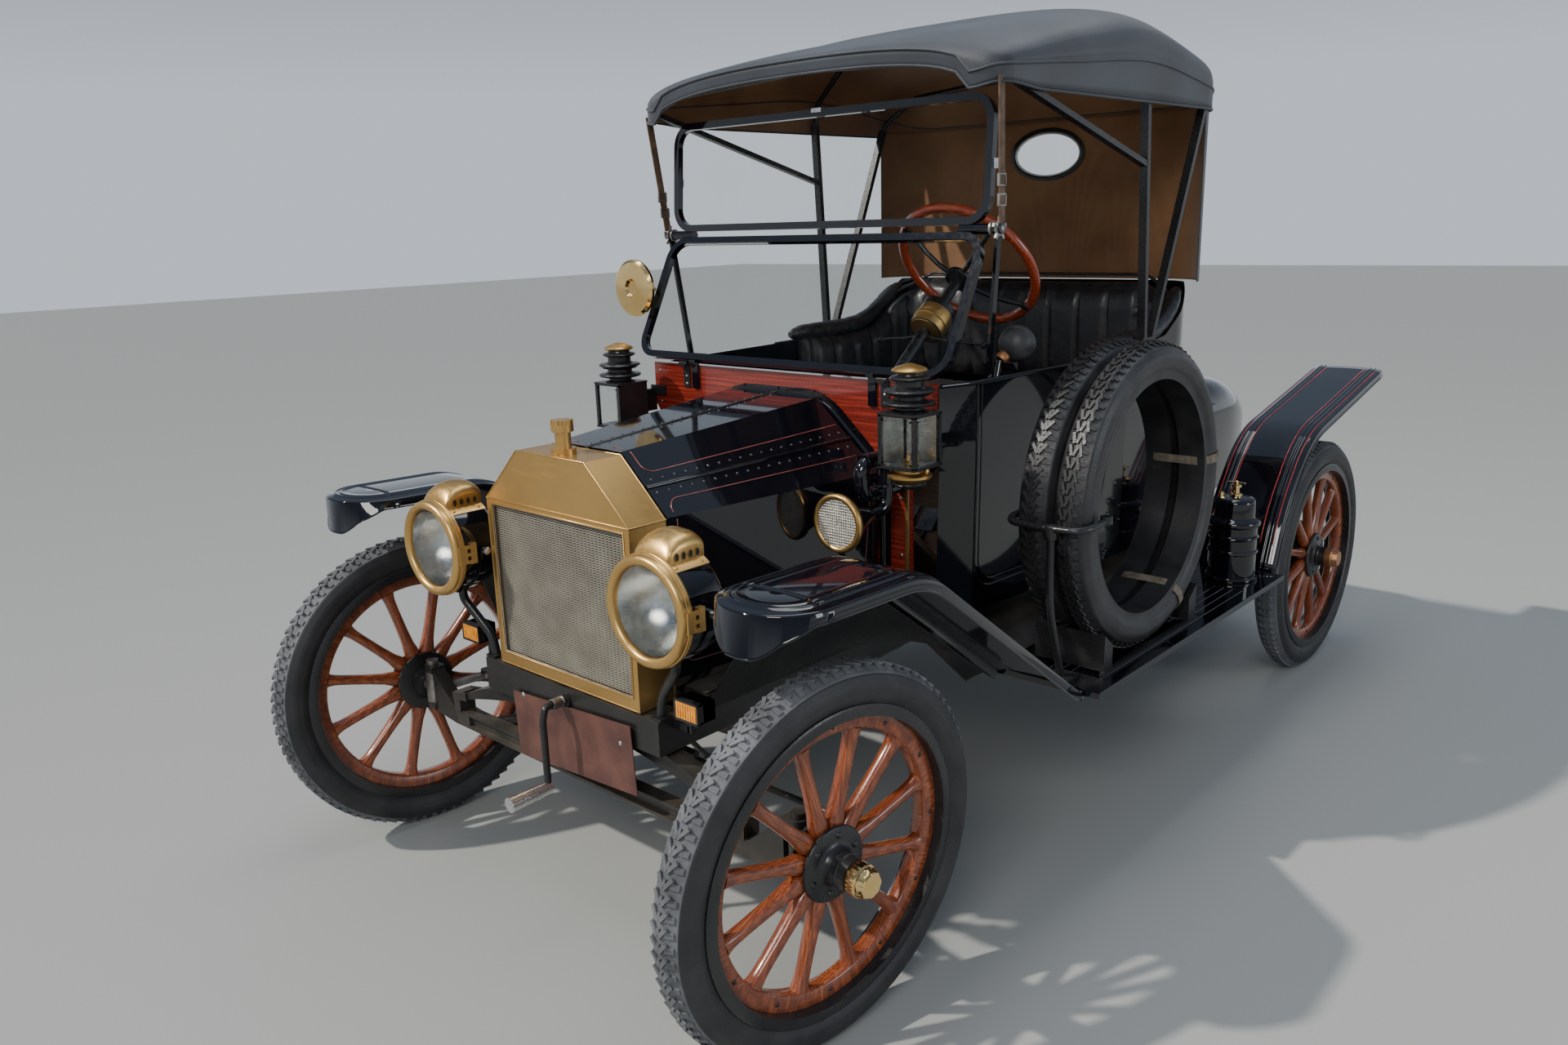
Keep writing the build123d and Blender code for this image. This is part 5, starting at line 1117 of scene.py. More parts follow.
def make_headlamp(label, side):
    place = on_lamp(side)
    made = {}
    drum = joined(turned(DRUM, 64), hugging_strip((0, -180), -60, -44, 105.5, 110, 24),
                  turned(((-66, 0.4), (-66, 9), (-38, 9), (-38, 0.4)), 16,
                         Matrix.Translation(Vector((0, 0, -0.112)))))
    made["drum"] = (drum, "black_enamel", "black_paint")
    made["rim"] = (turned(rim_profile(), 72), "lamp_brass", "gold_brass")
    made["bowl"] = (turned(BOWL, 48), "reflector_silver", "polished_brass")
    flanges = [hugging_strip((90 + s * 27, 90 + s * 38), -100, -8, 104.3, 106, 4) for s in (1, -1)]
    vents, vent_shade_ovals = [], []
    for s in (1, -1):
        for i in range(4):
            centre = (-78 + 17.5 * i, s * 50.0, 106.5)
            vents.append(oval_plate(centre, s, 4.6, 7.4, 1.0, 1.6))
            vent_shade_ovals.append(oval_plate(centre, s, 4.6, 7.4, 0.35))
    screws = []
    for s in (1, -1):
        for x in (-88, -22):
            turn = spin(radians(-s * 33), "X") @ Matrix.Translation(Vector((x / 1000, 0, 0.106)))
            screws.append(placed(dome(4.2, 2.6), turn @ spin(-pi / 2, "Y")))
    made["chimney"] = (joined(chimney_shell(), *flanges, *vents, *screws), "lamp_brass", "gold_brass")
    # painted shade: flat black ovals close the vent holes, standing for the dark inside of the chimney
    made["vents"] = (joined(*vent_shade_ovals), "satin_black", "black_paint")
    hinge = [block((-119, -117.5, -21), (-99, -112.5, 21))]
    hinge += [block((-101, -119.5, z - 4), (-88, -112, z + 4)) for z in (-17, 0, 17)]
    hinge.append(block((-90, -116, -24), (-74, -104, 24)))
    knob = turned(((-3, 0.4), (-3, 6), (0, 8), (4, 8), (8, 5), (9, 0.4)), 16,
                  Matrix.Translation(Vector((-0.108, 0.112, 0))) @ spin(pi / 2, "Z"))
    made["hinge"] = (joined(*hinge), "lamp_brass", "gold_brass")
    nuts = [knob]
    for s in (1, -1):
        nut = ((0, 0.4), (0, 7), (9, 6), (10, 9), (15, 9), (17, 5), (20, 4), (20, 0.4))
        turn = Matrix.Translation(Vector((-0.052, s * 0.110, 0))) @ spin(s * pi / 2, "Z")
        nuts.append(turned(nut, 16, turn))
        nuts.append(placed(block((11, -13, -1.6), (16, 13, 1.6)), turn))
    burner = [bar([Vector((-0.02, 0, -0.05)), Vector((-0.045, 0, -0.02)), Vector((-0.045, 0, 0.004))],
                  0.004, 10)]
    for s in (1, -1):
        burner.append(bar([Vector((-0.045, 0, 0.002)), Vector((-0.045, s * 0.014, 0.012)),
                           Vector((-0.045, s * 0.014, 0.026))], 0.0028, 8))
    made["burner"] = (joined(*burner, *nuts), "grip_aluminium", "grip_metal")
    frame_boss = [block((-34, -26, 20), (-29, 10, 58)), block((-37, -20, 26), (-33, 4, 52))]
    dots = row(dome(2.6, 2.2), 4, Vector((0, 0, 0)), Vector((0, 0.027, 0)), "reflector_silver")
    grid = row(dots, 4, Vector((-0.052, -0.03, -0.06)), Vector((-0.052, -0.036, -0.033)), "reflector_silver")
    flip = [Vector((-0.052 - (p.x + 0.052), p.y, p.z)) for p in grid[0]]
    made["bowl_details"] = (joined(joined(*frame_boss), (flip, grid[1])), "reflector_silver",
                            "polished_brass")
    for part, (shape, finish, slot) in made.items():
        made_piece = outward(piece("headlamp_" + part + "_" + label, *placed(shape, place), finish,
                                   "chassis", slot, 35))
        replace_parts(made_piece, "headlamp_rims" if part in ("rim", "hinge") else "headlamp_bodies")
    stem = rounded_path([spot(side * LAMP_X, -50, 726), spot(side * LAMP_X, -50, 694),
                         spot(side * 300, -28, 610), spot(side * 291, -26, 562)], 0.03)
    foot = slab((side * 291 - 17, -44, 560.5), (side * 291 + 17, -8, 566))
    fork = outward(piece("headlamp_fork_" + label, *joined(bar(stem, 0.0105, 14), foot), "satin_black",
                         "chassis", "black_paint", 40))
    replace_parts(fork, "headlamp_bodies")


for label, side in SIDES:
    make_headlamp(label, side)
print("headlamps made")

# %% [markdown]
# ## Fenders
# A stamped fender is a strip of sheet with a raised crown, a small bead pressed in beside the edge and a lip
# turned down to stiffen it. The section is drawn once and carried along the fender's line. The front fender
# ends in a rounded nose with a deeper apron, so there the half section is turned about the nose's middle.

# %% Fender sections and paths
FENDER_MID, FENDER_HALF = 686.5, 113.5
FENDER_SECTION = ((0.0, -2.2), (2.2, 0.4), (5.0, 1.4), (12, 3.0), (19, 4.6), (22, 7.4), (25, 8.6),
                  (28, 7.6), (31, 6.2), (34, 6.6), (36, 8.4), (38.5, 9.2), (41, 8.4), (43, 7.2), (60, 7.9),
                  (80, 8.4), (98, 8.6), (113.5, 8.7))
FRONT_LINE, FRONT_BENDS = ((-193, 919), (203, 908), (790, 481), (806, 480)), (240, 18)
REAR_LINE, REAR_BENDS = ((1955.4, 477.14), (2030, 655), (2200, 850), (2866, 982)), (500, 350)
NOSE_SKIRT = ((-202, 836), (-191, 838), (-168, 868), (-120, 894), (-83, 897), (19, 892))
NOSE_LENGTH, NOSE_MIDDLE = 106.0, -87.0
LIP = 22.0


def filleted(points, radii, steps=16):
    """A side-view line whose bends are true arcs: rows of (y, z)."""
    spots = [Vector((y, z, 0)) for y, z in points]
    line = [spots[0]]
    for before, here, after, radius in zip(spots, spots[1:], spots[2:], radii):
        into, out = (here - before).normalized(), (after - here).normalized()
        half = into.angle(out) / 2
        cut = radius * sin(half) / cos(half)
        inward = (out - into).normalized()
        centre = here + inward * (radius / cos(half))
        a, b = here - into * cut - centre, here + out * cut - centre
        for i in range(steps + 1):
            t = i / steps
            mixed = a.lerp(b, t)
            line.append(centre + mixed.normalized() * radius)
    return line + [spots[-1]]


def evenly(line, step):
    """The same line with a point every few millimetres."""
    made = [line[0]]
    for a, b in zip(line, line[1:]):
        count = max(1, int((b - a).length / step))
        made += [a.lerp(b, i / count) for i in range(1, count + 1)]
    return made


def front_height(y):
    """The front fender's line, which falls a little towards the rear."""
    return 919 - (y + 193) * 0.0278


def lip_depth(y):
    """How deep the turned-down edge is at a place along the front fender."""
    rows = NOSE_SKIRT
    if y >= rows[-1][0]:
        return LIP
    for (y0, z0), (y1, z1) in zip(rows, rows[1:]):
        if y <= y1:
            z = z0 + (z1 - z0) * max(0.0, (y - y0) / (y1 - y0))
            return max(LIP, front_height(y) - z)
    return LIP


def strip_columns():
    """Columns across the fender: sideways place, height above the line, and share of the lip."""
    half = [(FENDER_HALF - d, h, 0.0) for d, h in FENDER_SECTION]
    lips = [(FENDER_HALF - 1.0, -2, 1.0), (FENDER_HALF + 2.4, -1.2, 1.0), (FENDER_HALF + 3.2, 1.6, 1.0),
            (FENDER_HALF + 0.6, 3.2, 1.0)]
    outer = lips + half
    return outer + [(-u, h, s) for u, h, s in outer[::-1][1:]]


def fender_strip(line, depth_at):
    columns = strip_columns()
    points = []
    for i, here in enumerate(line):
        way = (line[min(i + 1, len(line) - 1)] - line[max(i - 1, 0)]).normalized()
        up = Vector((-way.y, way.x, 0))
        depth = depth_at(here.x)
        for u, h, share in columns:
            p = here + up * (h - share * depth)
            points.append(spot(FENDER_MID + u, p.x, p.y))
    return points, lofted(len(line), len(columns), False)


def fender_nose(steps=36):
    half = strip_columns()[:len(FENDER_SECTION) + 4]
    points = []
    for i in range(steps + 1):
        a = -pi / 2 + pi * i / steps
        for u, h, share in half:
            x, y = u * sin(a), NOSE_MIDDLE - u * NOSE_LENGTH / FENDER_HALF * cos(a)
            z = front_height(y) + h - share * lip_depth(y)
            points.append(spot(FENDER_MID + x, y, z))
    return points, lofted(steps + 1, len(half), False)


def mirror_x(shape):
    return [Vector((-p.x, p.y, p.z)) for p in shape[0]], [face[::-1] for face in shape[1]]


def solid_sheet(made, thick, two_sided=False):
    """Gives a single sheet its thickness, inwards."""
    shell = made.modifiers.new("thickness", "SOLIDIFY")
    shell.thickness, shell.offset = thick / 1000, -1
    if two_sided:
        shell.material_offset = 1
    return made


def face_up(made):
    """Merges doubles and makes the sheet's upper side its outer one."""
    work = bmesh.new()
    work.from_mesh(made.data)
    bmesh.ops.remove_doubles(work, verts=work.verts, dist=2e-4)
    bmesh.ops.recalc_face_normals(work, faces=work.faces)
    top = max(work.faces, key=lambda f: f.calc_center_median().z)
    if top.normal.z < 0:
        bmesh.ops.reverse_faces(work, faces=work.faces)
    work.to_mesh(made.data)
    work.free()
    return made


front_path = [p for p in evenly(filleted(FRONT_LINE, FRONT_BENDS), 24) if p.x > NOSE_MIDDLE + 2]
front_path.insert(0, Vector((NOSE_MIDDLE, front_height(NOSE_MIDDLE), 0)))
rear_path = evenly(filleted(REAR_LINE, REAR_BENDS), 24)
front_strip = fender_strip(front_path, lip_depth)
rear_strip = fender_strip(rear_path, lambda y: LIP)
for label, side in SIDES:
    shape, rear_shape = joined(front_strip, fender_nose()), rear_strip
    if side < 0:
        shape, rear_shape = mirror_x(shape), mirror_x(rear_shape)
    made = face_up(piece("front_fender_" + label, *shape, "black_enamel", "chassis", "black_paint", 50))
    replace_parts(solid_sheet(made, 1.6), "front_fenders")
    made = face_up(piece("rear_fender_" + label, *rear_shape, "black_enamel", "chassis", "black_paint", 50))
    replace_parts(solid_sheet(made, 1.6), "rear_fenders")
print("fender columns:", len(strip_columns()), "rows:", len(front_path), len(rear_path))

# %% Painted lines on the rear fenders
def painted_line(line, u, height, wide):
    points = []
    for i, here in enumerate(line):
        way = (line[min(i + 1, len(line) - 1)] - line[max(i - 1, 0)]).normalized()
        up = Vector((-way.y, way.x, 0))
        p = here + up * height
        points += [spot(FENDER_MID + u - wide / 2, p.x, p.y), spot(FENDER_MID + u + wide / 2, p.x, p.y)]
    faces = [(2 * i, 2 * i + 1, 2 * i + 3, 2 * i + 2) for i in range(len(line) - 1)]
    return points, faces


for label, side in SIDES:
    lines = [painted_line(rear_path[3:-1], s * 62, 8.35, 3.0) for s in (1, -1)]
    lines += [painted_line(rear_path[3:-1], s * 98, 4.6, 3.0) for s in (1, -1)]
    shape = joined(*lines)
    if side < 0:
        shape = mirror_x(shape)
    made = face_up(piece("rear_fender_lines_" + label, *shape, "pinstripe_red", "chassis", "black_paint", 60))
    solid_sheet(made, -0.5)
print("painted lines:", 8)

# %% [markdown]
# ## Hood rivets and lines
# The hood is four panels on piano hinges. The hinge leaves are riveted on, so a row of small round heads
# runs along each side of every hinge, and a thin painted line follows each panel a little inside its edge.
# The rows come from the same tree as the fins. Each row rides on its own panel and opens with it.

# %% Rivets and painted lines on the hood
HOOD_FRONT_END, HOOD_REAR_END = (63, 1082, 109, 243, 958), (645, 1124, 150, 335, 962)


def hood_spot(share, across, lift=0.0, side=1):
    """A place on the hood's slope: share along it, across from the bend (0) to the shoulder (1)."""
    y, top, flat, half, shoulder = (a + (b - a) * share for a, b in zip(HOOD_FRONT_END, HOOD_REAR_END))
    slope = Vector((half - flat, 0, shoulder - top))
    out = Vector((-slope.z, 0, slope.x)).normalized()
    p = Vector((flat, y, top)) + slope * across + out * lift
    return spot(side * p.x, p.y, p.z)


def hood_top_spot(share, x, lift=0.0, side=1):
    y, top = (a + (b - a) * share for a, b in zip(HOOD_FRONT_END[:2], HOOD_REAR_END[:2]))
    return spot(side * x, y, top + lift)


def hood_side_spot(share, down, lift=0.0, side=1):
    y, _, _, half, shoulder = (a + (b - a) * share for a, b in zip(HOOD_FRONT_END, HOOD_REAR_END))
    return spot(side * (half + lift), y, shoulder - down)


def rivet(side, tilt):
    turn = spin(-pi / 2 + side * tilt, "Y")
    return placed(dome(3.6, 2.0), turn)


def thin_line(places, body, name):
    piece(name, *bar(rounded_path(places, 0.01, 4), 0.0011, 6), "hood_stripe", body, "black_paint", 60)


RIVETS = 19
for label, side in SIDES:
    slope_tilt = radians(40)
    upper = row(rivet(side, slope_tilt), RIVETS, hood_spot(0.04, 0.46, 0.0, side),
                hood_spot(0.97, 0.46, 0.0, side), "rivet_black")
    lower = row(rivet(side, slope_tilt), RIVETS, hood_spot(0.03, 0.64, 0.0, side),
                hood_spot(0.96, 0.64, 0.0, side), "rivet_black")
    centre = row(rivet(side, 0), RIVETS, hood_top_spot(0.03, 15, 0, side), hood_top_spot(0.97, 15, 0, side),
                 "rivet_black")
    piece("hood_rivets_top_" + label, *joined(upper, centre), "rivet_black", "hood_top_" + label,
          "black_paint", 40)
    piece("hood_rivets_side_" + label, *lower, "rivet_black", "hood_side_" + label, "black_paint", 40)
    top_line = [hood_spot(0.985, 0.36, 0.6, side), hood_spot(0.06, 0.36, 0.6, side),
                hood_spot(0.035, 0.28, 0.6, side), hood_spot(0.035, 0.02, 0.8, side),
                hood_top_spot(0.035, 60, 0.6, side)]
    thin_line(top_line, "hood_top_" + label, "hood_line_top_" + label)
    side_line = [hood_spot(0.965, 0.76, 0.6, side), hood_spot(0.07, 0.76, 0.6, side),
                 hood_spot(0.04, 0.86, 0.6, side), hood_side_spot(0.04, 4, 0.8, side),
                 hood_side_spot(0.04, 300, 0.6, side), hood_side_spot(0.07, 322, 0.6, side),
                 hood_side_spot(0.88, 322, 0.6, side), hood_side_spot(0.91, 300, 0.6, side),
                 hood_side_spot(0.955, 60, 0.6, side)]
    thin_line(side_line, "hood_side_" + label, "hood_line_side_" + label)
print("rivets:", 6 * RIVETS)

# %% [markdown]
# ## The folding top
# The top is leathercloth pulled tight over three bows. Its height is one formula: an edge line and a crown
# line along the car, a broad rounded section across, and a drop at the rear. The grid runs out from the
# middle to an outline with rounded corners, and the skirt hangs from that, so it's one unbroken sheet.

# %% Roof cloth
TOP_HALF, ROOF_FRONT, ROOF_REAR, SKIRT_Z = 575.0, 757.0, 1975.0, 1806.0
REAR_CORNER, FRONT_CORNER = 150.0, 70.0
TOP_ROWS = ((757, 1845, 1921), (1100, 1874, 2004), (1485, 1900, 2061), (1860, 1858, 1982), (1975, 1828, 1912))


def along_top(y):
    """Height of the edge and of the crown at a place along the car, on a smooth line."""
    rows = TOP_ROWS
    for i in range(len(rows) - 1):
        if y <= rows[i + 1][0] or i == len(rows) - 2:
            before, a, b, after = rows[max(i - 1, 0)], rows[i], rows[i + 1], rows[min(i + 2, len(rows) - 1)]
            t = (y - a[0]) / (b[0] - a[0])
            span, out = b[0] - a[0], []
            for k in (1, 2):
                m0 = (b[k] - before[k]) / (b[0] - before[0]) * span
                m1 = (after[k] - a[k]) / (after[0] - a[0]) * span
                h = (2 * t ** 3 - 3 * t ** 2 + 1) * a[k] + (t ** 3 - 2 * t ** 2 + t) * m0
                out.append(h + (-2 * t ** 3 + 3 * t ** 2) * b[k] + (t ** 3 - t ** 2) * m1)
            return out


def half_width(y):
    for corner, gap in ((REAR_CORNER, ROOF_REAR - y), (FRONT_CORNER, y - ROOF_FRONT)):
        if gap < corner:
            return TOP_HALF - corner + max(0.0, corner ** 2 - (corner - gap) ** 2) ** 0.5
    return TOP_HALF


def roof_height(x, y):
    edge, crown = along_top(y)
    q = min(1.0, abs(x) / half_width(y))
    power = 2.5 + 0.8 * min(1.0, max(0.0, (y - ROOF_FRONT) / 350))
    across = (1 - q ** power) ** (1 / power)
    fall = min(1.0, (ROOF_REAR - y) / 120)
    end = (1 - (1 - fall) ** 2.4) ** (1 / 2.4)
    front_drop = 9 * max(0.0, 1 - (y - ROOF_FRONT) / 28) ** 2
    sag = 0.0
    for a, b in ((800, 1485), (1485, 1838)):
        if a < y < b:
            sag = 7.0 * sin(pi * (y - a) / (b - a)) ** 2 * (1 - q ** 4)
    return edge + (crown - edge) * across * end - front_drop - sag


def roof_outline():
    """Places round the roof in plan, in order, with rounded corners."""
    path = []
    for side, rear in ((1, False), (1, True), (-1, True), (-1, False)):
        corner = REAR_CORNER if rear else FRONT_CORNER
        cx = side * (TOP_HALF - corner)
        cy = (ROOF_REAR - corner) if rear else (ROOF_FRONT + corner)
        start = {(1, False): -90, (1, True): 0, (-1, True): 90, (-1, False): 180}[(side, rear)]
        for i in range(13):
            a = radians(start + 90 * i / 12)
            path.append(Vector((cx + corner * cos(a), cy + corner * sin(a), 0)))
    path.append(path[0])
    return evenly(path, 34)[:-1]


def make_roof():
    outline = roof_outline()
    middle = Vector((0, 1380, 0))
    shares = [i / 26 for i in range(1, 24)] + [0.91, 0.935, 0.955, 0.972, 0.985, 0.993, 0.998, 1.0]
    points = []
    for p in outline:
        for t in shares:
            q = middle.lerp(p, t)
            points.append(spot(q.x, q.y, roof_height(q.x, q.y)))
        top = roof_height(p.x, p.y)
        near = max(0.0, 1 - (p.y - ROOF_FRONT) / 190)
        front = near * near * (3 - 2 * near)
        low = SKIRT_Z + (top - 32 - SKIRT_Z) * front
        for share in (0.35, 0.7, 1.0):
            points.append(spot(p.x, p.y, top + (min(low, top - 24) - top) * share))
    rows, count = len(shares) + 3, len(outline)
    faces = hoops(count, rows, False)
    points.append(spot(0, middle.y, roof_height(0, middle.y)))
    faces += [(count * rows, ((i + 1) % count) * rows, i * rows) for i in range(count)]
    low, high = ([points[i * rows + rows - k] for i in range(count)] for k in (1, 4))
    return points, faces, low, high


roof_points, roof_faces, hem_path, edge_path = make_roof()
roof = face_up(piece("top_cover", roof_points, roof_faces, ["top_outside", "top_lining"], "chassis",
                     "top_cloth", 50))
solid_sheet(roof, 2.6, True)
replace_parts(roof, "top_canopy")
hem = piece("top_hem", *bar(hem_path + hem_path[:1], 0.0034, 8, ends=False), "top_outside", "chassis",
            "top_cloth", 60)
welt = piece("top_welt", *bar([p + Vector((0, 0, 0.002)) for p in edge_path + edge_path[:1]], 0.0036, 8,
                              ends=False), "top_outside", "chassis", "top_cloth", 60)

# %% [markdown]
# ## The rear curtain
# The curtain is the same cloth, hung inside the skirt and round the rear corners, with an oval light cut in
# it. The light has a black surround and a bevelled glass edge, whose glint is painted in as a pale grey.

# %% Rear curtain and its oval light
CURTAIN_IN, CURTAIN_LOW, CURTAIN_HIGH, CURTAIN_START = 5.0, 1337.0, 1822.0, 1838.0
LIGHT_Z, LIGHT_WIDE, LIGHT_HIGH = 1720.0, 118.0, 68.0


def curtain_line():
    half, rear, corner = TOP_HALF - CURTAIN_IN, ROOF_REAR - CURTAIN_IN, REAR_CORNER - CURTAIN_IN
    path = [Vector((half, CURTAIN_START, 0))]
    for cx, start in ((half - corner, 0), (-half + corner, 90)):
        for i in range(13):
            a = radians(start + 90 * i / 12)
            p = Vector((cx + corner * cos(a), rear - corner + corner * sin(a), 0))
            if p.y >= CURTAIN_START:
                path.append(p)
    path.append(Vector((-half, CURTAIN_START, 0)))
    return evenly(path, 9)


def make_curtain():
    line = curtain_line()
    rows = 54
    points, faces = [], []
    for i, p in enumerate(line):
        way = (line[min(i + 1, len(line) - 1)] - line[max(i - 1, 0)]).normalized()
        out = Vector((way.y, -way.x, 0))
        for k in range(rows + 1):
            t = k / rows
            z = CURTAIN_LOW + (CURTAIN_HIGH - CURTAIN_LOW) * t
            fold = 2.6 * sin(i * 0.21 + 0.6) * (1 - t) + 1.4 * sin(i * 0.09 + 2 * t)
            q = p - out * (fold * 0.6 + 1.6)
            points.append(spot(q.x, q.y, min(z, roof_height(q.x, q.y) - 4)))
    for face in lofted(len(line), rows + 1, False):
        centre = sum((points[n] for n in face), Vector()) / 4
        far = (centre.x * 1000 / LIGHT_WIDE) ** 2 + ((centre.z * 1000 - LIGHT_Z) / LIGHT_HIGH) ** 2
        if far > 1.06 or centre.y < spot(0, 1930, 0).y:
            faces.append(face)
    return points, faces


def oval_ring(wide, high, grow, y0, y1, steps=56):
    """A flat band round the oval light, between two depths."""
    points = []
    for k in range(steps):
        a = 2 * pi * k / steps
        for more, y in ((0, y0), (grow * 0.3, y0 - 2), (grow, y0), (grow, y1), (0, y1)):
            points.append(spot((wide + more) * cos(a), y, LIGHT_Z + (high + more) * sin(a)))
    return points, hoops(steps, 5)


curtain = piece("top_curtain", *make_curtain(), ["top_outside", "top_lining"], "chassis", "top_cloth", 50)
work = bmesh.new()
work.from_mesh(curtain.data)
bmesh.ops.recalc_face_normals(work, faces=work.faces)
rear_face = max(work.faces, key=lambda f: f.calc_center_median().y)
if rear_face.normal.y < 0:
    bmesh.ops.reverse_faces(work, faces=work.faces)
work.to_mesh(curtain.data)
work.free()
solid_sheet(curtain, 2.2, True)
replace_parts(curtain, "top_canopy")
surround = outward(piece("rear_light_surround", *oval_ring(117, 67, 14, 1962, 1974.5), "satin_black",
                         "chassis", "black_paint", 30))
# painted reflection: the bevel is opaque pale grey for the glint of its glass
bevel = outward(piece("rear_light_bevel", *oval_ring(112, 62, 5.5, 1963.5, 1971), "light_bevel", "chassis",
                      "clear_glass", 30))

# %% [markdown]
# ## Padded seat
# The cushion and the back are leather over horsehair. Each starts as a plain closed form a little smaller
# than the finished pad, is made an even mesh, and is blown up gently as cloth under pressure, so that it
# swells between its edges and wrinkles at the corners. The sewn channels are pressed in afterwards.

# %% Blowing up a pad
def blown_up(shape, voxel, cap, pressure=4.0, frames=20):
    """Remeshes a closed form and swells it as cloth. No point moves farther than cap, in metres."""
    mesh = bpy.data.meshes.new("pad")
    mesh.from_pydata([tuple(p) for p in shape[0]], [], shape[1])
    holder = bpy.data.objects.new("pad", mesh)
    bpy.context.scene.collection.objects.link(holder)
    even = holder.modifiers.new("even", "REMESH")
    even.mode, even.voxel_size = "VOXEL", voxel
    bpy.context.view_layer.update()
    ready = bpy.data.meshes.new_from_object(holder.evaluated_get(bpy.context.evaluated_depsgraph_get()))
    holder.modifiers.remove(even)
    holder.data = ready
    start = [v.co.copy() for v in ready.vertices]
    faces = [tuple(p.vertices) for p in ready.polygons]
    points = start
    cloth = holder.modifiers.new("cloth", "CLOTH")
    cloth.settings.use_pressure = True
    cloth.settings.uniform_pressure_force = pressure
    cloth.settings.effector_weights.gravity = 0.0
    cloth.settings.quality = 4
    cloth.collision_settings.use_collision = False
    cloth.point_cache.frame_end = frames
    for number in range(1, frames + 1):
        bpy.context.scene.frame_set(number)
    done = bpy.data.meshes.new_from_object(holder.evaluated_get(bpy.context.evaluated_depsgraph_get()))
    points = []
    for old, new in zip(start, done.vertices):
        step = new.co - old
        points.append(old + step * min(1.0, cap / max(step.length, 1e-9)))
    bpy.data.meshes.remove(done)
    bpy.context.scene.frame_set(1)
    bpy.data.objects.remove(holder)
    return points, faces


def pressed(points, along, spacing, deep, wide, where):
    """Presses sewn channels into a pad: along gives each point's place across the channels, in mm."""
    made = []
    for p in points:
        direction = where(p)
        if direction is None:
            made.append(p)
            continue
        gap = along(p) / spacing
        near = abs(gap - round(gap)) * spacing
        made.append(p - direction * (deep / 1000 * 2.718 ** (-(near / wide) ** 2)))
    return made


def soft_block(low, high, round_by, crown):
    """A block with rounded upright edges and a crowned top, in mm."""
    (x0, y0, z0), (x1, y1, z1) = low, high
    cx, cy, hx, hy = (x0 + x1) / 2, (y0 + y1) / 2, (x1 - x0) / 2, (y1 - y0) / 2
    ring = []
    for sx, sy, start in ((1, -1, -90), (1, 1, 0), (-1, 1, 90), (-1, -1, 180)):
        for i in range(6):
            a = radians(start + 18 * i)
            ring.append((cx + sx * (hx - round_by) + round_by * cos(a),
                         cy + sy * (hy - round_by) + round_by * sin(a)))
    points = []
    levels = ((0, 0.94), (0.15, 1.0), (0.75, 1.0), (0.93, 0.975), (1.0, 0.93))
    for share, size in levels:
        points += [spot(cx + (x - cx) * size, cy + (y - cy) * (1 - (1 - size) * 2), z0 + (z1 - z0) * share)
                   for x, y in ring]
    n = len(ring)
    faces = lofted(len(levels), n)
    points += [spot(cx, cy, z0), spot(cx, cy, z1 + crown)]
    faces += [(len(points) - 2, (i + 1) % n, i) for i in range(n)]
    last = (len(levels) - 1) * n
    faces += [(len(points) - 1, last + i, last + (i + 1) % n) for i in range(n)]
    return points, faces


# %% Seat cushion
cushion_shape = soft_block((-455, 1346, 909), (455, 1786, 1000), 42, 10)
points, faces = blown_up(cushion_shape, 0.0085, 0.020)


def cushion_up(p):
    return Vector((0, 0, 1)) if p.z > 0.965 else None


points = pressed(points, lambda p: p.x * 1000 + 57, 114, 13, 8, cushion_up)
floor_z = spot(0, 0, 905.6).z
points = [Vector((p.x, p.y, max(p.z, floor_z))) for p in points]
cushion = piece("seat_cushion_leather", points, faces, "seat_hide", "chassis", "seat_leather", 60)
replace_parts(cushion, "seat_cushion")
print("cushion points:", len(points))

# %% Seat back and arms in one pad
BACK_X, BACK_Y, BACK_ROUND, BACK_ARC, BACK_REAR = 388, 1778, 112, 176, 1890
BACK_PATH = ((1322, 500, 1188, 42), (1420, 501, 1190, 44), (1560, 502, 1192, 46), (1690, 502, 1208, 50),
             (1770, 500, 1262, 58))


def back_rows():
    """Stations round the seat: middle of the pad in plan, sideways direction, top height and thickness."""
    rows = [(Vector((x, y, 0)), Vector((1, 0, 0)), top, thick) for y, x, top, thick in BACK_PATH]
    for i in range(1, 8):
        a = radians(90 * i / 8)
        out = Vector((cos(a), sin(a), 0))
        rows.append((Vector((BACK_X, BACK_Y, 0)) + Vector((BACK_ROUND * cos(a), BACK_ROUND * sin(a), 0)),
                     out, 1270 + 80 * i / 8, 60 + 30 * i / 8))
    rows += [(Vector((x, BACK_REAR, 0)), Vector((0, 1, 0)), 1353, 92) for x in (BACK_X, 300, 200, 100, 0)]
    return rows


def back_pad():
    half = back_rows()
    other = []
    for p, o, top, thick in half[::-1][1:]:
        other.append((Vector((-p.x, p.y, 0)), Vector((-o.x, o.y, 0)), top, thick))
    points = []
    for middle, out, top, thick in half + other:
        low = 1006
        section = [(-0.5, 0.0), (-0.56, 0.35), (-0.52, 0.75), (-0.42, 0.92), (-0.2, 0.99), (0.1, 1.0),
                   (0.36, 0.96), (0.44, 0.88), (0.44, 0.5), (0.44, 0.0)]
        for across, up in section:
            q = middle + out * (across * thick)
            points.append(spot(q.x, q.y, low + (top - 8 - low) * up))
    n, count = 10, len(half) * 2 - 1
    return points, lofted(count, n) + ends_of(count, n)


def round_seat(p):
    """How far round the seat a point is, in mm from the middle of the back."""
    x, y = p.x * 1000, (p.y - AXLE_Y) * 1000
    side = 1 if x > 0 else -1
    if abs(x) <= BACK_X:
        return x
    if y >= BACK_Y:
        return side * (BACK_X + BACK_ROUND * atan2(abs(x) - BACK_X, y - BACK_Y))
    return side * (BACK_X + BACK_ARC + BACK_Y - y)


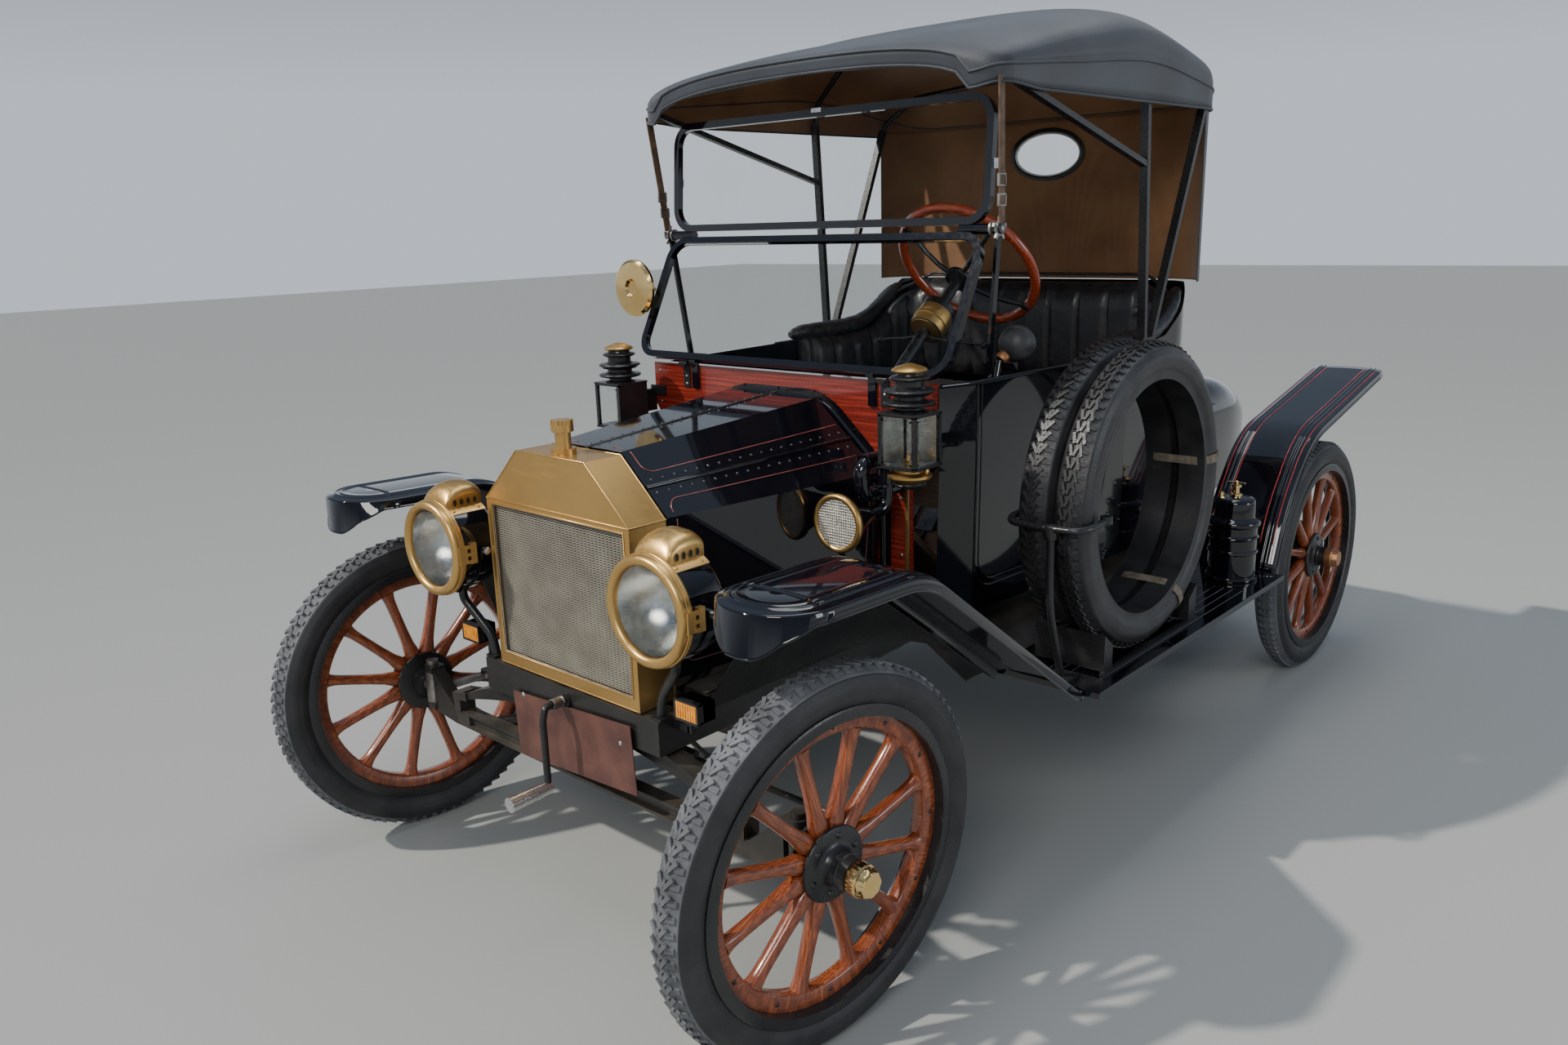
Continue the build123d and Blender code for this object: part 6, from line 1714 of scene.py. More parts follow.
def back_inward(p):
    x, y = p.x * 1000, (p.y - AXLE_Y) * 1000
    if p.z < 1.02:
        return None
    if abs(x) <= BACK_X:
        out = Vector((0, 1, 0)) if y < BACK_REAR else None
    elif y >= BACK_Y:
        out = Vector((x - BACK_X * (1 if x > 0 else -1), y - BACK_Y, 0)).normalized()
        out = out if hypot(abs(x) - BACK_X, y - BACK_Y) < BACK_ROUND else None
    else:
        out = Vector((1 if x > 0 else -1, 0, 0)) if abs(x) < 501 else None
    return -out if out else None


points, faces = blown_up(back_pad(), 0.009, 0.014)
points = pressed(points, round_seat, 97.0, 11, 8, back_inward)
limit_x, limit_y = 0.5265, spot(0, 1948, 0).y
points = [Vector((max(-limit_x, min(limit_x, p.x)), min(p.y, limit_y), p.z)) for p in points]
ARM_LINE = ((1290, 1190), (1560, 1194), (1620, 1199), (1670, 1209), (1710, 1224), (1750, 1246),
            (1790, 1273), (1825, 1296), (1860, 1314))


def arm_roll(side):
    """The stuffed roll that lies along the top of the body's side, with a pleat every few centimetres."""
    rows, around = 64, 14
    points = []
    for i in range(rows + 1):
        y = 1296 + 556 * i / rows
        for (y0, a), (y1, b) in zip(ARM_LINE, ARM_LINE[1:]):
            if y0 <= y <= y1:
                z = a + (b - a) * (y - y0) / (y1 - y0)
        start = min(1.0, (y - 1290) / 90, (1858 - y) / 60)
        size = 27 * (1 - (1 - start) ** 2) ** 0.5
        pleat = abs((y - 1390) / 62 - round((y - 1390) / 62)) * 62
        size *= 1 - 0.13 * 2.718 ** (-(pleat / 5) ** 2)
        for k in range(around):
            a = 2 * pi * k / around
            points.append(spot(side * (519 - max(0.0, y - 1770) * 0.2 + size * 0.9 * cos(a)), y,
                               z + size * sin(a)))
    faces = lofted(rows + 1, around) + ends_of(rows + 1, around)
    return points, [face[::-1] for face in faces] if side > 0 else faces


points, faces = joined((points, faces), arm_roll(1), arm_roll(-1))
back = piece("seat_back_leather", points, faces, "seat_hide", "chassis", "seat_leather", 60)
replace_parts(back, "seat_back")
roll = [spot(s.x, s.y, top - 3) for s, _, top, _ in back_rows()]
roll = roll + [Vector((-p.x, p.y, p.z)) for p in roll[::-1][1:]]
piece("seat_piping", *bar([p + Vector((0, 0, 0.004)) for p in rounded_path(roll, 0.04, 3)], 0.0045, 8),
      "seat_hide", "chassis", "seat_leather", 60)
print("back points:", len(points))

# %% [markdown]
# ## Steering wheel
# The rim is bent mahogany with shallow finger dips inside, on a spider of four forged arms. Under it sits
# the small brass gear case on the column.

# %% Steering rim, spider and gear case
COLUMN_DIP = radians(38.8)
AXIS_X = Vector((0, cos(COLUMN_DIP), sin(COLUMN_DIP)))
AXIS_Y = Vector((1, 0, 0))
COLUMN_FRAME = Matrix((AXIS_X, AXIS_Y, AXIS_X.cross(AXIS_Y))).transposed().to_4x4()
COLUMN_PLACE = Matrix.Translation(COLUMN_TOP) @ COLUMN_FRAME


def finger_rim(radius=190.0, thick=14.0, steps=112, around=14):
    points = []
    for i in range(steps):
        a = 2 * pi * i / steps
        dip = 1.6 * max(0.0, cos(28 * a)) ** 2
        for k in range(around):
            b = 2 * pi * k / around
            r = radius + (thick - 0.4) * cos(b) + (dip if cos(b) < -0.2 else 0)
            points.append(Vector(((thick - 0.4) * 0.92 * sin(b), r * cos(a), r * sin(a))) / 1000)
    return points, hoops(steps, around)


rim = outward(piece("steering_rim", *placed(finger_rim(), COLUMN_PLACE), "rim_mahogany", "steering_wheel",
                    "mahogany", 60))
arms = [turned(((-60, 0.4), (-60, 36), (-56, 38), (-48, 38), (-45, 34), (-44, 14), (-34, 13), (-32, 0.4)),
               32)]
for i in range(4):
    a = radians(45 + 90 * i)
    path = [on_circle(x, r, a) for x, r in ((-51, 26), (-50, 60), (-38, 110), (-17, 160), (-5, 187))]
    arms.append(bar(rounded_path(path, 0.03, 4), 0.0068, 10))
    turn = spin(a, "X") @ Matrix.Translation(Vector((-0.0145, 0.186, 0)))
    arms.append(placed(block((-2, -13, -8), (3, 9, 8)), turn))
arms.append(turned(((-160, 0.4), (-160, 14), (-58, 14), (-58, 0.4)), 20))
spider = outward(piece("steering_spider", *placed(joined(*arms), COLUMN_PLACE), "satin_black",
                       "steering_wheel", "horn_black", 40))
for made in (rim, spider):
    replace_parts(made, "steering_wheel")
case_profile = ((-246, 15.2), (-246, 40), (-242, 44.6), (-222, 44.6), (-220, 47.5), (-212, 47.5),
                (-210, 44.6), (-186, 44.6), (-178, 42), (-170, 34), (-164.5, 30), (-164.5, 15.2))
piece("steering_gear_case", *turned(case_profile, 40, COLUMN_PLACE), "lamp_brass", "chassis", "gold_brass",
      35)
for sign, angle in ((1, 14), (-1, 166)):
    a = radians(angle)
    path = [COLUMN_PLACE @ on_circle(x, r, a) for x, r in ((-262, 12), (-262, 60), (-250, 130), (-246, 165))]
    knob = turned(((-8, 0.4), (-8, 5), (0, 8), (8, 6), (10, 0.4)), 12,
                  Matrix.Translation(path[-1]) @ COLUMN_FRAME)
    lever = joined(bar(rounded_path(path, 0.02, 4), 0.0035, 8), knob)
    piece("column_lever_" + ("left" if sign > 0 else "right"), *lever, "satin_black", "chassis",
          "horn_black", 40)
print("steering wheel made")

# %% [markdown]
# ## Side lamps
# An oil side lamp is built up like a small lantern: a round brass fount under a black case with bevelled
# glass in a frame, and a chimney of spun tiers that keep the wind out, closed by a brass cap.

# %% Side lamps
CHIMNEY = ((1129, 0.4), (1129, 40), (1133, 41), (1136, 30), (1140, 30), (1143, 44), (1146, 55),
           (1150, 57.6), (1153, 55), (1155, 40), (1158, 33), (1165, 33), (1168, 46), (1172, 52),
           (1176, 56.6), (1180, 53), (1182, 36), (1186, 31), (1198, 31), (1200, 40), (1204, 45), (1208, 40),
           (1210, 30), (1216, 28), (1216, 0.4))
CAP = ((1216, 0.4), (1216, 33), (1218, 38), (1221, 40), (1225, 36), (1230, 24), (1235, 8), (1235.6, 0.4))
FOUNT = ((972, 0.4), (974, 28), (979, 43), (986, 49.4), (991, 49.4), (995, 44), (997, 34), (1009, 34),
         (1009, 0.4))
SIDE_LAMP_AT = (486, 566)
FOOT_BOWL = ((960.5, 0.4), (960.5, 22), (964, 32), (970, 37), (975, 34), (975, 0.4))


def lantern_case(x, y, h=50, low=1009, high=1130):
    """Corner posts, rails round the panes and the two closed sides."""
    parts = [slab((x - h, y - h, low), (x + h, y + h, low + 6)),
             slab((x - h, y - h, high - 7), (x + h, y + h, high))]
    for sx in (-1, 1):
        for sy in (-1, 1):
            x0, x1 = sorted((x + sx * h, x + sx * (h - 9)))
            y0, y1 = sorted((y + sy * h, y + sy * (h - 9)))
            parts.append(slab((x0, y0, low), (x1, y1, high)))
    wide = h + 1.5
    for corners in (((x - h + 1, y - h + 3, low), (x - h + 4, y + h - 3, high)),
                    ((x - h + 3, y + h - 4, low), (x + h - 3, y + h - 1, high)),
                    ((x - wide, y - wide, high - 3), (x + wide, y + wide, high + 1)),
                    ((x - wide, y - wide, low - 1), (x + wide, y + wide, low + 3)),
                    ((x - 20, y + h - 1, 1040), (x - 4, 675.7, 1100)),
                    ((424, 668, 1085), (480, 675.7, 1110))):
        parts.append(slab(*corners))
    return joined(*parts)


def pane_edges(x, y, h=50):
    """The bevelled borders of the two panes, as thin frames of glass."""
    frames = []
    for z in (1020, 1114):
        frames.append(slab((x - h + 10, y - h - 0.4, z), (x + h - 10, y - h + 2, z + 4)))
        frames.append(slab((x + h - 2, y - h + 10, z), (x + h + 0.4, y + h - 10, z + 4)))
    for s in (-1, 1):
        frames.append(slab((x + s * 38 - 2, y - h - 0.4, 1020), (x + s * 38 + 2, y - h + 2, 1118)))
        frames.append(slab((x + h - 2, y + s * 38 - 2, 1020), (x + h + 0.4, y + s * 38 + 2, 1118)))
    return joined(*frames)


def make_side_lamp(label, side):
    upright = at(*SIDE_LAMP_AT, 0) @ spin(-pi / 2, "Y")
    black = joined(lantern_case(*SIDE_LAMP_AT), turned(CHIMNEY, 40, upright), turned(FOOT_BOWL, 32, upright))
    gold = joined(turned(CAP, 40, upright), turned(FOUNT, 40, upright))
    wick = turned(((1009, 0.4), (1009, 16), (1018, 16), (1022, 8), (1034, 6), (1036, 0.4)), 20, upright)
    knob = turned(((0, 0.4), (0, 3), (10, 3), (11, 7), (15, 7), (17, 0.4)), 12, at(520, 566, 1002))
    tin = joined(slab((440.5, 522, 1016), (442, 609, 1122)), slab((441, 609, 1016), (529, 610.5, 1122)))
    parts = (("case", black, "satin_black", "black_paint"), ("brass", gold, "lamp_brass", "gold_brass"),
             ("burner", joined(wick, knob), "lamp_brass", "gold_brass"),
             ("tin", tin, "reflector_silver", "polished_brass"),
             ("bevels", pane_edges(*SIDE_LAMP_AT), "clear_glass", "clear_glass"))
    for part, shape, finish, slot in parts:
        shape = shape if side > 0 else mirror_x(shape)
        made = outward(piece("side_lamp_" + part + "_" + label, *shape, finish, "chassis", slot, 32))
        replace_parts(made, "side_lamps")


for label, side in SIDES:
    make_side_lamp(label, side)
print("side lamps made")

# %% [markdown]
# ## Horn, generator and turn lamps
# The bulb horn ends in a brass ring over a fine wire mesh. The gas generator on the running board has two
# rolled bands and a brass valve. The turn lamps are small black boxes with a ribbed amber lens.

# %% Horn ring and mesh
HORN_PLACE = at(382, 440, 889) @ spin(pi / 2, "Z")
ring_profile = ((-6, 55), (-8.5, 58), (-9, 62), (-7, 65.5), (-2, 67.4), (6, 66), (10, 63.4), (10, 61.5),
                (2, 60), (0, 55))
outward(piece("horn_ring", *turned(ring_profile, 56, HORN_PLACE), "lamp_brass", "chassis", "gold_brass", 40))
outward(piece("horn_screen", *turned(((-3.4, 0.4), (-3.2, 30), (-1.6, 56.5), (0, 56.5), (0, 0.4)), 48,
                                     HORN_PLACE), "horn_mesh", "chassis", "gold_brass", 60))
wires = []
for i in range(-8, 9):
    u = i * 6.4
    reach = max(4.0, (55 ** 2 - u ** 2) ** 0.5)
    wires.append(bar([Vector((-4.2, u, -reach)) / 1000, Vector((-4.2, u, reach)) / 1000], 0.0009, 5))
    wires.append(bar([Vector((-4.8, -reach, u)) / 1000, Vector((-4.8, reach, u)) / 1000], 0.0009, 5))
piece("horn_wires", *placed(joined(*wires), HORN_PLACE), "grip_aluminium", "chassis", "gold_brass", 40)
bands = []
for x, y, z, turn in ((388.5, 590, 950, spin(-pi / 2, "Y")), (394, 520, 1015, spin(pi / 2, "Z")),
                      (394, 575, 1010, spin(pi / 2, "Z"))):
    bands.append(turned(((-4, 17.4), (-3, 19.2), (3, 19.2), (4, 17.4)), 24, at(x, y, z) @ turn))
trim("horn_tube_bands", bands, "black_enamel", "horn_black", 40)
bulb_way, bulb_side = Vector((0.29, 0.73, 0.62)).normalized(), Vector((0.93, -0.37, 0)).normalized()
bulb_turn = Matrix((bulb_way, bulb_side, bulb_way.cross(bulb_side))).transposed().to_4x4()
ferrule = turned(((-14, 12.4), (-14, 15), (-6, 17.5), (4, 16), (10, 20), (16, 24), (22, 24), (22, 12.4)), 24,
                 at(456, 995, 1204) @ bulb_turn)
piece("bulb_ferrule", *ferrule, "dull_copper", "chassis", "polished_brass", 40)
print("horn wires:", len(wires))

# %% Gas generator
GENERATOR_AT = at(720, 1842, 0) @ spin(-pi / 2, "Y")
POT = ((480.4, 0.4), (480.4, 73), (483, 74), (490, 73), (493, 67.5), (560, 66.4), (563, 70), (567, 71),
       (571, 70), (574, 66.4), (604, 66.4), (607, 70), (611, 71.6), (615, 70), (618, 66.4), (640, 66.4),
       (643, 71), (648, 73.4), (655, 73.4), (660, 70), (664, 60), (668, 57), (712, 56), (718, 54),
       (724, 46), (727, 30), (728, 0.4))
VALVE = ((728, 0.4), (728, 17), (734, 17), (736, 9), (752, 8), (754, 14), (760, 14), (762, 6), (770, 5),
         (773, 0.4))
pot = outward(piece("generator_pot", *turned(POT, 48, GENERATOR_AT), "black_enamel", "chassis",
                    "black_paint", 35))
valve_shape = joined(turned(VALVE, 24, GENERATOR_AT), block((-24, -3, 764), (24, 3, 768), at(720, 1842, 0)))
plug = turned(((724, 0.4), (724, 8), (735, 8), (737, 5), (741, 0.4)), 6,
              at(686, 1822, 0) @ spin(-pi / 2, "Y"))
valve_piece = outward(piece("generator_valve", *joined(valve_shape, plug), "bright_brass", "chassis",
                            "polished_brass", 35))
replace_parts(pot, "gas_generator")
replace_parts(valve_piece, "gas_generator")

# %% Turn lamps
def make_turn_lamp(label, side):
    x0, x1 = 346, 412
    shell = [slab((x0, -36, 580), (x1, 12, 583.5)), slab((x0, -36, 618.5), (x1, 12, 622)),
             slab((x0, -36, 580), (x0 + 3.5, 12, 622)), slab((x1 - 3.5, -36, 580), (x1, 12, 622)),
             slab((x0, -20, 580), (x1, 12, 622)), slab((x0 - 1.5, -38, 578.6), (x1 + 1.5, -33, 582)),
             slab((x0 - 1.5, -38, 620), (x1 + 1.5, -33, 623.4)),
             slab((x0 - 1.5, -38, 580), (x0 + 2, -33, 622)), slab((x1 - 2, -38, 580), (x1 + 1.5, -33, 622)),
             slab((305.3, -6, 536), (352, 6, 552)), slab((346, -6, 536), (358, 6, 581))]
    lens = [slab((x0 + 3.5, -37.2, 583.5), (x1 - 3.5, -22, 618.5))]
    lens += [slab((x0 + 7 + 7.2 * i, -38.6, 585), (x0 + 10.4 + 7.2 * i, -36.5, 617)) for i in range(8)]
    for part, shapes, finish, slot in (("case", shell, "satin_black", "black_paint"),
                                       ("lens", lens, "amber_lens", "amber_lamp")):
        shape = joined(*shapes)
        shape = shape if side > 0 else mirror_x(shape)
        made = outward(piece("turn_lamp_" + part + "_" + label, *shape, finish, "chassis", slot, 30))
        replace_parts(made, "indicator_lamps")


for label, side in SIDES:
    make_turn_lamp(label, side)
print("generator and turn lamps made")

# %% [markdown]
# ## Straps, screws and small trim
# What is left is small but it is what makes the car look assembled: strap hinges and bolts on the dash, a
# brass strip at its edge, star nuts on the screen, buckled straps, the pressed door shape in the side panel
# and the straps that hold the spare tyres.

# %% Dash and screen fittings
SCREEN_X = 518.0


def head_on(p, r, high):
    """A bolt head that faces the front of the car."""
    return placed(dome(r, high), Matrix.Translation(p) @ spin(-pi / 2, "Z"))


hinges, heads = [], []
for side in (1, -1):
    x = side * 336
    hinges.append(slab((x - 12, 672.6, 1112), (x + 12, 676.2, 1174)))
    hinges.append(slab((x - 12, 655, 1172), (x + 12, 676.2, 1176)))
    hinges.append(bar([spot(x - 15, 664, 1178), spot(x + 15, 664, 1178)], 0.006, 12))
    heads += [head_on(spot(x, 672.8, z), 4.6, 3) for z in (1122, 1142)]
    heads += [head_on(spot(side * 380, 676, z), 5.5, 3) for z in (620, 760, 900)]
    heads += [head_on(spot(side * 446, 676, z), 4.5, 2.5) for z in (1150, 1066)]
trim("dash_hinges", hinges, "satin_black", "black_paint", 30)
trim("dash_bolts", heads, "worn_steel", "grip_metal", 40)
strips = [slab((side * 398 - 4, 672.5, 561), (side * 398 + 4, 677, 958)) for side in (1, -1)]
trim("dash_edge_strips", strips, "lamp_brass", "gold_brass", 30)
nuts = []
for side in (1, -1):
    place = at(side * (SCREEN_X + 4), 828, 1510) @ (Matrix() if side > 0 else spin(pi, "Z"))
    nuts.append(turned(((0, 0.4), (0, 17), (4, 17), (6, 12), (14, 11), (16, 16), (22, 16), (25, 8), (30, 7),
                        (32, 0.4)), 18, place))
    nuts += [placed(block((17, -4, 12), (22, 4, 27)), place @ spin(2 * pi * i / 5, "X")) for i in range(5)]
trim("screen_star_nuts", nuts, "worn_steel", "black_paint", 35)
clips = [slab((-16, 840, 1799), (16, 858, 1809))]
clips += [slab((side * 511 - 10, 835, 1640), (side * 511 + 10, 852, 1662)) for side in (1, -1)]
trim("screen_clips", clips, "grip_aluminium", "grip_metal", 30)
print("heads:", len(heads))

# %% Buckled straps and the spare tyres' straps
def tyre_strap(y, z, around):
    """A flat leather strap round both spare tyres' section at one place of the ring."""
    loop = [(748 + around * cos(a), around * sin(a)) for a in (radians(-90 + 15 * i) for i in range(13))]
    loop += [(656 + around * cos(a), around * sin(a)) for a in (radians(90 + 15 * i) for i in range(13))]
    loop.append(loop[0])
    radial = Vector((0, y - SPARE_Y, z - SPARE_Z)).normalized()
    path = [spot(x, y + radial.y * r, z + radial.z * r) for x, r in loop]
    return bar(path, 0, 4, (0.022, 0.0026, tuple(Vector((1, 0, 0)).cross(radial))), ends=False)


straps = []
for angle in (8, -62):
    a = radians(angle)
    middle = SPARE_R - 45
    straps.append(tyre_strap(SPARE_Y + middle * cos(a), SPARE_Z + middle * sin(a), 47))
trim("spare_tyre_straps", straps, "canvas_strap", "strap_leather", 60)
buckles = []
for side in (1, -1):
    low, high = spot(side * 549, 826, 1523), spot(side * 565, 790, 1828)
    for share in (0.16, 0.30):
        p = low.lerp(high, share)
        for half, way in (((2.6, 15, 1.6), Vector((0, 0, 0.012))), ((2.6, 1.6, 12), Vector((0, 0.0135, 0)))):
            for s in (1, -1):
                low_corner = tuple(-c for c in half)
                buckles.append(placed(block(low_corner, half), Matrix.Translation(p + way * s)))
trim("strap_buckles", buckles, "worn_steel", "grip_metal", 30)


# %% Tyre carrier
def saddle(lean):
    """A block under the tyres whose top follows their curve."""
    points, faces, steps = [], [], 8
    for i in range(steps + 1):
        a = radians(lean - 4 + 8 * i / steps - 90)
        for x in (610, 794):
            points += [spot(x, SPARE_Y + 379.5 * cos(a), SPARE_Z + 379.5 * sin(a)),
                       spot(x, SPARE_Y + 379.5 * cos(a), 489)]
    for i in range(steps):
        a, b = 4 * i, 4 * i + 4
        faces += [(a, b, b + 2, a + 2), (a + 1, a + 3, b + 3, b + 1), (a, a + 1, b + 1, b),
                  (a + 2, b + 2, b + 3, a + 3)]
    faces += [(0, 2, 3, 1), (4 * steps, 4 * steps + 1, 4 * steps + 3, 4 * steps + 2)]
    return points, faces


shapes = [saddle(38), saddle(-38)]
shapes += [slab((x - 6, 905, 480.3), (x + 6, 1425, 489)) for x in (612, 792)]
shapes.append(slab((692, 811, 480.3), (752, 875, 488)))
shapes.append(bar(rounded_path([spot(722, 839, 486), spot(722, 775, 672), spot(722, 775, 858)], 0.06),
                  0.0095, 14))
hoop = [spot(602, 872, 866), spot(602, 800, 862), spot(622, 772, 860), spot(702, 766, 858),
        spot(782, 772, 860), spot(802, 800, 862), spot(802, 872, 866)]
shapes.append(bar(rounded_path(hoop, 0.03), 0.0085, 14))
shapes += [turned(((-9, 8), (-9, 14), (9, 14), (9, 8)), 20, at(x, 878, 868) @ spin(-pi / 2, "Y"))
           for x in (602, 802)]
shapes.append(turned(((-16, 0.4), (-16, 15), (14, 17), (18, 12), (18, 0.4)), 20,
                     at(722, 773, 850) @ spin(-pi / 2, "Y")))
carrier = outward(piece("tyre_carrier_iron", *joined(*shapes), "satin_black", "chassis", "chassis_black", 40))
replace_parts(carrier, "tyre_carrier")

# %% Pressed door shape, rails, board edges and small trim
def body_side(y, z):
    """Half the body's width at a place along it and a height."""
    plan = ((700.3, 472), (800, 506), (1240, 536), (1480, 546), (1770, 546))
    levels = ((604, 10), (960, 3), (1060, 2), (1335, 0))
    half = plan[-1][1]
    for (y0, a), (y1, b) in zip(plan, plan[1:]):
        if y <= y1:
            half = a + (b - a) * (y - y0) / (y1 - y0)
            break
    inset = 0
    for (z0, a), (z1, b) in zip(levels, levels[1:]):
        if z0 <= z <= z1:
            inset = a + (b - a) * (z - z0) / (z1 - z0)
    return half - inset


def on_body(side, y, z, lift=0.0):
    return spot(side * (body_side(y, z) + lift), y, z)


def along_body(side, corners, radius):
    """A rounded path between (y, z) corners, dropped onto the body's side."""
    flat = rounded_path([Vector((y, z, 0)) for y, z in corners], radius, 6)
    return [on_body(side, p.x, p.y, 0.2) for p in evenly(flat, 30)]


door_shape = [(806, 1160), (806, 700), (850, 662), (1190, 662), (1234, 700), (1234, 1160)]
inner_shape = [(822, 1160), (822, 712), (862, 678), (1178, 678), (1218, 712), (1218, 1160)]
press = [bar(along_body(1, door_shape, 60), 0.0032, 8), bar(along_body(1, inner_shape, 60), 0.0018, 6)]
for side in (1, -1):
    press.append(bar(along_body(side, [(1262, 640), (1262, 1150)], 10), 0.0022, 6))
trim("side_beads", press, "body_enamel", "black_paint", 60)
rail = []
for side in (1, -1):
    rail.append(bar([on_body(side, y, 1165, 1.0) for y in (1245, 1300, 1400, 1500)], 0.0058, 10))
rail.append(bar([on_body(1, y, 1167, 0.5) for y in (704, 760, 800, 900, 1000, 1100, 1200, 1245)], 0.0058, 10))
trim("body_top_rail", rail, "body_enamel", "black_paint", 60)
edges = []
for side in (1, -1):
    edges.append(bar([spot(side * 836.2, 812, 479.5), spot(side * 836.2, 1942, 479.5)], 0.0022, 8))
    for i in range(9):
        x = side * (590 + 26 * i)
        edges.append(bar([spot(x, 860, 480.0), spot(x, 1730 if abs(x) > 640 else 1930, 480.0)], 0.0013, 6))
trim("board_ribs", edges, "black_enamel", "black_paint", 60)
plate_marks = [head_on(spot(x, -57.2, z), 5.5, 2.5) for x, z in ((-150, 508), (190, 486))]
trim("plate_screws", plate_marks, "grip_aluminium", "grip_metal", 40)
spring_coil = []
for i in range(7 * 14 + 1):
    a = 2 * pi * i / 14
    spring_coil.append(spot(11.5 * cos(a), -60 - 4.2 * i / 14, 532 + 11.5 * sin(a)))
piece("crank_spring", *bar(spring_coil, 0.0019, 6), "worn_steel", "crank", "horn_black", 60)
print("trim made")

# %% [markdown]
# ## Rear deck and its lid
# The deck is one bent sheet: upright sides, a quarter-round shoulder and a flat top that falls away to the
# rear. Its rows follow a curve through four sections that never overshoots them, so the paint
# reflects in one smooth band. The opening is left out of the grid, and the lid lies on the same curve.

# %% Rear deck
DECK_ROWS = ((1960.3, 440, 985), (2500, 425, 972), (2700, 395, 930), (2840, 330, 840))
DECK_LOW, DECK_SHOULDER, DECK_ROUND = 604, 120, 14
LID_HALF, LID_FRONT, LID_REAR = 285, 2080, 2580
OPENING_FRONT, OPENING_REAR, OPENING_IN = 2100, 2560, 11


def deck_at(y, k):
    """The half width (1) or the top (2) at a place along the deck."""
    lean = [(b[k] - a[k]) / (b[0] - a[0]) for a, b in zip(DECK_ROWS, DECK_ROWS[1:])]
    slope = [lean[0]] + [2 * m * n / (m + n) for m, n in zip(lean, lean[1:])] + [lean[-1]]
    i = max(n for n in range(3) if DECK_ROWS[n][0] <= max(y, DECK_ROWS[0][0]))
    (y0, a), (y1, b) = ((DECK_ROWS[n][0], DECK_ROWS[n][k]) for n in (i, i + 1))
    t, h = (y - y0) / (y1 - y0), y1 - y0
    ends = a * (1 + 2 * t) * (1 - t) ** 2 + b * t * t * (3 - 2 * t)
    return ends + h * (slope[i] * t * (1 - t) ** 2 - slope[i + 1] * t * t * (1 - t))


def deck_row(y):
    past = max(0.0, y - DECK_ROWS[-1][0] + DECK_ROUND)
    inset = DECK_ROUND - (DECK_ROUND ** 2 - past ** 2) ** 0.5
    half, top = deck_at(y, 1) - inset, deck_at(y, 2) - inset
    right = [(half, DECK_LOW), (half, 760)]
    for i in range(9):
        a = pi / 2 * i / 8
        right.append((half - DECK_SHOULDER * (1 - cos(a)), top - DECK_SHOULDER * (1 - sin(a))))
    right += [(min(265.0, half - DECK_SHOULDER - 2), top), (120, top)]
    return [spot(x, y, z) for x, z in right + [(-x, z) for x, z in right[::-1]]]


deck_ys = [1960.3, 2030, 2100, 2180, 2260, 2340, 2420, 2500, 2560, 2610, 2660, 2705, 2745, 2780, 2808, 2826,
           2831, 2835.5, 2838.6, 2840]
points, faces = [], []
for y in deck_ys:
    points += deck_row(y)
count = len(points) // len(deck_ys)
for face in lofted(len(deck_ys), count):
    i, k = divmod(face[0], count)
    over_opening = OPENING_FRONT <= deck_ys[i] < OPENING_REAR and OPENING_IN <= k <= count - OPENING_IN - 2
    if not over_opening:
        faces.append(face)
faces += ends_of(len(deck_ys), count)
made = face_up(piece("rear_deck_shell", points, faces, "black_enamel", "chassis", "black_paint", 32))
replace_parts(solid_sheet(made, 8), "rear_deck")
print("deck rows:", len(deck_ys), "columns:", count)

# %% Deck lid
LID_STEPS = ((0, 5.4), (1, 7.1), (3, 8), (22, 8), (25.5, 6.6))


def lid_places(low, high, middle):
    ends = [d for d, _ in LID_STEPS]
    inner = [low + 26 + (high - low - 52) * i / middle for i in range(1, middle)]
    return [low + d for d in ends] + inner + [high - d for d in ends[::-1]]


def lid_height(edge):
    for (d0, h0), (d1, h1) in zip(LID_STEPS, LID_STEPS[1:]):
        if edge <= d1:
            return h0 + (h1 - h0) * (edge - d0) / (d1 - d0)
    return LID_STEPS[-1][1]


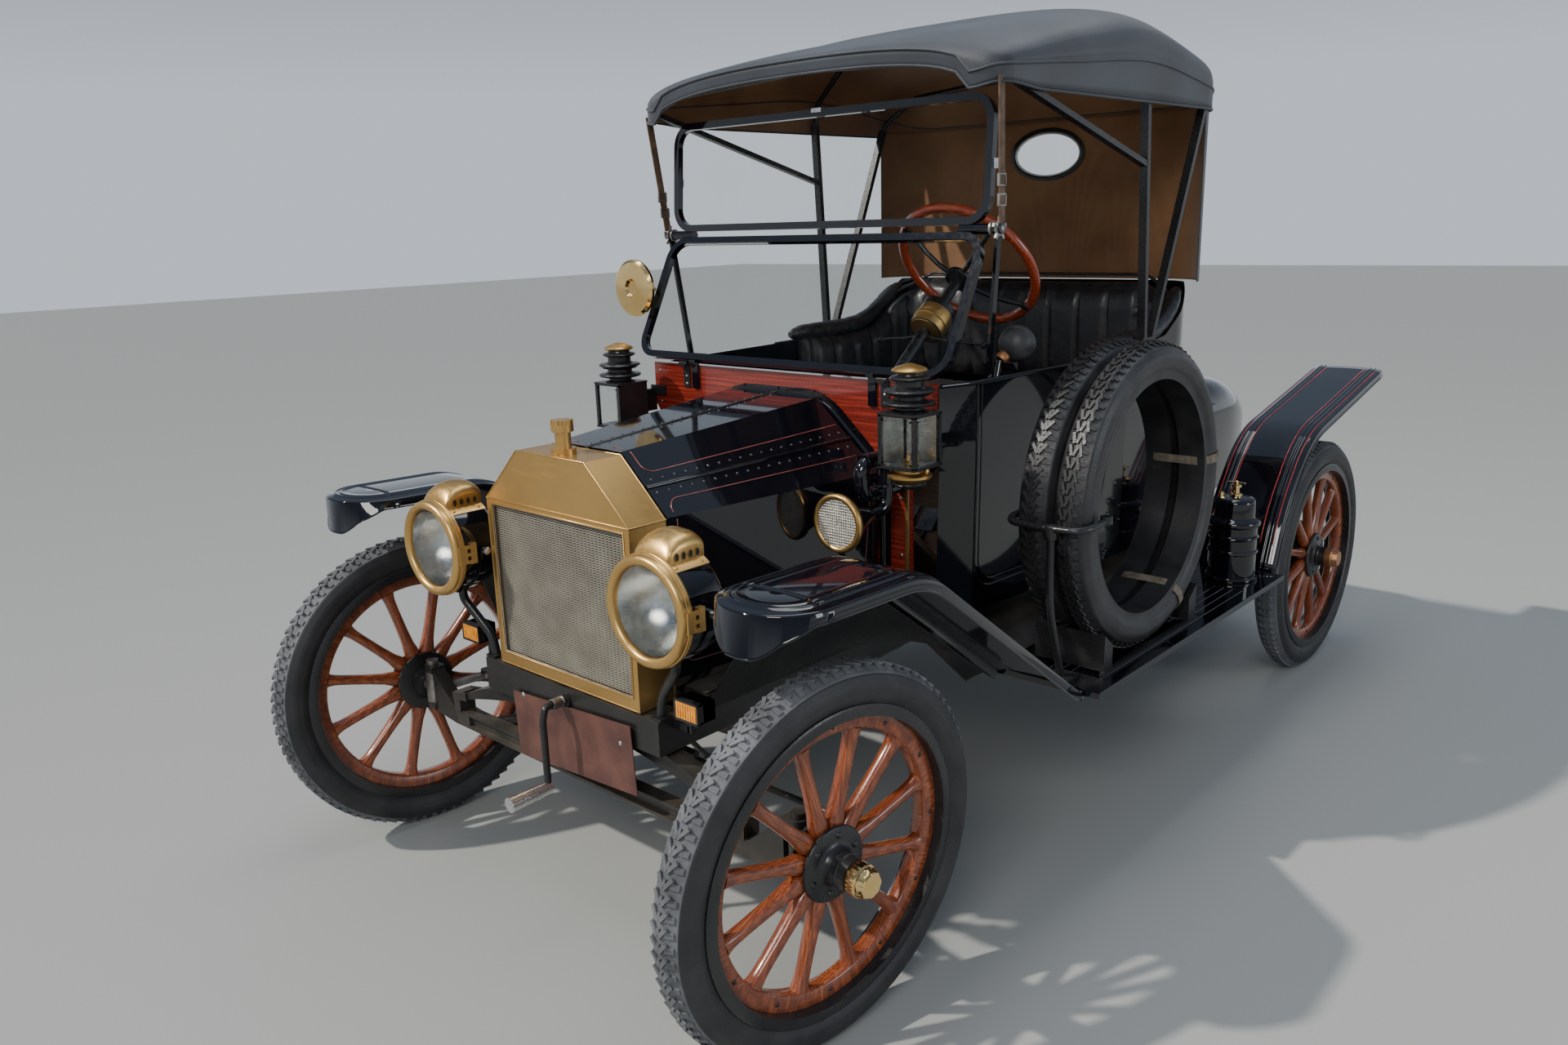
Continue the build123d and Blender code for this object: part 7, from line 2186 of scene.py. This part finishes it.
lid_xs, lid_ys = lid_places(-LID_HALF, LID_HALF, 4), lid_places(LID_FRONT, LID_REAR, 8)
points = []
for upper in (True, False):
    for y in lid_ys:
        for x in lid_xs:
            edge = min(LID_HALF - abs(x), y - LID_FRONT, LID_REAR - y)
            points.append(spot(x, y, deck_at(y, 2) + (lid_height(edge) if upper else 0.4)))
wide, long = len(lid_xs), len(lid_ys)
under = wide * long
faces = []
for i in range(long - 1):
    for k in range(wide - 1):
        a = i * wide + k
        faces.append((a, a + 1, a + wide + 1, a + wide))
        faces.append((under + a, under + a + wide, under + a + wide + 1, under + a + 1))
rim = [k for k in range(wide)] + [i * wide + wide - 1 for i in range(1, long)]
rim += [(long - 1) * wide + k for k in range(wide - 2, -1, -1)] + [i * wide for i in range(long - 2, 0, -1)]
faces += [(a, under + a, under + b, b) for a, b in zip(rim, rim[1:] + rim[:1])]
knuckles = []
for i in range(8):
    x0 = -265 + i * 66.25
    knuckles += [(x0 + 0.6, 5.6), (x0 + 1.4, 6.5), (x0 + 64.85, 6.5), (x0 + 65.65, 5.6)]
barrel = turned([(-264.4, 0.4)] + knuckles + [(264.4, 0.4)], 20, at(0, 2080, 989.4))
lid = outward(piece("deck_lid_panel", *joined((points, faces), barrel), "black_enamel", "deck_lid",
                    "black_paint", 40))
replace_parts(lid, "deck_lid")
print("lid grid:", wide, "by", long)

# %% [markdown]
# ## Rolled edge between the hood and the dash
# The sheet that the hood's rear end rests on is rolled over to a round bead and ends in a narrow flange with
# small screws. The bead is a bar carried round the hood's outline with its corners rounded.

# %% Hood former bead
FORMER_LINE = [spot(x, 669, z) for x, z in ((331, 606), (331, 957), (148, 1119), (-148, 1119), (-331, 957),
                                            (-331, 606))]
bead_path = rounded_path(FORMER_LINE, 0.062, 10)
outward(piece("hood_former_bead", *bar(bead_path, 0.0095, 16), "black_enamel", "chassis", "black_paint", 60))
flange_line = [spot(x, 673.4, z) for x, z in ((339, 606), (339, 961), (152, 1128), (-152, 1128),
                                              (-339, 961), (-339, 606))]
flange_path = rounded_path(flange_line, 0.066, 10)
flange = bar(flange_path, 0.01, 4, (0.003, 0.022, (0, 1, 0)))
heads = []
for x, z in ((0, 1135.4), (118, 1135.4), (-118, 1135.4), (246, 1050), (-246, 1050), (345, 880), (-345, 880)):
    head = ((-1.2, 0.3), (-1.2, 2.6), (1.6, 3.6), (2.2, 3.6), (2.2, 0.3))
    heads.append(turned(head, 10, at(x, 669.6, z) @ spin(pi / 2, "Z")))
outward(piece("hood_former_flange", *joined(flange, *heads), "black_enamel", "chassis", "black_paint", 40))
print("former screws:", len(heads))
